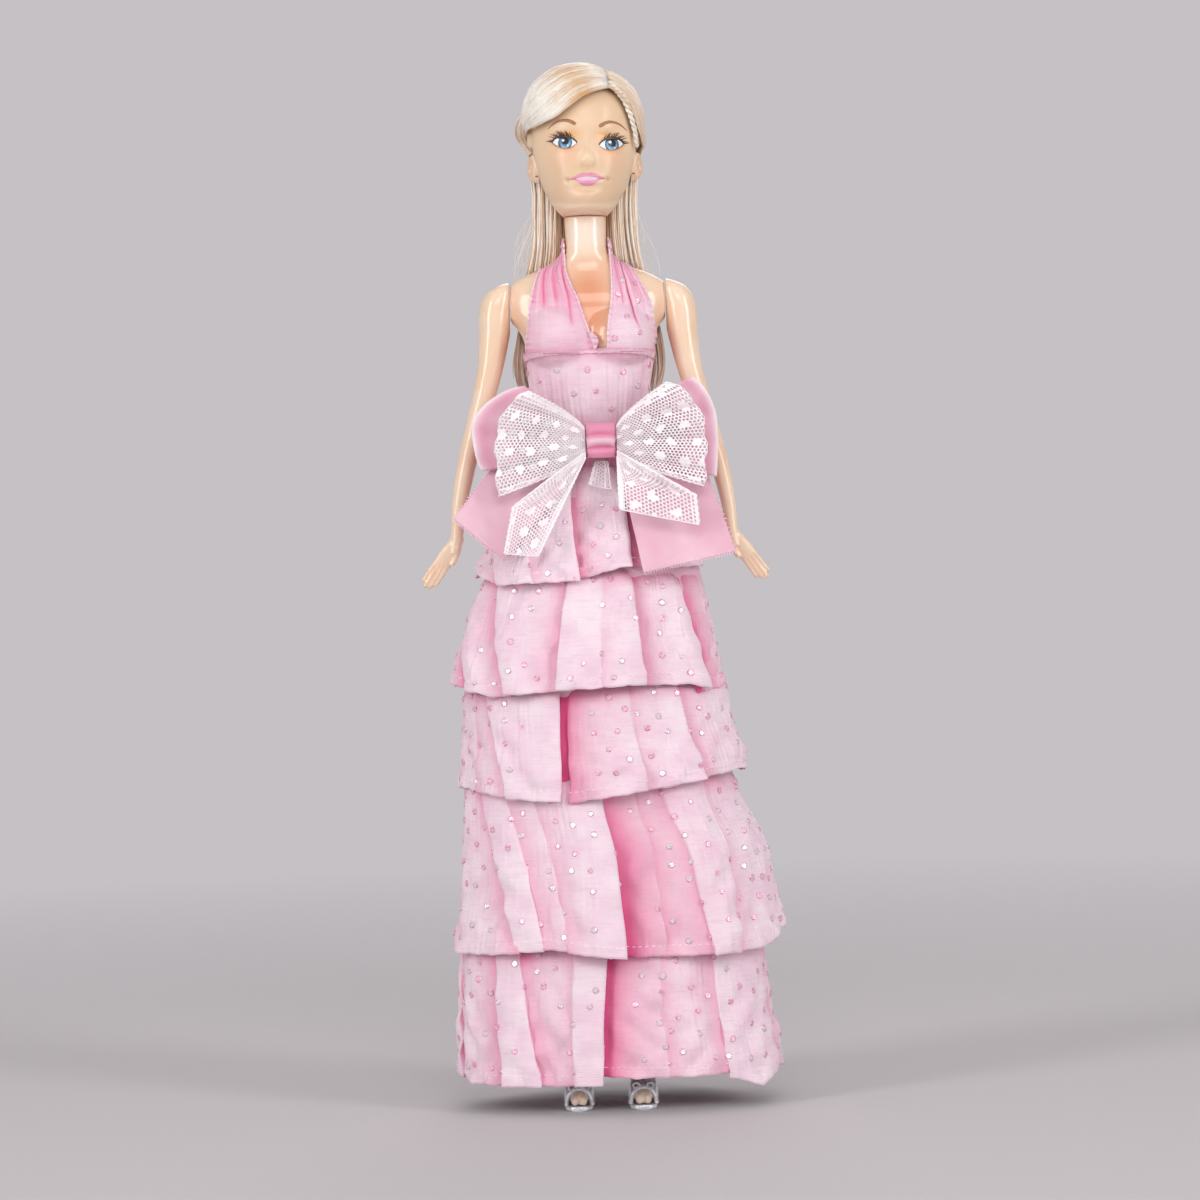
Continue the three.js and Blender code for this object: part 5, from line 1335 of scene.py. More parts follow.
def add_lace(name, surface, width, seed, body, along_u, replaced, cut_end=False):
    if along_u:
        to_u, length = unrolled(surface)
        at = lambda s, t: surface(to_u(s), t / width)
    else:
        to_v, length = unrolled(lambda a, b: surface(b, a))
        at = lambda s, t: surface(1 - t / width, to_v(s))
    points, faces = hexagon_net(at, length, width, seed)
    obj = mesh_object(name, points, faces, lace_white, thick=LACE)
    obj.data.polygons.foreach_set("use_smooth", [False] * len(obj.data.polygons))
    s = np.linspace(0, length, int(length / 0.3))
    cords = [
        cord_along(at, s, np.full_like(s, 0.1), scallop=1.7),
        cord_along(at, s, np.full_like(s, width - 0.1), scallop=1.7, inward=-1),
    ]
    cords += [cord_along(at, s, np.full_like(s, e), 0.16) for e in (1.15, width - 1.15)]
    if cut_end:
        t = np.linspace(0, width, int(width / 0.3))
        cords.append(tube(at(np.full_like(t, length), t), 0.2, 6, (0, 1, 0.01), CORD_FLAT))
    edging = mesh_object(name + "_edges", *joined(cords)[:2], lace_white)
    dress(obj, body, "lace", replaced)
    dress(edging, body, "lace")
    declare(obj, length * MM, CORDED_SHARE)


def add_satin(name, surface, us, vs, shade, body, replaced, ticks=()):
    points, faces, _ = surface_mesh(surface, us, vs, False)
    u, v = np.meshgrid(us, vs)
    uv = np.stack([u * 45, v * 30], -1)
    obj = mesh_object(name, points, faces, satin, uv, shade, thick=SATIN)
    dress(obj, body, "satin", replaced)
    if ticks:
        own = np.random.default_rng(17)
        parts = []
        for a, b in ticks:
            path, n = edge_path(surface, a, b)
            along = np.gradient(path, axis=0)
            inward = np.cross(n, along)
            inward = unit(inward)
            for c, i in zip(path, inward):
                wobble = own.normal(0, 0.07, 3)
                tip = c + i * (0.45 + own.uniform(0, 0.3)) + wobble
                parts.append(tube(np.array([c - i * 0.6, c, tip]), 0.17, 5, (0, 1, 0.02)))
        thread_piece(name + "_threads", parts, tick_thread, body, "satin")
    declare(obj)


def knot_surface(u, v):
    """The wrapped knot. u goes round it, v runs down."""
    u, v = np.broadcast_arrays(np.asarray(u, float), np.asarray(v, float))
    a = TAU * u
    t = 2 * v - 1
    full = np.sqrt(1 - 0.36 * t * t)
    front = smooth((-np.sin(a) + 0.2) / 0.6)
    folds = humps(
        v, (0.75, 0.52, 0.12), (-0.55, 0.33, 0.06), (-0.6, 0.7, 0.055), (0.45, 0.86, 0.1), (
            0.4, 0.12, 0.13
        )
    )
    folds = folds + 0.08 * np.sin(TAU * (7 * u + 2 * v))
    depth = KNOT_DEPTH / 2 * full + folds * front - 0.15
    width = (KNOT_WIDTH / 2 - 0.25 * v) * (0.93 + 0.07 * full) + 0.1 * np.sin(TAU * 3 * v)
    sag = 0.7 * np.cos(a) ** 2 * np.sin(math.pi * v) * front
    x = BOW_X + width * signed_power(np.cos(a), 0.6)
    y = BOW_BACK - KNOT_DEPTH / 2 + depth * signed_power(np.sin(a), 0.6)
    z = BOW_Z + KNOT_HEIGHT / 2 - KNOT_HEIGHT * v - sag * 0.6 + 0.3
    return np.stack([x, y, z], -1)


us, vs = evenly(121)[:-1], evenly(70)
points, faces, _ = surface_mesh(knot_surface, us, vs, True)
u, v = np.meshgrid(us, vs)
# Painted shade: a deep pink over the knot, deeper in its folds, with a pale painted highlight across its
# middle.
knot_shade = 0.62 + humps(v, (-0.62, 0.52, 0.1), (0.25, 0.7, 0.05), (0.12, 0.33, 0.05))
knot_uv, knot_shade = np.stack([u * 30, v * 10], -1), np.clip(knot_shade, 0, 0.95)
knot = mesh_object("bow_knot_wrap", points, faces, satin, knot_uv, knot_shade, thick=SATIN)
dress(knot, "torso", "satin", "bow_knot")
declare(knot)

for i, side_name in enumerate(("left", "right")):
    name = "satin_loop_" + side_name
    surface = loop_surface(name, 0.3, 0.3 + 0.4 * i)
    us, vs = evenly(150), evenly(64)
    u, v = np.meshgrid(us, vs)
    # Painted shade near the knot and beside the outer fold, and a painted highlight along the fold itself.
    shade = (
        0.3 * (1 - signed_power(np.sin(math.pi * u), 0.8))
        + humps(u, (0.3, 0.34, 0.05), (-0.9, 0.47, 0.045))
    )
    shade = shade + 0.04
    add_satin(name + "_cloth", surface, us, vs, shade, "torso", name)
edge = np.linspace(0.02, 0.99, 34)
cut_edges = [(np.full_like(edge[14:], 1.0), edge[14:]), (edge, np.full_like(edge, 1.0))]
for i, side_name in enumerate(("left", "right")):
    name = "satin_tail_" + side_name
    surface = tail_surface(name, 0.25, 0.2 + 0.3 * i)
    us, vs = evenly(80), evenly(80)
    u, v = np.meshgrid(us, vs)
    # Painted shade: deeper pink towards the knot, and a little more on the doll's left tail.
    shade = 0.07 + 0.05 * (1 - i) + 0.3 * (1 - v) ** 3
    add_satin(name + "_cloth", surface, us, vs, shade, "bend", name, cut_edges)
for i, side_name in enumerate(("left", "right")):
    name = "lace_loop_" + side_name
    add_lace(
        name + "_net",
        loop_surface(name, 2.0, 0.12 + 0.35 * i),
        28.0,
        60 + i,
        "torso",
        True,
        name,
    )
for i, (side_name, width) in enumerate((("left", 20.0), ("right", 15.0))):
    name = "lace_tail_" + side_name
    surface = tail_surface(name, 0.95, 0.1 + 0.4 * i)
    add_lace(name + "_net", surface, width, 70 + i, "bend", False, name, True)
add_lace("lace_end_net", short_end_surface, 5.6, 80, "bend", False, "lace_end", True)

# The head: a lofted form with the face in low relief, ears, and painted features laid on it

HEAD_BOTTOM, HEAD_HEIGHT = 253.3, 42.0
HEAD_HALF, HEAD_FACE, HEAD_BACK = 14.8, 14.0, 16.2
HEAD_LEAN = 0.4
FACE_TURN = 0.8
CROWN_DROP = 1.7
FACE_DROP = 1.7
# Each row: height, half width, depth of the face and of the back, as shares
HEAD_SHARES = np.array(
    [
        [0, 0.43, 0.5, 0.4], [0.012, 0.46, 0.74, 0.43], [0.03, 0.51, 0.87, 0.46],
        [0.06, 0.58, 0.925, 0.52], [0.1, 0.66, 0.955, 0.58], [0.165, 0.765, 0.975, 0.66],
        [0.225, 0.84, 0.985, 0.74], [0.3, 0.905, 0.99, 0.83], [0.36, 0.95, 1, 0.89],
        [0.42, 0.98, 1, 0.94], [0.49, 1, 0.99, 0.98], [0.57, 1, 0.98, 1], [0.66, 0.985, 0.955, 1],
        [0.76, 0.93, 0.88, 0.95], [0.85, 0.81, 0.74, 0.83], [0.92, 0.62, 0.55, 0.64],
        [0.97, 0.4, 0.34, 0.42], [1, 0.12, 0.1, 0.12],
    ]
)


# Forms of the face: how far each stands out, where it lies across as a share of the half
# width (on both sides, where it isn't 0) and how wide it is, and the same up the head
FACE_FORMS = (
    (0.5, 0, 0.13, 0.395, 0.055),
    (0.12, 0.105, 0.05, 0.372, 0.026),
    (0.3, 0, 0.2, 0.279, 0.014),
    (0.36, 0, 0.17, 0.234, 0.015),
    (-0.16, 0, 0.25, 0.256, 0.006),
    (-0.14, 0.4, 0.05, 0.257, 0.02),
    (-0.07, 0, 0.03, 0.318, 0.018),
    (-0.14, 0, 0.2, 0.19, 0.018),
    (0.42, 0, 0.24, 0.145, 0.05),
    (0.24, 0.55, 0.25, 0.34, 0.09),
    (-0.46, 0.44, 0.21, 0.525, 0.06),
    (0.42, 0.46, 0.14, 0.503, 0.036),
    (-0.1, 0.46, 0.18, 0.557, 0.011),
    (0.22, 0.45, 0.28, 0.61, 0.05),
)
FACE_RELIEF = 2.3


def face_relief(across, up):
    bridge = smooth((up - 0.37) / 0.06) * smooth((0.6 - up) / 0.14)
    out = 0.16 * hump(across, 0.09) * bridge
    for amount, x, wide, z, tall in FACE_FORMS:
        out = out + amount * hump(np.abs(across) - x, wide) * hump(up - z, tall)
    return FACE_RELIEF * out


def head_point(t, up, grow=0.0, face=True):
    """t is a turn from the doll's left, with 0.75 in front; up is the share of the head's height."""
    t, up = np.broadcast_arrays(np.asarray(t, float), np.asarray(up, float))
    row = row_at(HEAD_SHARES, up)
    a = TAU * t - 0.42 * np.cos(TAU * t)
    x, side = (row[..., 0] * HEAD_HALF + grow) * np.cos(a), np.sin(a)
    depth = np.where(side < 0, row[..., 1] * HEAD_FACE, row[..., 2] * HEAD_BACK) + grow
    out = 0 * x
    if face:
        relief = face_relief((x - FACE_TURN) / HEAD_HALF, up + FACE_DROP / HEAD_HEIGHT)
        out = relief * np.clip(-side, 0, 1)
    middle = HEAD_BOTTOM + HEAD_HEIGHT / 2
    tall = (HEAD_HEIGHT / 2 + grow) / (HEAD_HEIGHT / 2)
    z = middle + (up - 0.5) * HEAD_HEIGHT * tall - CROWN_DROP * np.clip((up - 0.6) / 0.4, 0, 1) ** 1.6
    return np.stack([x + HEAD_LEAN * np.clip(up / 0.3, 0, 1), depth * side - out, z], -1)


def vinyl(name, base, rough, coat, coat_rough):
    return material(
        name,
        base,
        rough,
        Coat_Weight=coat,
        Coat_Roughness=coat_rough,
        Subsurface_Weight=0.12,
        Subsurface_Scale=0.002,
        Subsurface_Radius=(1.0, 0.5, 0.28),
    )


def skin_material(name, base, light):
    m = vinyl(name, base, 0.4, 0.85, 0.1)
    where = place(m)
    cloudy = ramp(m, noise(m, where, 60, 3), 0.3, 0.72)
    body = mix(m, cloudy, base, light)
    # Painted light and shade: a negative shade paints the vinyl paler, a positive one a darker tan.
    skin_painted_light_and_shade = point_shade(m)
    body = mix(m, times(m, skin_painted_light_and_shade, -1.0), body, rgb(253, 243, 234))
    feed(m, "Base Color", mix(m, skin_painted_light_and_shade, body, rgb(226, 146, 104)))
    feed(m, "Normal", bump(m, noise(m, where, 1500, 2), 0.05, 0.00006))
    return m


SKIN = rgb(243, 208, 174)
SKIN_LIGHT = rgb(249, 224, 198)
skin = skin_material("vinyl_skin", SKIN, SKIN_LIGHT)


def face_paint_material():
    """The head's vinyl, whose colour goes by point: its printed makeup, and painted light where it is made
    paler.
    """
    m = vinyl("vinyl_face", SKIN, 0.42, 0.22, 0.2)
    where = place(m)
    paint = node(m, "Attribute", attribute_name="shade").outputs["Color"]
    cloudy = times(m, ramp(m, noise(m, where, 80, 3), 0.3, 0.7), 0.12)
    feed(m, "Base Color", mix(m, cloudy, paint, SKIN_LIGHT))
    feed(m, "Normal", bump(m, noise(m, where, 1500, 2), 0.05, 0.00006))
    return m


# Each eye: x, z and its side
EYES = ((-5.1, 274.8 - FACE_DROP, -1), (8.05, 274.0 - FACE_DROP, 1))
MOUTH = (1.0, 264.0 - 0.85 * FACE_DROP)
ts, ups = evenly(261)[:-1], evenly(230)
t, up = np.meshgrid(ts, ups)
head_points = head_point(t, up)
head_faces = grid_faces(len(ups), len(ts), True).tolist() + [list(range(len(ts)))[::-1]]
head_faces += [[(len(ups) - 1) * len(ts) + i for i in range(len(ts))]]
px, py, pz = head_points[..., 0], head_points[..., 1], head_points[..., 2]
paint = np.ones(px.shape + (3,)) * np.array(rgb(233, 199, 163)[:3])


# Lays a colour over the face, for printed makeup and for painted light.
def makeup_and_painted_light(colour, amount):
    global paint
    amount = np.clip(amount, 0, 1)[..., None] * (py < 3)[..., None]
    paint = paint * (1 - amount) + np.array(rgb(*colour)[:3]) * amount


def spot(x, wide, z, tall):
    return hump(px - x, wide) * hump(pz - z, tall)


# Blushes round each eye: colour, amount, and where from the eye's middle, x counted outwards
EYE_BLUSHES = (
    ((248, 176, 84), 0.95, -0.8, 3.0, 2.1, 1.3),
    ((240, 158, 110), 0.5, -0.6, 3.6, -2.2, 0.9),
    ((242, 176, 138), 0.35, -1.2, 2.6, -4.0, 1.2),
    ((246, 214, 176), 0.4, 2, 3.2, 3.6, 1.3),
    ((244, 186, 148), 0.3, 2.4, 3.2, -5.6, 2.4),
)
# Painted light: the sides of the face are painted paler.
makeup_and_painted_light((242, 213, 178), 0.75 * smooth((np.abs(px - HEAD_LEAN) - 7.5) / 6))
for ex, ez, s in EYES:
    for colour, amount, out, wide, rise, tall in EYE_BLUSHES:
        makeup_and_painted_light(colour, amount * spot(ex + s * out, wide, ez + rise, tall))
# A darker strip under the nose.
makeup_and_painted_light((228, 160, 122), 0.2 * spot(1.3, 1.8, 266.2, 0.4))
# Painted light: the chin's underside is painted paler, with a pinker strip along its edge by the neck.
makeup_and_painted_light((252, 228, 200), 0.8 * smooth((256.2 + 0.02 * (px - 0.6) ** 2 - pz) / 1.6))
makeup_and_painted_light((250, 204, 178), 0.6 * smooth((254.0 + 0.03 * (px - 0.6) ** 2 - pz) / 0.4))
# A darker spot under the lower lip.
makeup_and_painted_light((232, 172, 134), 0.2 * spot(1.1, 3.0, 258.9, 0.6))
# Painted highlight: a pale patch on the nose's tip.
makeup_and_painted_light((252, 226, 190), 0.6 * spot(1.3, 2.4, 268.4, 1.6))
# Darker spots at the mouth's corners.
for corner_x in (-4.5, 6.75):
    makeup_and_painted_light((196, 112, 84), 0.5 * spot(corner_x, 0.5, 262.5, 0.45))
face_vinyl = face_paint_material()
head = mesh_object("head_vinyl", head_points, head_faces, face_vinyl, shade=paint)
dress(head, "head", "skin", "head_shell")
face_tree = BVHTree.FromPolygons([tuple(p) for p in head_points.reshape(-1, 3)], head_faces)


def on_face(x, z, lift):
    out = []
    for a, b in zip(np.ravel(x), np.ravel(z)):
        hit, normal, _, _ = face_tree.ray_cast((float(a), -60.0, float(b)), (0, 1, 0))
        if hit is None:
            hit, normal = Vector((a, -2.0, b)), Vector((0, -1, 0))
        normal = -normal if normal.y > 0 else normal
        out.append(hit + normal * lift)
    return np.array(out)


def between(xs, low, high, lift, rows=7):
    z = low[None, :] + (high - low)[None, :] * evenly(rows)[:, None]
    x = np.broadcast_to(xs, z.shape)
    return on_face(x, z, lift), grid_faces(rows, len(xs))


def stroke(path, widths, lift):
    path, widths = np.asarray(path, float), np.asarray(widths, float)
    along = np.gradient(path, axis=0)
    along = unit(along)
    across = np.stack([-along[:, 1], along[:, 0]], -1)
    rows = np.stack([path + across * (widths / 2 * k)[:, None] for k in (-1, 0, 1)], 0)
    return on_face(rows[..., 0], rows[..., 1], lift), grid_faces(3, len(path))


def disc(cx, cz, radius, lift, clamp=None, rings=5, sides=28):
    r, a = np.meshgrid(np.linspace(0.02, 1, rings), circle(sides), indexing="ij")
    x, z = cx + radius * r * np.cos(a), cz + radius * r * np.sin(a)
    if clamp:
        z = np.clip(z, *clamp(x))
    faces = grid_faces(rings, sides, True).tolist() + [list(range(sides))]
    return on_face(x, z, lift), faces


def paint_piece(name, parts, m):
    return dress(mesh_object(name, *joined(parts)[:2], m, thick=0.03), "head", "skin")


def enamel(name, colour, dark, rough):
    m = material(name, colour, rough, Coat_Weight=0.3, Coat_Roughness=0.15)
    feed(m, "Base Color", mix(m, ramp(m, noise(m, place(m), 1300, 2), 0.35, 0.7), colour, dark))
    return m


# Each enamel: its colour, its darker one and its roughness
ENAMELS = {
    "eye_white": ((250, 250, 250), (236, 240, 244), 0.3),
    "iris_rim": ((44, 92, 122), (36, 78, 108), 0.3),
    "iris_blue": ((104, 158, 196), (82, 138, 182), 0.3),
    "iris_light": ((172, 214, 236), (148, 196, 222), 0.3),
    "eye_black": ((24, 20, 22), (34, 24, 22), 0.3),
    "lash_brown": ((52, 32, 24), (84, 50, 34), 0.3),
    "lash_gold": ((196, 128, 66), (176, 108, 58), 0.3),
    "brow_brown": ((166, 108, 68), (188, 134, 92), 0.5),
    "lip_pink": ((232, 158, 182), (226, 146, 172), 0.28),
    "lip_deep": ((240, 162, 196), (234, 150, 186), 0.26),
    "lip_edge": ((206, 110, 134), (196, 98, 122), 0.4),
    "teeth_white": ((255, 244, 250), (250, 232, 244), 0.2),
    "highlight_white": ((255, 255, 255), (246, 250, 255), 0.2),
}
enamels = {name: enamel(name, rgb(*a), rgb(*b), rough) for name, (a, b, rough) in ENAMELS.items()}

HALF_EYE = 3.5
RIM_RADIUS, IRIS_RADIUS, LIGHT_RADIUS, INNER_RADIUS, PUPIL_RADIUS = 1.98, 1.68, 1.28, 1.12, 1.05
BROW_ARCH = np.array([[-3.3, 4.9], [-1.6, 5.9], [0.1, 6.25], [1.9, 5.95], [3.4, 5.15], [4.6, 4.1]])
LIP_HALF, LIP_RISE, LIP_FALL = 4.85, 1.95, 1.9
e = np.linspace(-1, 1, 33)


def lids(ex, ez, s):
    upper = ez + 0.36 * e + 1.72 * (1 - np.abs(e) ** 2.3) ** 0.8 + 0.1 * e * (1 - e * e)
    lower = ez + 0.36 * e - 1.62 * (1 - np.abs(e) ** 2.2) ** 0.9
    return ex + s * HALF_EYE * e, lower, upper


whites, rims, blues, lights, blacks, glints, lines, golds, brows = [], [], [], [], [], [], [], [], []
for ex, ez, s in EYES:
    xs, lower, upper = lids(ex, ez, s)

    def clamp(x, ex=ex, s=s, lower=lower, upper=upper):
        k = (x - ex) / (s * HALF_EYE)
        return np.interp(k, e, lower) + 0.05, np.interp(k, e, upper) - 0.02

    whites.append(between(xs, lower, upper, 0.03))
    ix, iz = ex + 0.15, ez - 0.1
    rims.append(disc(ix, iz, RIM_RADIUS, 0.055, clamp))
    blues.append(disc(ix, iz, IRIS_RADIUS, 0.075, clamp))
    lights.append(disc(ix, iz - 0.38, LIGHT_RADIUS, 0.095, clamp))
    blues.append(disc(ix, iz - 0.08, INNER_RADIUS, 0.11, clamp))
    blacks.append(disc(ix + 0.05, iz + 0.42, PUPIL_RADIUS, 0.13, clamp))
    blacks.append(between(xs[9:-8], (upper - 0.62 + 0.3 * e * e)[9:-8], (upper + 0.05)[9:-8], 0.115))
    glints.append(disc(ix - 0.55, iz + 0.62, 0.4, 0.17))
    glints.append(disc(ix + 0.7, iz - 0.85, 0.2, 0.15))
    width = 0.24 + 0.5 * (1 - np.abs(e - 0.25) ** 1.6 * 0.55)
    lines.append(stroke(np.stack([xs, upper + 0.1], -1), width, 0.14))
    wing = evenly(8)
    path = np.stack([xs[-1] + s * 1.5 * wing, upper[-1] + 0.1 + 0.4 * wing**1.4], -1)
    lines.append(stroke(path, 0.45 * (1 - wing) + 0.04, 0.14))
    golds.append(stroke(np.stack([xs, lower - 0.06], -1), 0.12 + 0.16 * (e + 1) / 2, 0.12))
    path = np.stack([xs, upper + 0.95 + 0.12 * e], -1)
    golds.append(stroke(path[2:-2], 0.09 + 0.07 * (1 - e[2:-2] ** 2), 0.05))
    for i, k in enumerate(np.linspace(-0.55, 1.08, 11)):
        bx, bz = ex + s * HALF_EYE * k, np.interp(k, e, upper) + 0.1 + max(0, k - 1) * 0.6
        lean = 0.15 + 0.75 * (k + 0.5) + 0.12 * math.sin(i * 2.3)
        long = (1.6 + 0.6 * hump(k - 0.1, 0.6) + 0.2 * math.sin(i * 1.9)) * (1 if k < 0.9 else 0.8)
        g = evenly(7)
        out, rise = math.sin(lean) * g + 0.16 * g * g, math.cos(lean) * g - 0.1 * g * g
        path = np.stack([bx + s * long * out, bz + long * rise], -1)
        lines.append(stroke(path, 0.34 * (1 - g) ** 0.9 + 0.04, 0.16))
    for i, k in enumerate(np.linspace(-0.45, 0.95, 9)):
        bx, bz = ex + s * HALF_EYE * k, np.interp(k, e, lower) - 0.08
        g = evenly(5)
        path = np.stack([bx + s * 0.3 * (k + 0.3) * g, bz - 0.5 * g], -1)
        golds.append(stroke(path, 0.13 * (1 - g) + 0.02, 0.12))
    g = evenly(40)
    bx = np.interp(g, evenly(6), BROW_ARCH[:, 0])
    path = np.stack([ex + s * bx, ez + row_at(BROW_ARCH, bx)[..., 0]], -1)
    width = 0.95 * (1 - g) ** 0.75 * (0.6 + 0.4 * smooth(g / 0.06)) + 0.12
    brows.append(stroke(path, width, 0.05))

mx, mz = MOUTH
k = np.linspace(-1, 1, 41)
xs = mx + LIP_HALF * k
line_z = mz + 0.08 - 0.16 * (1 - k * k) + 0.1 * k**4
cupid = LIP_RISE * (1 - np.abs(k) ** 1.55) - 0.42 * hump(k, 0.12)
under = LIP_FALL * np.clip(1 - (np.abs(k) / 0.74) ** 2.1, 0, 1)
upper_lip = between(xs, line_z, line_z + cupid, 0.05)
lower_lip = between(xs, line_z - under - 0.02, line_z, 0.055)
teeth = between(
    xs[7:-7], (line_z - 0.42 * (1 - k * k))[7:-7], (line_z + 0.62 * (1 - (k / 0.72) ** 2))[7:-7], 0.08
)
mouth_edges = [stroke(np.stack([xs, line_z - 0.02], -1), 0.05 + 0.16 * np.abs(k) ** 3, 0.1)]
low = np.full(15, mz - 1.25)
high = mz - 1.25 + 0.3 * np.cos(np.linspace(-1.5, 1.5, 15))
lip_glow = between(mx + np.linspace(-1.9, 1.9, 15), low, high, 0.085)
PAINTED = (
    ("eye_whites", whites, "eye_white"),
    ("iris_rims", rims, "iris_rim"),
    ("irises", blues, "iris_blue"),
    ("iris_lights", lights, "iris_light"),
    ("pupils", blacks, "eye_black"),
    ("eye_glints", glints, "highlight_white"),
    ("upper_lashes", lines, "lash_brown"),
    ("lower_lashes", golds, "lash_gold"),
    ("eyebrows", brows, "brow_brown"),
    ("upper_lip", [upper_lip], "lip_pink"),
    ("lower_lip", [lower_lip], "lip_deep"),
    ("lip_line", mouth_edges, "lip_edge"),
    ("lip_gloss", [lip_glow], "lip_pink"),
    ("teeth_line", [teeth], "teeth_white"),
)
for name, parts, colour in PAINTED:
    paint_piece(name, parts, enamels[colour])

# Ears, each a shell with a rolled rim and a pierced lobe
EAR_X, EAR_Y, EAR_Z = 13.3, 1.3, 267.6
EAR_DEPTH, EAR_HEIGHT = 2.9, 4.4
EAR_RINGS, EAR_SIDES = 22, 44
for side, which in ((-1, "right"), (1, "left")):
    r, a = np.meshgrid(np.linspace(0.02, 1, EAR_RINGS), circle(EAR_SIDES), indexing="ij")
    rim = (
        0.5
        + 0.75 * hump(r - 0.76, 0.16)
        - 0.35 * hump(r, 0.42)
        + 0.45 * (np.sin(a) < 0) * hump(r - 0.5, 0.3)
    )
    edge = np.sqrt(np.clip(1 - r * r, 0, 1))
    narrow = 1 - 0.28 * np.clip(-np.sin(a), 0, 1)
    ear_points = np.stack(
        [
            side * (
                EAR_X + (1.9 + rim * 1.1 + 1.7 * r * np.cos(a)) * edge + 0.2 * np.sin(a) * r
            ) + HEAD_LEAN,
            EAR_Y + EAR_DEPTH * r * np.cos(a) * narrow - 0.6 * r * np.sin(a),
            EAR_Z + EAR_HEIGHT * r * np.sin(a),
        ],
        -1,
    )
    faces = grid_faces(EAR_RINGS, EAR_SIDES, True).tolist() + [list(range(EAR_SIDES))]
    # Painted shade in the ear's hollow, inside its rim.
    ear_shade = 0.05 + 0.4 * hump(r - 0.45, 0.2)
    ear = mesh_object("ear_" + which, ear_points, faces, skin, shade=ear_shade)
    dress(ear, "head", "skin")
    line = np.array([[side * 13.6, -0.1, 265.2], [side * 14.1, -0.95, 265.1]]) + [HEAD_LEAN, 0, 0]
    hole = mesh_object("ear_hole_" + which, *tube(line, 0.22, 8, (0, 0, 1)), enamels["brow_brown"])
    dress(hole, "head", "skin")

# The hair: a base form under many fine strands

HAIR_CENTRE = np.array([1.2, 1.5, 275.0])


def hair_material(name, pale, gold, rough=0.3):
    m = material(name, pale, rough, Coat_Weight=0.45, Coat_Roughness=0.22, Sheen_Weight=0.25)
    where = place(m)
    cloudy = ramp(m, noise(m, where, 240, 3), 0.35, 0.7)
    # The shade attribute runs the strands from pale to gold: the hair's own streaks, with painted highlights
    # and painted shade.
    shade = point_shade(m)
    base = mix(m, shade, pale, gold)
    feed(m, "Base Color", mix(m, times(m, cloudy, 0.25), base, gold))
    feed(m, "Normal", bump(m, noise(m, where, 2600, 2), 0.2, 0.0001))
    return m


FRINGE_COUNT, SIDE_COUNT, BACK_COUNT, CURL_COUNT, LOBE_COUNT, WISP_COUNT = 640, 420, 420, 240, 34, 46
blonde = hair_material("blonde_hair", rgb(255, 252, 243), rgb(214, 158, 86))
own = np.random.default_rng(21)


def strands(name, paths, radius, shade, body, *replaced, outward=None, flat=0.55, sides=4):
    """Many strands as one mesh. paths is n by k points; radius and shade go by point of them."""
    n, k, _ = paths.shape
    along = np.gradient(paths, axis=1)
    along = unit(along)
    out = paths - HAIR_CENTRE if outward is None else np.broadcast_to(outward, paths.shape)
    out = out - (out * along).sum(-1, keepdims=True) * along
    out = unit(out)
    width = np.cross(out, along)
    radius, shade = np.broadcast_to(radius, (n, k)), np.broadcast_to(shade, (n, k))
    a = TAU * (np.arange(sides) + 0.5) / sides
    ring = (
        width[:, :, None, :] * (radius[..., None] * np.cos(a))[..., None]
        + out[:, :, None, :] * (radius[..., None] * flat * np.sin(a))[..., None]
    )
    points = (paths[:, :, None, :] + ring).reshape(-1, 3)
    one = grid_faces(k, sides, True)
    ends = np.array([list(range(sides))[::-1], [(k - 1) * sides + i for i in range(sides)]])
    steps = (np.arange(n) * k * sides)[:, None, None]
    faces = (
        (one[None] + steps).reshape(-1, 4).tolist() + (ends[None] + steps).reshape(-1, sides).tolist()
    )
    obj = mesh_object(name, points, faces, blonde, shade=np.repeat(shade.reshape(-1), sides))
    return dress(obj, body, "hair", *replaced)


# The hairline by x in front, and behind the ear by y
HAIRLINE = np.array(
    [
        [-24, 272.6], [-16.4, 272.8], [-16.0, 274.5], [-15.2, 278.2], [-12, 279.8], [-9, 281.5],
        [-4.5, 285], [1.2, 287.8], [5.5, 289.7], [8.2, 290.4], [10.4, 288.2], [12.5, 285.4],
        [14.2, 280.9], [15.3, 276.4], [15.7, 272.8], [24, 272.6],
    ]
)
BEHIND_EAR = np.array(
    [[-1.5, 272.8], [1.3, 273.0], [3.8, 272.0], [4.8, 268.5], [5.5, 263.5], [6.5, 256]]
)
BASE_GROW = 1.3


def hairline_gap(points):
    """How far a point of the head lies inside the hairline, in millimetres."""
    x, y, z = points[..., 0], points[..., 1], points[..., 2]

    def gap(table, at):
        slope = (np.interp(at + 0.2, *table.T) - np.interp(at - 0.2, *table.T)) / 0.4
        return (z - np.interp(at, *table.T)) / np.sqrt(1 + slope**2)

    return np.where(y < -1.5, gap(HAIRLINE, x), gap(BEHIND_EAR, y))


# The base: the head's form, grown, dipping under the skin along the hairline
ts, ups = evenly(241)[:-1], evenly(130)
t, up = np.meshgrid(ts, ups)
gap = hairline_gap(head_point(t, up, BASE_GROW, False))
base_points = head_point(t, up, -0.5 + (BASE_GROW + 0.5) * smooth((gap + 0.2) / 1.2), False)
base_faces = grid_faces(len(ups), len(ts), True)
crown_face = [(len(ups) - 1) * len(ts) + i for i in range(len(ts))]
flat_points = base_points.reshape(-1, 3)
is_hair = (gap.reshape(-1)[base_faces].mean(1) > -0.6) & (
    flat_points[base_faces][:, :, 2].mean(1) > 259
)
kept = base_faces[is_hair].tolist() + [crown_face]
grown_points = head_point(t, up, BASE_GROW, False).reshape(-1, 3)
cap_tree = BVHTree.FromPolygons([tuple(p) for p in grown_points], base_faces.tolist() + [crown_face])
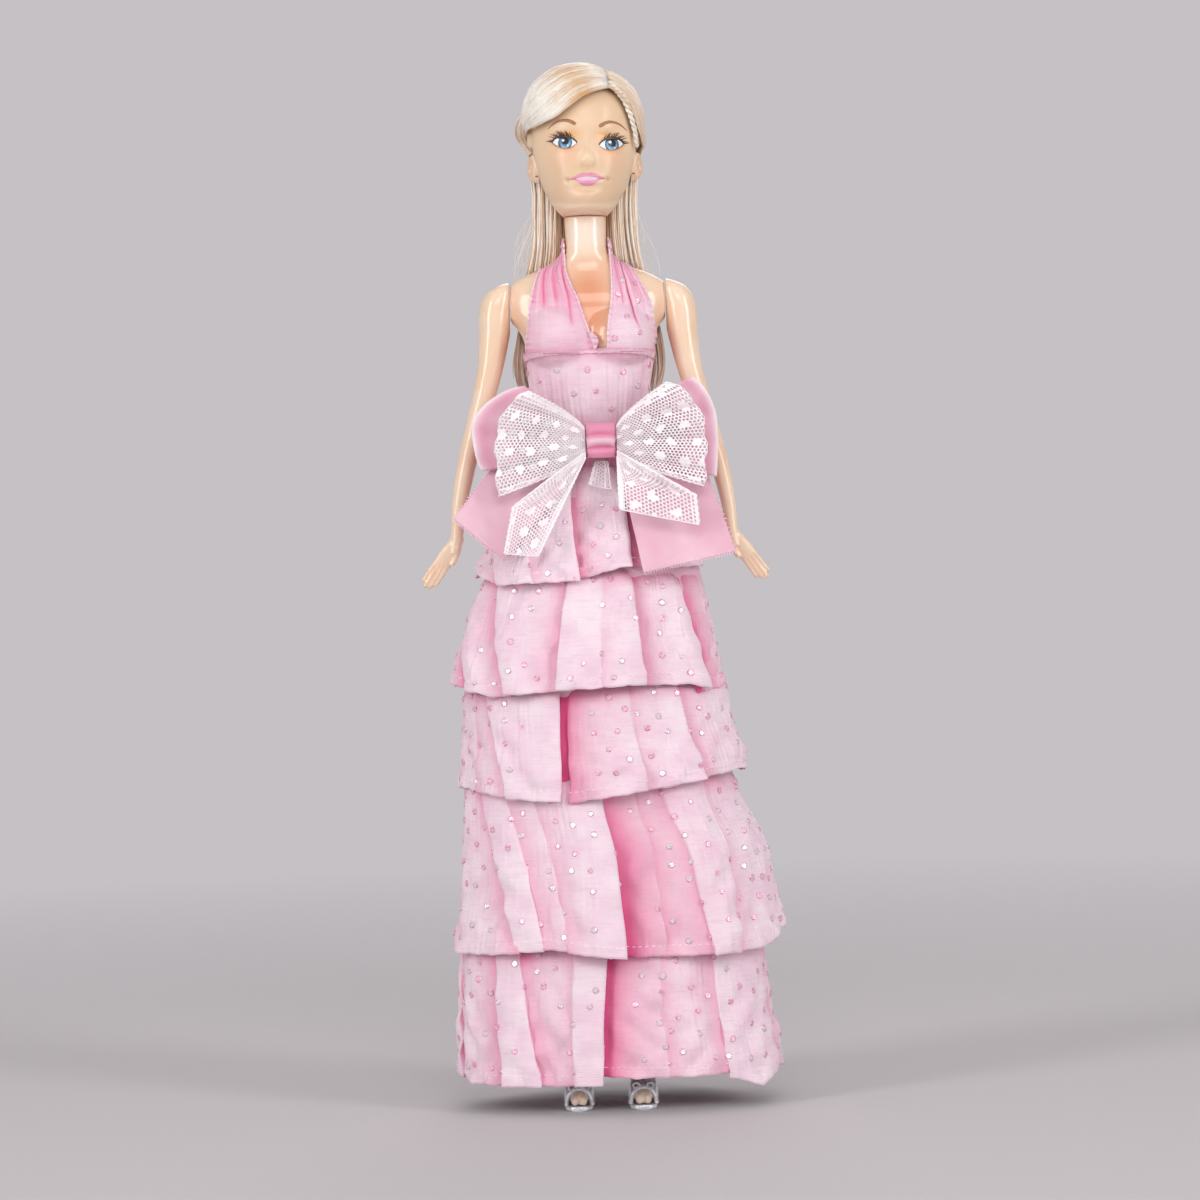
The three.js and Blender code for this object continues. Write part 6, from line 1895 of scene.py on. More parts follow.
used = np.unique(np.concatenate([np.array(f) for f in kept]))
place_of = np.full(len(flat_points), -1)
place_of[used] = np.arange(len(used))
base_outline = [[int(place_of[i]) for i in f] for f in kept]
base_shade = np.full(len(used), 0.55)
hair_base = mesh_object(
    "hair_base", flat_points[used], base_outline, blonde, shade=base_shade, thick=0.3
)
dress(hair_base, "head", "hair", "hair_cap")


def over_head(controls, count, lift, samples=18, spread=0.25):
    """Strands over the head through rows of control points, each row a line from a to b."""
    s = np.sort(own.uniform(0, 1, count))
    stops = [np.array(a)[None] * (1 - s)[:, None] + np.array(b)[None] * s[:, None] for a, b in controls]
    stops = np.stack(stops, 1) + own.normal(0, spread, (count, len(controls), 3))
    out = np.zeros((count, samples, 3))
    for j, q in enumerate(evenly(samples)):
        i = min(int(q * (len(controls) - 1)), len(controls) - 2)
        f = q * (len(controls) - 1) - i
        p0, p1 = stops[:, max(i - 1, 0)], stops[:, i]
        p2, p3 = stops[:, i + 1], stops[:, min(i + 2, len(controls) - 1)]
        bend, twist = 2 * p0 - 5 * p1 + 4 * p2 - p3, 3 * p1 - p0 - 3 * p2 + p3
        out[:, j] = 0.5 * (2 * p1 + (p2 - p0) * f + bend * f**2 + twist * f**3)
    lifts = own.uniform(0, 1, count)
    for i in range(count):
        for j in range(samples):
            d = Vector(out[i, j] - HAIR_CENTRE).normalized()
            hit = cap_tree.ray_cast(tuple(HAIR_CENTRE), d)[0]
            if hit is not None:
                rise = lift(s[i], j / (samples - 1)) + 0.5 * lifts[i]
                out[i, j] = np.array(hit + d * rise)
    return out, s, lifts


def taper(k, low=0.35):
    g = evenly(k)
    return low + (1 - low) * np.clip(np.minimum(g, 1 - g) * 8, 0, 1)


def fringe_painted_light(q, s):
    """Painted light on the swept hair: painted shade in a band past the parting and towards the strands'
    ends, paler painted highlights between them and at the parting.
    """
    middle = 0.27 + 0.1 * s[:, None]
    hair_painted_shade = 0.62 * hump(q[None] - middle, 0.11) + 0.5 * smooth((q[None] - 0.84) / 0.14)
    return hair_painted_shade - 0.16 * hump(q[None] - 0.6, 0.16) - 0.12 * hump(q[None] - 0.06, 0.08)


# The fringe, swept from the parting across the forehead to the doll's right temple
fringe_rows = [
    ((8.6, -12.5, 290.4), (5.0, 4.5, 299.0)), ((4.2, -14.5, 289.0), (0.5, 4.5, 299.5)),
    ((-1.8, -15.5, 285.4), (-7.0, 4.5, 297.5)), ((-7.5, -14.6, 280.7), (-14.0, 4.5, 292.5)),
    ((-13.0, -10.0, 278.7), (-17.5, 3.5, 285.5)), ((-16.6, -3.5, 278.2), (-17.0, 7.0, 279.0)),
    ((-16.0, 3.5, 274.6), (-14.0, 10.5, 272.0)),
]


def fringe_lift(s, q):
    swell = (1 - 0.8 * s * s) * min(1, 0.15 + s / 0.22)
    return 0.2 + (0.3 + 2.2 * swell) * math.sin(math.pi * min(1, q * 1.1)) ** 0.75


paths, s, _ = over_head(fringe_rows, FRINGE_COUNT, fringe_lift)
wave_shade = (
    0.04
    + 0.3 * np.sin(TAU * 5 * s + 1) * np.sin(TAU * 13 * s)
    + 0.25 * hump(s, 0.03)
    + 0.42 * smooth((s - 0.6) / 0.25)
)
# Painted light and shade along the fringe's strands, over their own streaks.
shade = np.clip(wave_shade[:, None] + fringe_painted_light(evenly(18), s), 0, 0.95)
strands("hair_fringe_strands", paths, 0.26 * taper(18), shade, "head", "hair_fringe")

# The side swept back from the parting to the doll's left, behind the twisted strand
side_rows = [
    ((8.3, -12.8, 290.4), (4.9, 5.0, 299.0)), ((11.1, -11.3, 287.4), (9.5, 6.5, 296.5)),
    ((13.4, -9.0, 282.7), (14.8, 8.5, 289.5)), ((14.9, -7.0, 277.7), (17.0, 10.0, 280.5)),
    ((15.8, -3.9, 273.6), (16.4, 11.0, 275.0)), ((16.2, 3.0, 272.9), (15.0, 11.8, 270.0)),
    ((14.8, 7.0, 266.0), (12.0, 12.5, 263.5)),
]


def side_lift(_, q):
    return 0.15 + 0.8 * math.sin(math.pi * min(1, q * 1.15)) ** 0.7


paths, s, _ = over_head(side_rows, SIDE_COUNT, side_lift)
shade = np.clip(0.38 + 0.28 * np.sin(TAU * 7 * s) * np.sin(TAU * 17 * s) + 0.2 * hump(s, 0.2), 0, 0.9)
strands("hair_side_strands", paths, 0.27 * taper(18), shade[:, None], "head")

# The back of the head, down to the nape
BACK_ROWS = {
    "right": [
        ((4.6, 2.0, 299), (3.5, 9, 297.5)), ((-8, 0.5, 297), (-3, 15.5, 292)),
        ((-15.5, 1.5, 289), (-5, 19, 284)), ((-17, 2.5, 279.5), (-4, 19.5, 275)),
        ((-14.5, 7.0, 266.5), (-3, 15.5, 262.5)),
    ],
    "left": [
        ((4.6, 2.0, 299), (3.5, 9, 297.5)), ((9.5, 1.5, 297.2), (5.5, 15.5, 292)),
        ((15, 3.0, 291), (7, 19, 284)), ((17.5, 4.5, 281), (6, 19.5, 275)),
        ((14.5, 8.5, 266.5), (4.5, 15.5, 262.5)),
    ],
}
for name, rows in BACK_ROWS.items():
    paths, s, lifts = over_head(
        rows, BACK_COUNT, lambda _, q: 0.1 + 0.35 * math.sin(math.pi * q), spread=0.4
    )
    shade = np.clip(0.42 + 0.28 * np.sin(TAU * 6 * s) * np.sin(TAU * 15 * s) + 0.15 * lifts, 0, 0.9)
    strands(f"hair_back_{name}_strands", paths, 0.3 * taper(18), shade[:, None], "head")

# The side roll: a lock curled back over the doll's right ear
g = evenly(30)
CURL = np.array(
    [
        [-12.8, -7.5, 281.8], [-16.2, -3.6, 281.2], [-17.4, 0.0, 278.4], [-16.7, 1.6, 275.2],
        [-15.2, 1.4, 272.0],
    ]
)
core = curve_at(evenly(5), CURL, g)
roll_paths = []
for _ in range(CURL_COUNT):
    a0 = own.uniform(0, TAU)
    w = own.uniform(0.3, 1.0) ** 0.5
    turn = a0 + 2.2 * g
    r = (0.45 + 1.7 * np.sin(math.pi * np.clip(g * 0.95 + 0.04, 0, 1)) ** 0.7) * w
    round_it = np.stack([r * np.cos(turn) * 0.9, 0.7 * r * np.sin(turn), r * np.sin(turn)], -1)
    roll_paths.append(core + round_it)
roll_paths = np.array(roll_paths)
shade = (
    0.04 + 0.3 * own.uniform(0, 1, (CURL_COUNT, 1)) + 0.3 * hump(g - 0.52, 0.12) + 0.2 * hump(g, 0.15)
)
shade = np.clip(shade, 0, 0.9)
strands(
    "hair_roll_strands",
    roll_paths,
    0.24 * taper(30),
    shade,
    "head",
    "hair_side_roll",
    outward=(-1, 0, 0.2),
)

# The twisted strand along the hairline at the doll's left
spine = []
for x, z in ((8.0, 290.3), (10.3, 287.8), (12.4, 285.1), (14.1, 280.7), (15.2, 276.2), (15.6, 272.0)):
    hit = cap_tree.ray_cast((x, -60.0, z), (0, 1, 0))[0]
    spine.append([x - 0.2, hit.y - 1.2, z])
spine = np.array(spine)
g = evenly(90)
core = np.stack([np.interp(g, evenly(6), spine[:, i]) for i in range(3)], -1)
for _ in range(4):
    core[1:-1] = (core[:-2] + core[1:-1] * 2 + core[2:]) / 4
lean = np.gradient(core, axis=0)
lean /= np.linalg.norm(lean, axis=1, keepdims=True)
side_way = np.cross(lean, np.array([0.5, -0.8, 0.2]))
side_way /= np.linalg.norm(side_way, axis=1, keepdims=True)
up_way = np.cross(side_way, lean)
twist_paths = []
for lobe in range(2):
    for _ in range(LOBE_COUNT):
        a0, w = own.uniform(0, TAU), own.uniform(0.1, 0.44)
        turn = TAU * 6.5 * g + lobe * math.pi
        swell = 1.0 - 0.45 * g**4
        off = 0.4 * swell
        x = off * np.cos(turn) + w * swell * np.cos(a0 + turn * 0.3)
        y = off * np.sin(turn) + w * swell * np.sin(a0 + turn * 0.3)
        twist_paths.append(core + side_way * x[:, None] + up_way * y[:, None])
shade = 0.02 + 0.12 * own.uniform(0, 1, (2 * LOBE_COUNT, 1))
strands(
    "hair_twist_strands",
    np.array(twist_paths),
    0.19 * taper(90),
    shade,
    "head",
    "hair_twist",
    outward=(0.3, -1, 0.1),
)

# The long fall behind the shoulders
# Each row: share of the way down, half width, and how far back the fall reaches
FALL = np.array(
    [
        [0, 15.5, 16.6], [0.1, 14.6, 16.4], [0.22, 14.6, 16.0], [0.36, 15.2, 16.0],
        [0.52, 17.6, 16.2], [0.7, 20.2, 16.4], [0.86, 21.2, 16.4], [1, 19.0, 15.8],
    ]
)
FALL_TOP, FALL_LENGTH = 268.5, 68.0


def fall_paths(count, seed, least, most):
    """Strands hanging between the neck and the back; least and most say how far back they lie."""
    own = np.random.default_rng(seed)
    g = evenly(26)
    across = own.uniform(-1, 1, count)
    across = signed_power(across, 0.8 if least == 0 else 1)
    deep = own.uniform(least, most, count)
    length = own.uniform(0.88, 1.04, count)
    out = np.zeros((count, 26, 3))
    for i in range(count):
        down = g * length[i]
        row = row_at(FALL, np.clip(down, 0, 1))
        opened = smooth(down / 0.25)
        x = across[i] * row[:, 0] + 0.45 * np.sin(TAU * (g * 1.6 + across[i] * 3)) * g
        x = x + own.normal(0, 0.25) + HEAD_LEAN * (1 - opened)
        narrow = 0.98 - 0.06 * opened
        round_off = np.sqrt(np.clip(1 - (across[i] * narrow) ** 2, 0, 1))
        share = 0.12 + 0.23 * opened
        y_front = 4.2 + 3.2 * smooth((8.5 - np.abs(x)) / 4)
        z = FALL_TOP - FALL_LENGTH * down
        up = np.clip((z - TORSO_BOTTOM) / TORSO_HEIGHT, 0, 1)
        half = row_at(TORSO_SHARES, up)
        inside = np.clip(1 - (x / (half[:, 0] * TORSO_HALF + 1)) ** 2, 0, 1) ** 0.5
        back = HIP_Y + inside * half[:, 2] * TORSO_BACK + 1.9
        near = np.maximum(y_front, np.where(z < 252, back, y_front))
        y = near + (row[:, 1] * (share + (1 - share) * round_off) - near) * deep[i]
        out[i] = np.stack([x, np.maximum(y, near), z], -1)
        sway = 0.22 * np.sin(TAU * g * 2.2 + own.uniform(0, TAU))[:, None]
        out[i] += sway * np.array([1, 0.5, 0]) * g[:, None] ** 0.5
    return out, across


def from_crown(paths, seed):
    """The outermost strands start at the crown and follow the head down to the fall."""
    own = np.random.default_rng(seed)
    joined_paths = []
    for path in paths:
        away = path[0] - HAIR_CENTRE
        turn = math.atan2(away[0], away[1])
        rise = own.uniform(0.45, 1.0)
        over = []
        for tilt in np.radians(np.linspace(84, 5, 14)):
            d = Vector(
                (math.sin(turn) * math.cos(tilt), math.cos(turn) * math.cos(tilt), math.sin(tilt))
            )
            d = (d + Vector((0.16, 0.1, 0)) * math.sin(tilt)).normalized()
            hit = cap_tree.ray_cast(tuple(HAIR_CENTRE), d)[0]
            over.append(np.array(hit + d * rise * min(1.0, 0.3 + (84 - math.degrees(tilt)) / 30)))
        joined_paths.append(np.concatenate([over, path[1:]]))
    return np.array(joined_paths)


# The last argument is painted shade; where it is negative it paints the strands paler.
def fall_shade(across, g, hair_painted_shade):
    streaks = 0.26 * np.sin(across * 31)[:, None] * np.sin(across * 83)[:, None]
    return np.clip(0.4 + streaks + hair_painted_shade[:, None] + 0.1 * g[None], 0, 0.95)


g = evenly(26)
paths, across = fall_paths(460, 5, 0, 0.5)
# Painted shade beside the neck, and painted light over the whole front layer.
hair_painted_shade = 0.3 * hump(np.abs(across) - 0.48, 0.12) - 0.14
radius = 0.42 * taper(26, 0.2) * (1 - 0.35 * g)
shade = fall_shade(across, g, hair_painted_shade)
strands("hair_fall_front_strands", paths, radius, shade, "fall", outward=(0, -1, 0))
paths, across = fall_paths(320, 6, 0.4, 0.85)
# A little painted light over the middle layer.
shade = fall_shade(across, g, 0 * across - 0.05)
strands("hair_fall_middle_strands", paths, radius, shade, "fall", outward=(0, 1, 0))
paths, across = fall_paths(560, 7, 0.86, 1)
paths = from_crown(paths, 8)
g = evenly(paths.shape[1])
radius = 0.36 * taper(len(g), 0.2) * (1 - 0.3 * g)
strands("hair_fall_rear_strands", paths, radius, fall_shade(across, g, 0 * across), "fall", "hair_fall")

# Fine flyaway hairs
g = evenly(22)
wisps = []
for i in range(WISP_COUNT):
    side = -1 if i % 3 else 1
    start = np.array([side * own.uniform(12.5, 15), own.uniform(4, 9), own.uniform(238, 262)])
    reach = own.uniform(2.5, 8.5)
    bend = own.uniform(-2.5, 2.5)
    x = side * reach * np.sin(math.pi * 0.62 * g) * g**0.5
    z = -own.uniform(12, 26) * g + bend * np.sin(TAU * g) * 0.35
    wisps.append(start + np.stack([x, 0.8 * bend * g * (1 - g), z], -1))
strands("hair_wisps", np.array(wisps), 0.07 * taper(22), 0.15, "fall", outward=(0, -1, 0), flat=1.0)

# The body's vinyl parts


VOXEL = 0.27


def remeshed(name, parts, voxel, rounds, shade_of, fix=None):
    """Closed parts made into one smooth skin."""
    raw = mesh_object(name + "_raw", *joined(parts)[:2], skin)
    grid = raw.modifiers.new("one_skin", "REMESH")
    grid.mode, grid.voxel_size = "VOXEL", voxel * MM
    soft = raw.modifiers.new("soft", "SMOOTH")
    soft.factor, soft.iterations = 0.5, rounds
    mesh = bpy.data.meshes.new_from_object(raw.evaluated_get(bpy.context.evaluated_depsgraph_get()))
    points = np.zeros(len(mesh.vertices) * 3)
    mesh.vertices.foreach_get("co", points)
    points = points.reshape(-1, 3) / MM
    faces = [list(p.vertices) for p in mesh.polygons]
    bpy.data.meshes.remove(mesh)
    bpy.data.objects.remove(raw)
    points = fix(points) if fix else points
    return mesh_object(name, points, faces, skin, shade=shade_of(points))


def solid_of_rings(rings):
    """A closed form through rings of the same number of points, with capped ends."""
    rings = np.asarray(rings, float)
    rows, columns = rings.shape[:2]
    faces = grid_faces(rows, columns, True).tolist()
    faces += [list(range(columns))[::-1], [(rows - 1) * columns + i for i in range(columns)]]
    return rings.reshape(-1, 3), faces


def ellipsoid(centre, radii, rings=16, sides=24):
    t, a = np.meshgrid(np.linspace(0.02, 0.98, rings) * math.pi, circle(sides), indexing="ij")
    shape = np.stack([np.sin(t) * np.cos(a), np.sin(t) * np.sin(a), np.cos(t)], -1)
    return solid_of_rings(np.array(centre) + shape * np.array(radii))


# The torso, with the neck, and the round of the crotch under it
turns = np.arange(160) / 160
heights = np.concatenate(
    [np.linspace(161.8, 225, 70), np.linspace(225.4, 242, 70), np.linspace(242.3, 253, 22)]
)
t, z = np.meshgrid(turns, heights)
rings = torso_point(t, z)
rings[..., 0] = np.clip(rings[..., 0], -TORSO_HALF, TORSO_HALF)
half = torso_half(heights)
edge = np.abs(rings[..., 0]) / np.minimum(half, TORSO_HALF)[:, None]
x = np.abs(rings[..., 0])
# Painted shade at the neck's sides, under the chin, by the armpits and on the chest between the cups;
# painted light over the middle of the neck and upper chest.
torso_shade = (
    0.42 * edge**5 * (z > 236)
    + 0.3 * smooth((z - 249.5) / 3.5)
    + 0.3 * hump(x - 20, 2.5) * hump(z - 226, 5)
)
torso_shade = torso_shade - 0.5 * smooth((z - 238) / 11) * (1 - edge**5)
chest = hump(rings[..., 0] - 0.6, 8) * smooth((z - 212) / 10) * smooth((247 - z) / 16)
torso_shade = torso_shade + 0.92 * chest * np.clip(-2 * np.sin(TAU * t), 0, 1)
torso_points, torso_faces = solid_of_rings(rings)
a = math.pi * evenly(24)
arc = np.stack([-CROTCH_HALF * np.cos(a), -CROTCH_HALF * np.sin(a)], -1)
outline = np.concatenate([arc, [[CROTCH_HALF, CROTCH_RISE], [-CROTCH_HALF, CROTCH_RISE]]])
bar = [
    np.stack([np.full(len(outline), x), HIP_Y + outline[:, 0] * k, HIP_Z + outline[:, 1] * k], -1)
    for x, k in ((-6.1, 0.93), (-5.2, 1), (5.2, 1), (6.1, 0.93))
]
bar_points, bar_faces = solid_of_rings(bar)
points, faces = joined([(torso_points, torso_faces), (bar_points, bar_faces)])[:2]
shade = np.concatenate([np.clip(torso_shade, -0.6, 0.92).ravel(), np.full(len(bar_points), 0.2)])
torso = mesh_object("torso_vinyl", points, faces, skin, shade=shade)
dress(torso, "torso", "skin", "torso_front", "torso_back")

# The arms
# Each row: share of the way down, how far out and how far forward, radius across and deep
ARM_ROWS = np.array(
    [
        [-0.097, -0.28, 0, 0.06, 0.08], [-0.09, -0.26, 0, 0.32, 0.38], [-0.074, -0.18, 0, 0.64, 0.72],
        [-0.035, -0.08, 0, 0.94, 1.02], [0.02, -0.01, 0, 1.03, 1.14], [0.12, 0.04, 0, 0.95, 1.06],
        [0.24, 0.13, 0.1, 0.82, 0.9], [0.38, 0.3, 0.2, 0.73, 0.79], [0.5, 0.48, 0.3, 0.67, 0.71],
        [0.6, 0.63, 0.4, 0.62, 0.68], [0.72, 0.78, 0.6, 0.57, 0.61], [0.86, 0.92, 0.85, 0.46, 0.49],
        [1, 1, 1, 0.37, 0.42], [1.05, 1.04, 1, 0.36, 0.46],
    ]
)
ARM_LINE, ARM_SPREAD, ARM_BEND, ARM_RADIUS, ARM_LENGTH, SHOULDER_Z = 26.324, 13.1, 2.6, 4.7, 67.0, 228.5
ARM_INNER = 22.35
# The palm: how far along it, half its width and its depth, as shares
PALM = np.array(
    [
        [-0.24, 0.3, 0.6], [-0.14, 0.37, 0.66], [0.2, 0.43, 0.6], [0.62, 0.51, 0.52], [1, 0.48, 0.42],
        [1.1, 0.38, 0.28],
    ]
)
PALM_LENGTH, PALM_HALF, PALM_DEPTH, FINGER_LENGTH, THUMB_LENGTH, THUMB_RADIUS = 7.6, 4.8, 2.4, 9.4, 5.6, 0.95
HAND_SPREAD = 0.6
# Fingers: where across the palm each starts, its fan, its share of the length and its radius
FINGERS = (
    (-0.33, -0.03, 0.82, 0.72), (-0.11, -0.005, 0.96, 0.8), (0.112, 0.02, 1.0, 0.82),
    (0.335, 0.055, 0.88, 0.76),
)


def fingertip(g, room):
    return np.sqrt(np.clip((1.02 - g) / room, 0.06, 1))


def arm_parts(side):
    """The arm, the palm, the four fingers and the thumb, as closed forms that meet."""
    down = np.concatenate([np.linspace(-0.097, 0.0, 26), np.linspace(0.012, 1.05, 84)])
    row = row_at(ARM_ROWS, down)
    a = circle(40)
    x = ARM_LINE + row[:, 0] * ARM_SPREAD
    x = x[:, None] + (row[:, 2] * ARM_RADIUS)[:, None] * np.cos(a)
    y = (HIP_Y - row[:, 1] * ARM_BEND)[:, None] + (row[:, 3] * ARM_RADIUS)[:, None] * np.sin(a)
    z = (SHOULDER_Z - down * ARM_LENGTH)[:, None] + 0 * a
    parts = [solid_of_rings(np.stack([side * np.maximum(x, ARM_INNER), y, z], -1))]
    onward = np.array([side * math.sin(HAND_SPREAD), -0.08, -math.cos(HAND_SPREAD)])
    sideways = np.array([side * math.cos(HAND_SPREAD), 0, math.sin(HAND_SPREAD)])
    palm_out = np.cross(onward, sideways) * side
    wrist = np.array([side * (ARM_LINE + ARM_SPREAD), HIP_Y - ARM_BEND, SHOULDER_Z - ARM_LENGTH])

    def at(along, across, out=0.0):
        return wrist + onward * along + sideways * across + palm_out * out

    lengths = np.linspace(-0.24, 1.1, 20)
    squarish, rings = signed_power(np.cos(a), 0.8), []
    for k, (wide, deep) in zip(lengths, row_at(PALM, lengths)):
        half, thick = PALM_HALF * wide, PALM_DEPTH * deep
        rings.append([at(PALM_LENGTH * k, half * c, thick * s) for c, s in zip(squarish, np.sin(a))])
    parts.append(solid_of_rings(rings))
    g = evenly(14)
    for across, fan, share, radius in FINGERS:
        base, long = PALM_LENGTH * 0.86, FINGER_LENGTH * share
        path = [
            at(
                base + long * t * math.cos(fan),
                PALM_HALF * across + long * t * math.sin(fan),
                0.1 - 0.9 * t * t,
            )
            for t in g
        ]
        swell = radius * (1 - 0.22 * g + 0.07 * hump(g - 0.45, 0.08)) * fingertip(g, 0.1)
        parts.append(tube(path, swell, 14, sideways))
    path = [
        at(
            PALM_LENGTH * 0.2 + THUMB_LENGTH * t * 0.92,
            -PALM_HALF * (0.3 + 0.36 * t - 0.1 * t * t),
            0.9 * t,
        )
        for t in g
    ]
    parts.append(tube(path, THUMB_RADIUS * (1.15 - 0.4 * g) * fingertip(g, 0.12), 14, sideways))
    return parts


# Painted shade: darker on the inner side of the arm, facing the body. The arm is also darker in a band below
# the elbow and over the hands.
def arm_shade(points):
    down = np.clip((SHOULDER_Z - points[:, 2]) / ARM_LENGTH, -0.09, 1.0)
    row = row_at(ARM_ROWS, down)
    across = (np.abs(points[:, 0]) - ARM_LINE - row[:, 0] * ARM_SPREAD) / (row[:, 2] * ARM_RADIUS)
    inner = 0.5 * smooth((-across - 0.25) / 0.8) * smooth((points[:, 2] - 158) / 6)
    return np.clip(
        inner + 0.12 * hump(points[:, 2] - 185, 5) + 0.14 * smooth((160 - points[:, 2]) / 8), 0, 0.8
    )


for side, which in ((1, "left"), (-1, "right")):
    arm = remeshed(f"arm_vinyl_{which}", arm_parts(side), VOXEL, 5, arm_shade)
    dress(arm, f"arm_{which}", "skin", f"arm_{which}")

# The legs and feet, which the gown mostly hides
# Each row: share of the height, half width, half depth and how far back, as shares
LEG_ROWS = np.array(
    [
        [0.15, 0.36, 0.34, 0.12], [0.18, 0.335, 0.335, 0.12], [0.23, 0.36, 0.37, 0.12],
        [0.3, 0.46, 0.47, 0.14], [0.38, 0.6, 0.62, 0.17], [0.46, 0.69, 0.7, 0.16],
        [0.53, 0.68, 0.67, 0.08], [0.585, 0.7, 0.68, -0.02], [0.64, 0.74, 0.74, -0.02],
        [0.74, 0.86, 0.86, 0], [0.84, 0.96, 0.96, 0.02], [0.92, 1, 1, 0.04], [1, 0.98, 1, 0.05],
    ]
)
# Each row: how far forward, how high, half width, and height as a share of the half width
FOOT_ROWS = np.array(
    [
        [-0.11, 1.06, 0.39, 1.1], [-0.07, 0.92, 0.4, 1.24], [0.05, 0.74, 0.42, 1.3],
        [0.26, 0.52, 0.43, 1.06], [0.5, 0.33, 0.45, 0.82], [0.72, 0.187, 0.39, 0.7],
        [0.86, 0.142, 0.31, 0.66], [0.91, 0.132, 0.22, 0.7],
    ]
)
LEG_HALF, LEG_DEPTH = 9.2, 10.6
FOOT_X, FOOT_LENGTH, FOOT_HEIGHT, FOOT_HALF = 9.1, 16.6, 22.5, 8.0
# The round of the hip: how far out, and its radius
HUB_ROWS = ((6.45, 10.4), (7.1, 11.0), (17.6, 11.0), (18.5, 10.2), (18.8, 8.6))
# The top of the sole by y, and its outline from toe to heel
SOLE_TOP = np.array([[-16.6, 1.4], [-10.62, 1.4], [-7.64, 2.84], [-3.32, 7.45], [2, 14.36], [8, 15.8]])
PLAN = np.array(
    [
        [-1, 0.3], [-0.97, 0.6], [-0.86, 0.92], [-0.68, 1], [-0.46, 0.94], [-0.1, 0.7], [0.14, 0.64],
        [0.34, 0.66], [0.46, 0.56], [0.52, 0.3],
    ]
)


def sole_height(y):
    return np.interp(y, SOLE_TOP[:, 0], SOLE_TOP[:, 1])


def above_sole(points):
    y, z = points[:, 1], points[:, 2]
    points[:, 2] = np.maximum(z, np.where(y < 7.9, sole_height(y) + 0.25, z))
    return points


# Painted light: the toes, in the shade of the toe band, are painted paler.
def foot_shade(points):
    return 0.1 - 0.4 * smooth((5.5 - points[:, 2]) / 1.5)


def foot_point(side, turn, share, grow=0.0):
    """A point on the foot's own tube, for the straps that lie on it."""
    row, more, less = [
        curve_at(evenly(len(FOOT_ROWS)), FOOT_ROWS, np.clip(share + d, 0, 1)) for d in (0, 0.01, -0.01)
    ]
    ahead, rise = (more[..., 0] - less[..., 0]) * FOOT_LENGTH, (
        more[..., 1] - less[..., 1]
    ) * FOOT_HEIGHT
    along = np.stack([0 * ahead, -ahead, rise], -1)
    along = unit(along)
    up = np.stack([0 * row[..., 0], -along[..., 2], along[..., 1]], -1)
    up = np.where(up[..., 2:3] < 0, -up, up)
    half = row[..., 2] * FOOT_HALF
    centre = np.stack(
        [side * FOOT_X + 0 * row[..., 0], -row[..., 0] * FOOT_LENGTH, row[..., 1] * FOOT_HEIGHT], -1
    )
    a = TAU * turn
    return (
        centre
        + up * ((half * row[..., 3] + grow) * np.sin(a))[..., None]
        + np.array([1.0, 0, 0]) * ((half + grow) * np.cos(a))[..., None]
    )


def leg_rings(side, ups):
    row = row_at(LEG_ROWS, ups)
    a = circle(48)
    middle = (18.2 + 2 * (ups - 0.15) / 0.85) / 2
    x = middle[:, None] + (row[:, 0] * LEG_HALF)[:, None] * np.cos(a)
    y = (HIP_Y + row[:, 2] * LEG_DEPTH)[:, None] + (row[:, 1] * LEG_DEPTH)[:, None] * np.sin(a)
    z = (ups * HIP_Z)[:, None] + 0 * a
    least = 0.4 + 6.0 * smooth((z - 132) / 8)
    return np.stack([side * np.maximum(x, least), y, z], -1)


for side, which in ((1, "left"), (-1, "right")):
    a = circle(64)
    hub = [
        np.stack([np.full(64, side * x), HIP_Y + r * np.cos(a), HIP_Z + r * np.sin(a)], -1)
        for x, r in HUB_ROWS
    ]
    thigh = solid_of_rings(leg_rings(side, np.linspace(0.28, 1.0, 90)))
    points, faces, _ = joined([thigh, solid_of_rings(hub)])
    leg = mesh_object(f"leg_vinyl_{which}", points, faces, skin, shade=np.full(len(points), 0.1))
    dress(leg, f"leg_{which}", "skin", f"leg_{which}")
    x = side * FOOT_X
    path = np.stack([np.full(8, x), -FOOT_ROWS[:, 0] * FOOT_LENGTH, FOOT_ROWS[:, 1] * FOOT_HEIGHT], -1)
    fine = evenly(40)
    path = curve_at(evenly(8), path, fine)
    rows = curve_at(evenly(8), FOOT_ROWS[:, 2:], fine)
    parts = [
        solid_of_rings(leg_rings(side, np.linspace(0.15, 0.3, 24))),
        tube(path, rows[:, 0] * FOOT_HALF, 36, (0, -0.5, 0.86), rows[:, 1]),
        ellipsoid((x, 3.6, 18.28), (2.6, 3.4, 3.8)),
        ellipsoid((x - side * 1.14, -14.9, 2.95), (1.2, 1.5, 1.5)),
        ellipsoid((x + side * 1.14, -14.8, 2.95), (1.16, 1.5, 1.5)),
    ]

    foot = remeshed(f"foot_vinyl_{which}", parts, VOXEL, 4, foot_shade, above_sole)
    dress(foot, f"leg_{which}", "skin", f"leg_{which}")

# The sandals: an arched sole on a high heel, a toe band, instep straps, rings and an ankle strap


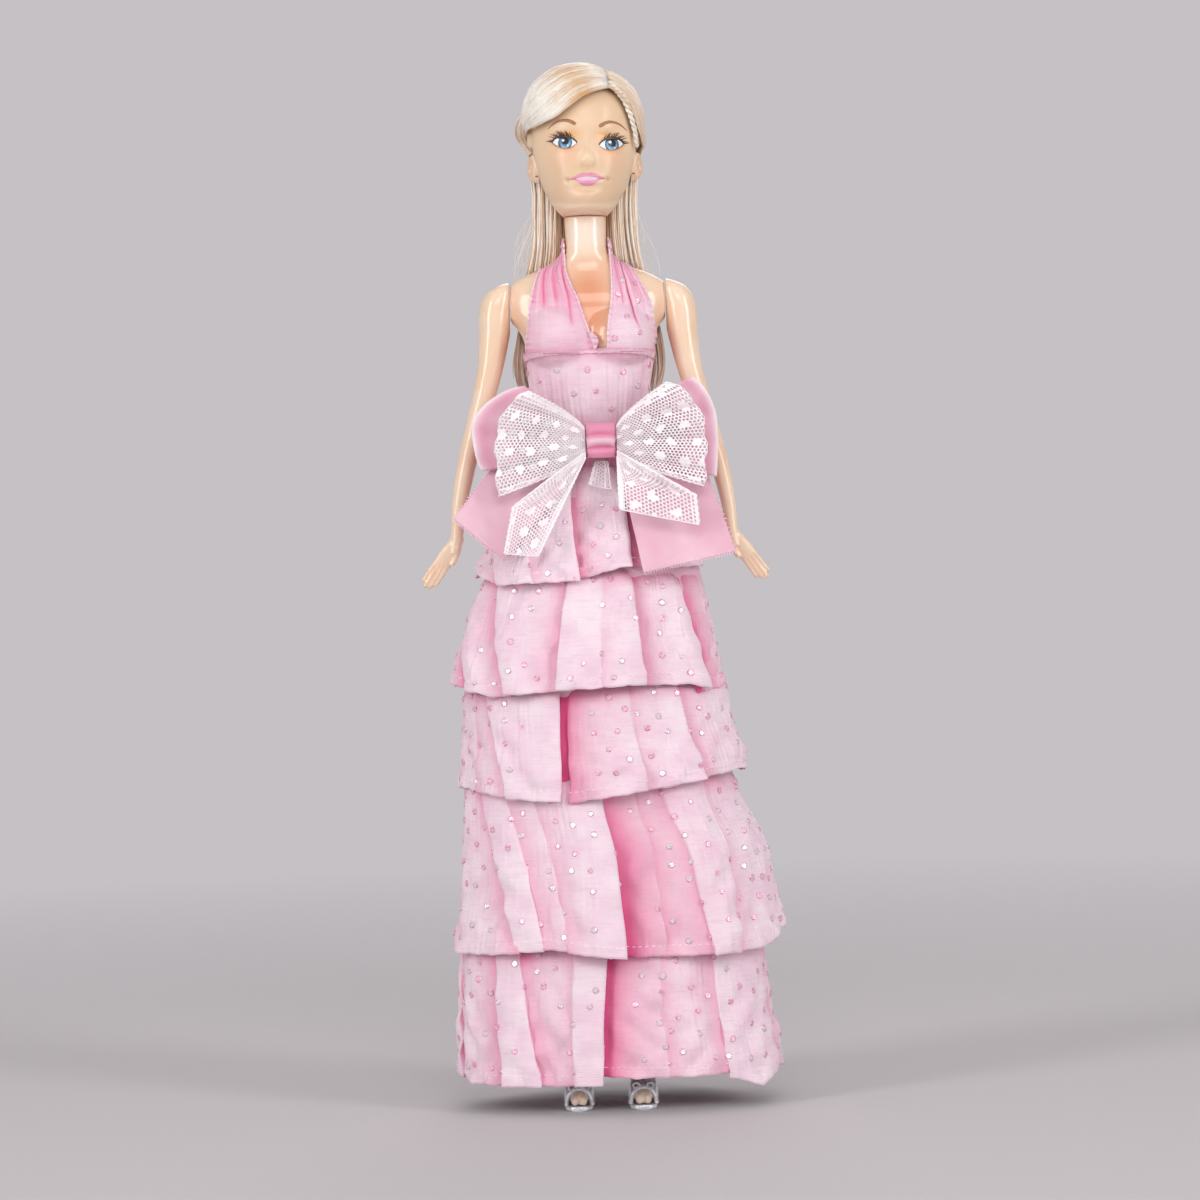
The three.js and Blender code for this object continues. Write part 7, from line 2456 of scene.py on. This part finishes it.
def silver_material():
    m = material(
        "silver_plastic", rgb(232, 233, 238), 0.3, Metallic=0.25, Coat_Weight=0.5, Coat_Roughness=0.08
    )
    where = place(m)
    flecks = ramp(m, noise(m, where, 2600, 2), 0.45, 0.7)
    worn = ramp(m, noise(m, where, 300, 3), 0.4, 0.7)
    dulled = times(m, worn, 0.5)
    bright = mix(m, flecks, rgb(230, 232, 238), rgb(250, 251, 254))
    feed(m, "Base Color", mix(m, dulled, bright, rgb(206, 209, 217)))
    feed(m, "Roughness", maths(m, "ADD", times(m, worn, 0.16), 0.24))
    feed(m, "Normal", bump(m, flecks, 0.12, 0.00008))
    return m


silver = silver_material()
ANKLE_X, ANKLE_Y = 3.15, 3.5


def band_on(surface, us, vs, thick=0.7):
    """A closed strap lying on a surface of u and v, with rounded edges."""
    u, v = np.meshgrid(us, vs)
    outer, inner = surface(u, v, thick), surface(u, v, 0.05)
    mid = (outer + inner) / 2
    rows = [
        inner[0],
        mid[0] * 0.4 + outer[0] * 0.6,
        *outer[1:-1],
        mid[-1] * 0.4 + outer[-1] * 0.6,
        inner[-1],
    ]
    rows = np.array(rows + [inner[i] for i in range(len(vs) - 2, 0, -1)])
    columns = len(us)
    closed = np.concatenate([rows, rows[:1]])
    faces = grid_faces(len(closed), columns).tolist()
    faces = [[(i % (len(rows) * columns)) for i in f] for f in faces]
    faces += [
        [k * columns for k in range(len(rows))][::-1],
        [k * columns + columns - 1 for k in range(len(rows))],
    ]
    return rows.reshape(-1, 3), faces


for side, which in ((1, "left"), (-1, "right")):
    x = side * FOOT_X
    ys = np.concatenate([np.linspace(-16.6, -15.4, 9), np.linspace(-15, 8.2, 60)])
    half = np.maximum(np.interp(ys / FOOT_LENGTH, PLAN[:, 0], PLAN[:, 1]) * 4, 0.3)
    top = sole_height(ys)
    under = np.interp(
        ys, [-16.6, -6.97, -4.2, -1.66, -0.3, 0.8, 5, 8.32], [0, 0, 1.5, 4.6, 8.4, 11.23, 12.9, 14.2]
    )
    a = circle(36)
    wide = signed_power(np.cos(a), 0.45)
    tall = signed_power(np.sin(a), 0.45)
    rings = [
        np.stack([x + h * wide, np.full(36, y), (t + b) / 2 + (t - b) / 2 * tall], -1)
        for y, h, t, b in zip(ys, half, top, under)
    ]
    parts = [solid_of_rings(rings)]
    heel = []
    for z in np.concatenate([np.linspace(13.8, 0.5, 26), [0.2, 0.0]]):
        front = np.interp(z, [0, 11.23, 13.8], [5.6, 0.8, 0.4])
        back = np.interp(z, [0, 14.4], [8.0, 8.3])
        w = np.interp(z, [0, 0.2, 5, 11, 14], [1.15, 1.3, 1.5, 2.2, 2.5])
        k = 0.93 if z < 0.1 else 1.0
        y = (front + back) / 2 + (back - front) / 2 * k * np.sin(a)
        heel.append(np.stack([x + w * k * wide, y, np.full(36, z)], -1))
    parts.append(solid_of_rings(heel))

    def toe(u, v, grow, x=x):
        a = math.pi * u
        y = -8.6 - 5.2 * v - 0.5 * np.sin(a)
        row = row_at(FOOT_ROWS, -y / FOOT_LENGTH)
        wide = row[..., 1] * FOOT_HALF + 0.15
        tall = row[..., 0] * FOOT_HEIGHT + 1.22 * row[..., 1] * FOOT_HALF * row[..., 2] + 0.15 - 1.3
        more = grow * (0.75 + 0.5 * v)
        return np.stack(
            [x + (wide + more) * np.cos(a), y, 1.3 + (tall + more * 1.1) * np.sin(a) ** 0.8], -1
        )

    parts.append(band_on(toe, evenly(48), evenly(16), 0.85))
    for s in (-1, 1):

        def strap(u, v, grow, s=s):
            return foot_point(
                side, 0.25 - s * (0.034 + 0.01 * (v - 0.5)) * (1.2 - 0.3 * u), 0.12 + 0.56 * u, grow
            )

        parts.append(band_on(strap, evenly(30), np.linspace(-0.6, 1.6, 8), 0.75))
    def ankle(u, v, grow, x=x):
        a = TAU * u
        y = 1.75 + (ANKLE_Y + 0.1 + grow) * np.sin(a)
        return np.stack(
            [x + (ANKLE_X + 0.12 + grow) * np.cos(a), y, 18.9 + 1.15 * v - 0.5 * np.sin(a)], -1
        )

    parts.append(band_on(ankle, np.linspace(0, 0.9999, 60), evenly(7), 0.62))

    def cup(u, v, grow, x=x):
        a = math.pi * (0.06 + 0.88 * u)
        low = 15.4 - 0.5 * np.abs(np.cos(a))
        z = low + v * (18.95 - low)
        out = (ANKLE_X + 0.05 + grow) * (1 - 0.1 * (1 - v)) * np.cos(a)
        y = 2.6 + (3.35 + grow) * (1 + 0.12 * (1 - v)) * np.sin(a) * 1.05
        return np.stack([x + out, y, z - 0.4 * np.sin(a) * v], -1)

    parts.append(band_on(cup, evenly(36), evenly(8), 0.6))
    for s in (-1, 1):
        a = TAU * np.arange(25) / 24
        centre = foot_point(side, 0.25 - s * 0.075, 0.735, 1.3)
        path = centre + np.stack([0.92 * np.cos(a), -0.4 * np.sin(a), 0.85 * np.sin(a)], -1)
        parts.append(tube(path, 0.3, 8, (0, -0.9, 0.3)))
    points, faces = joined(parts)[:2]
    points = points.reshape(-1, 3)
    points[:, 2] = np.maximum(points[:, 2], 0)
    shoe = mesh_object(f"sandal_{which}", points, faces, silver)
    dress(shoe, f"leg_{which}", "silver", f"shoe_{which}")

# The hidden fittings keep their own shapes, in plain nylon
nylon = material(
    "fitting_nylon", rgb(226, 222, 212), 0.5, Subsurface_Weight=0.1, Subsurface_Scale=0.001
)
cloudy = noise(nylon, place(nylon), 700, 3)
feed(
    nylon,
    "Base Color",
    mix(nylon, ramp(nylon, cloudy, 0.35, 0.7), rgb(226, 222, 212), rgb(208, 202, 190)),
)
feed(nylon, "Normal", bump(nylon, cloudy, 0.1, 0.0001))
for name in ("neck_knob", "hip_axle"):
    for slot_of_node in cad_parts[name].material_slots:
        slot_of_node.material = nylon
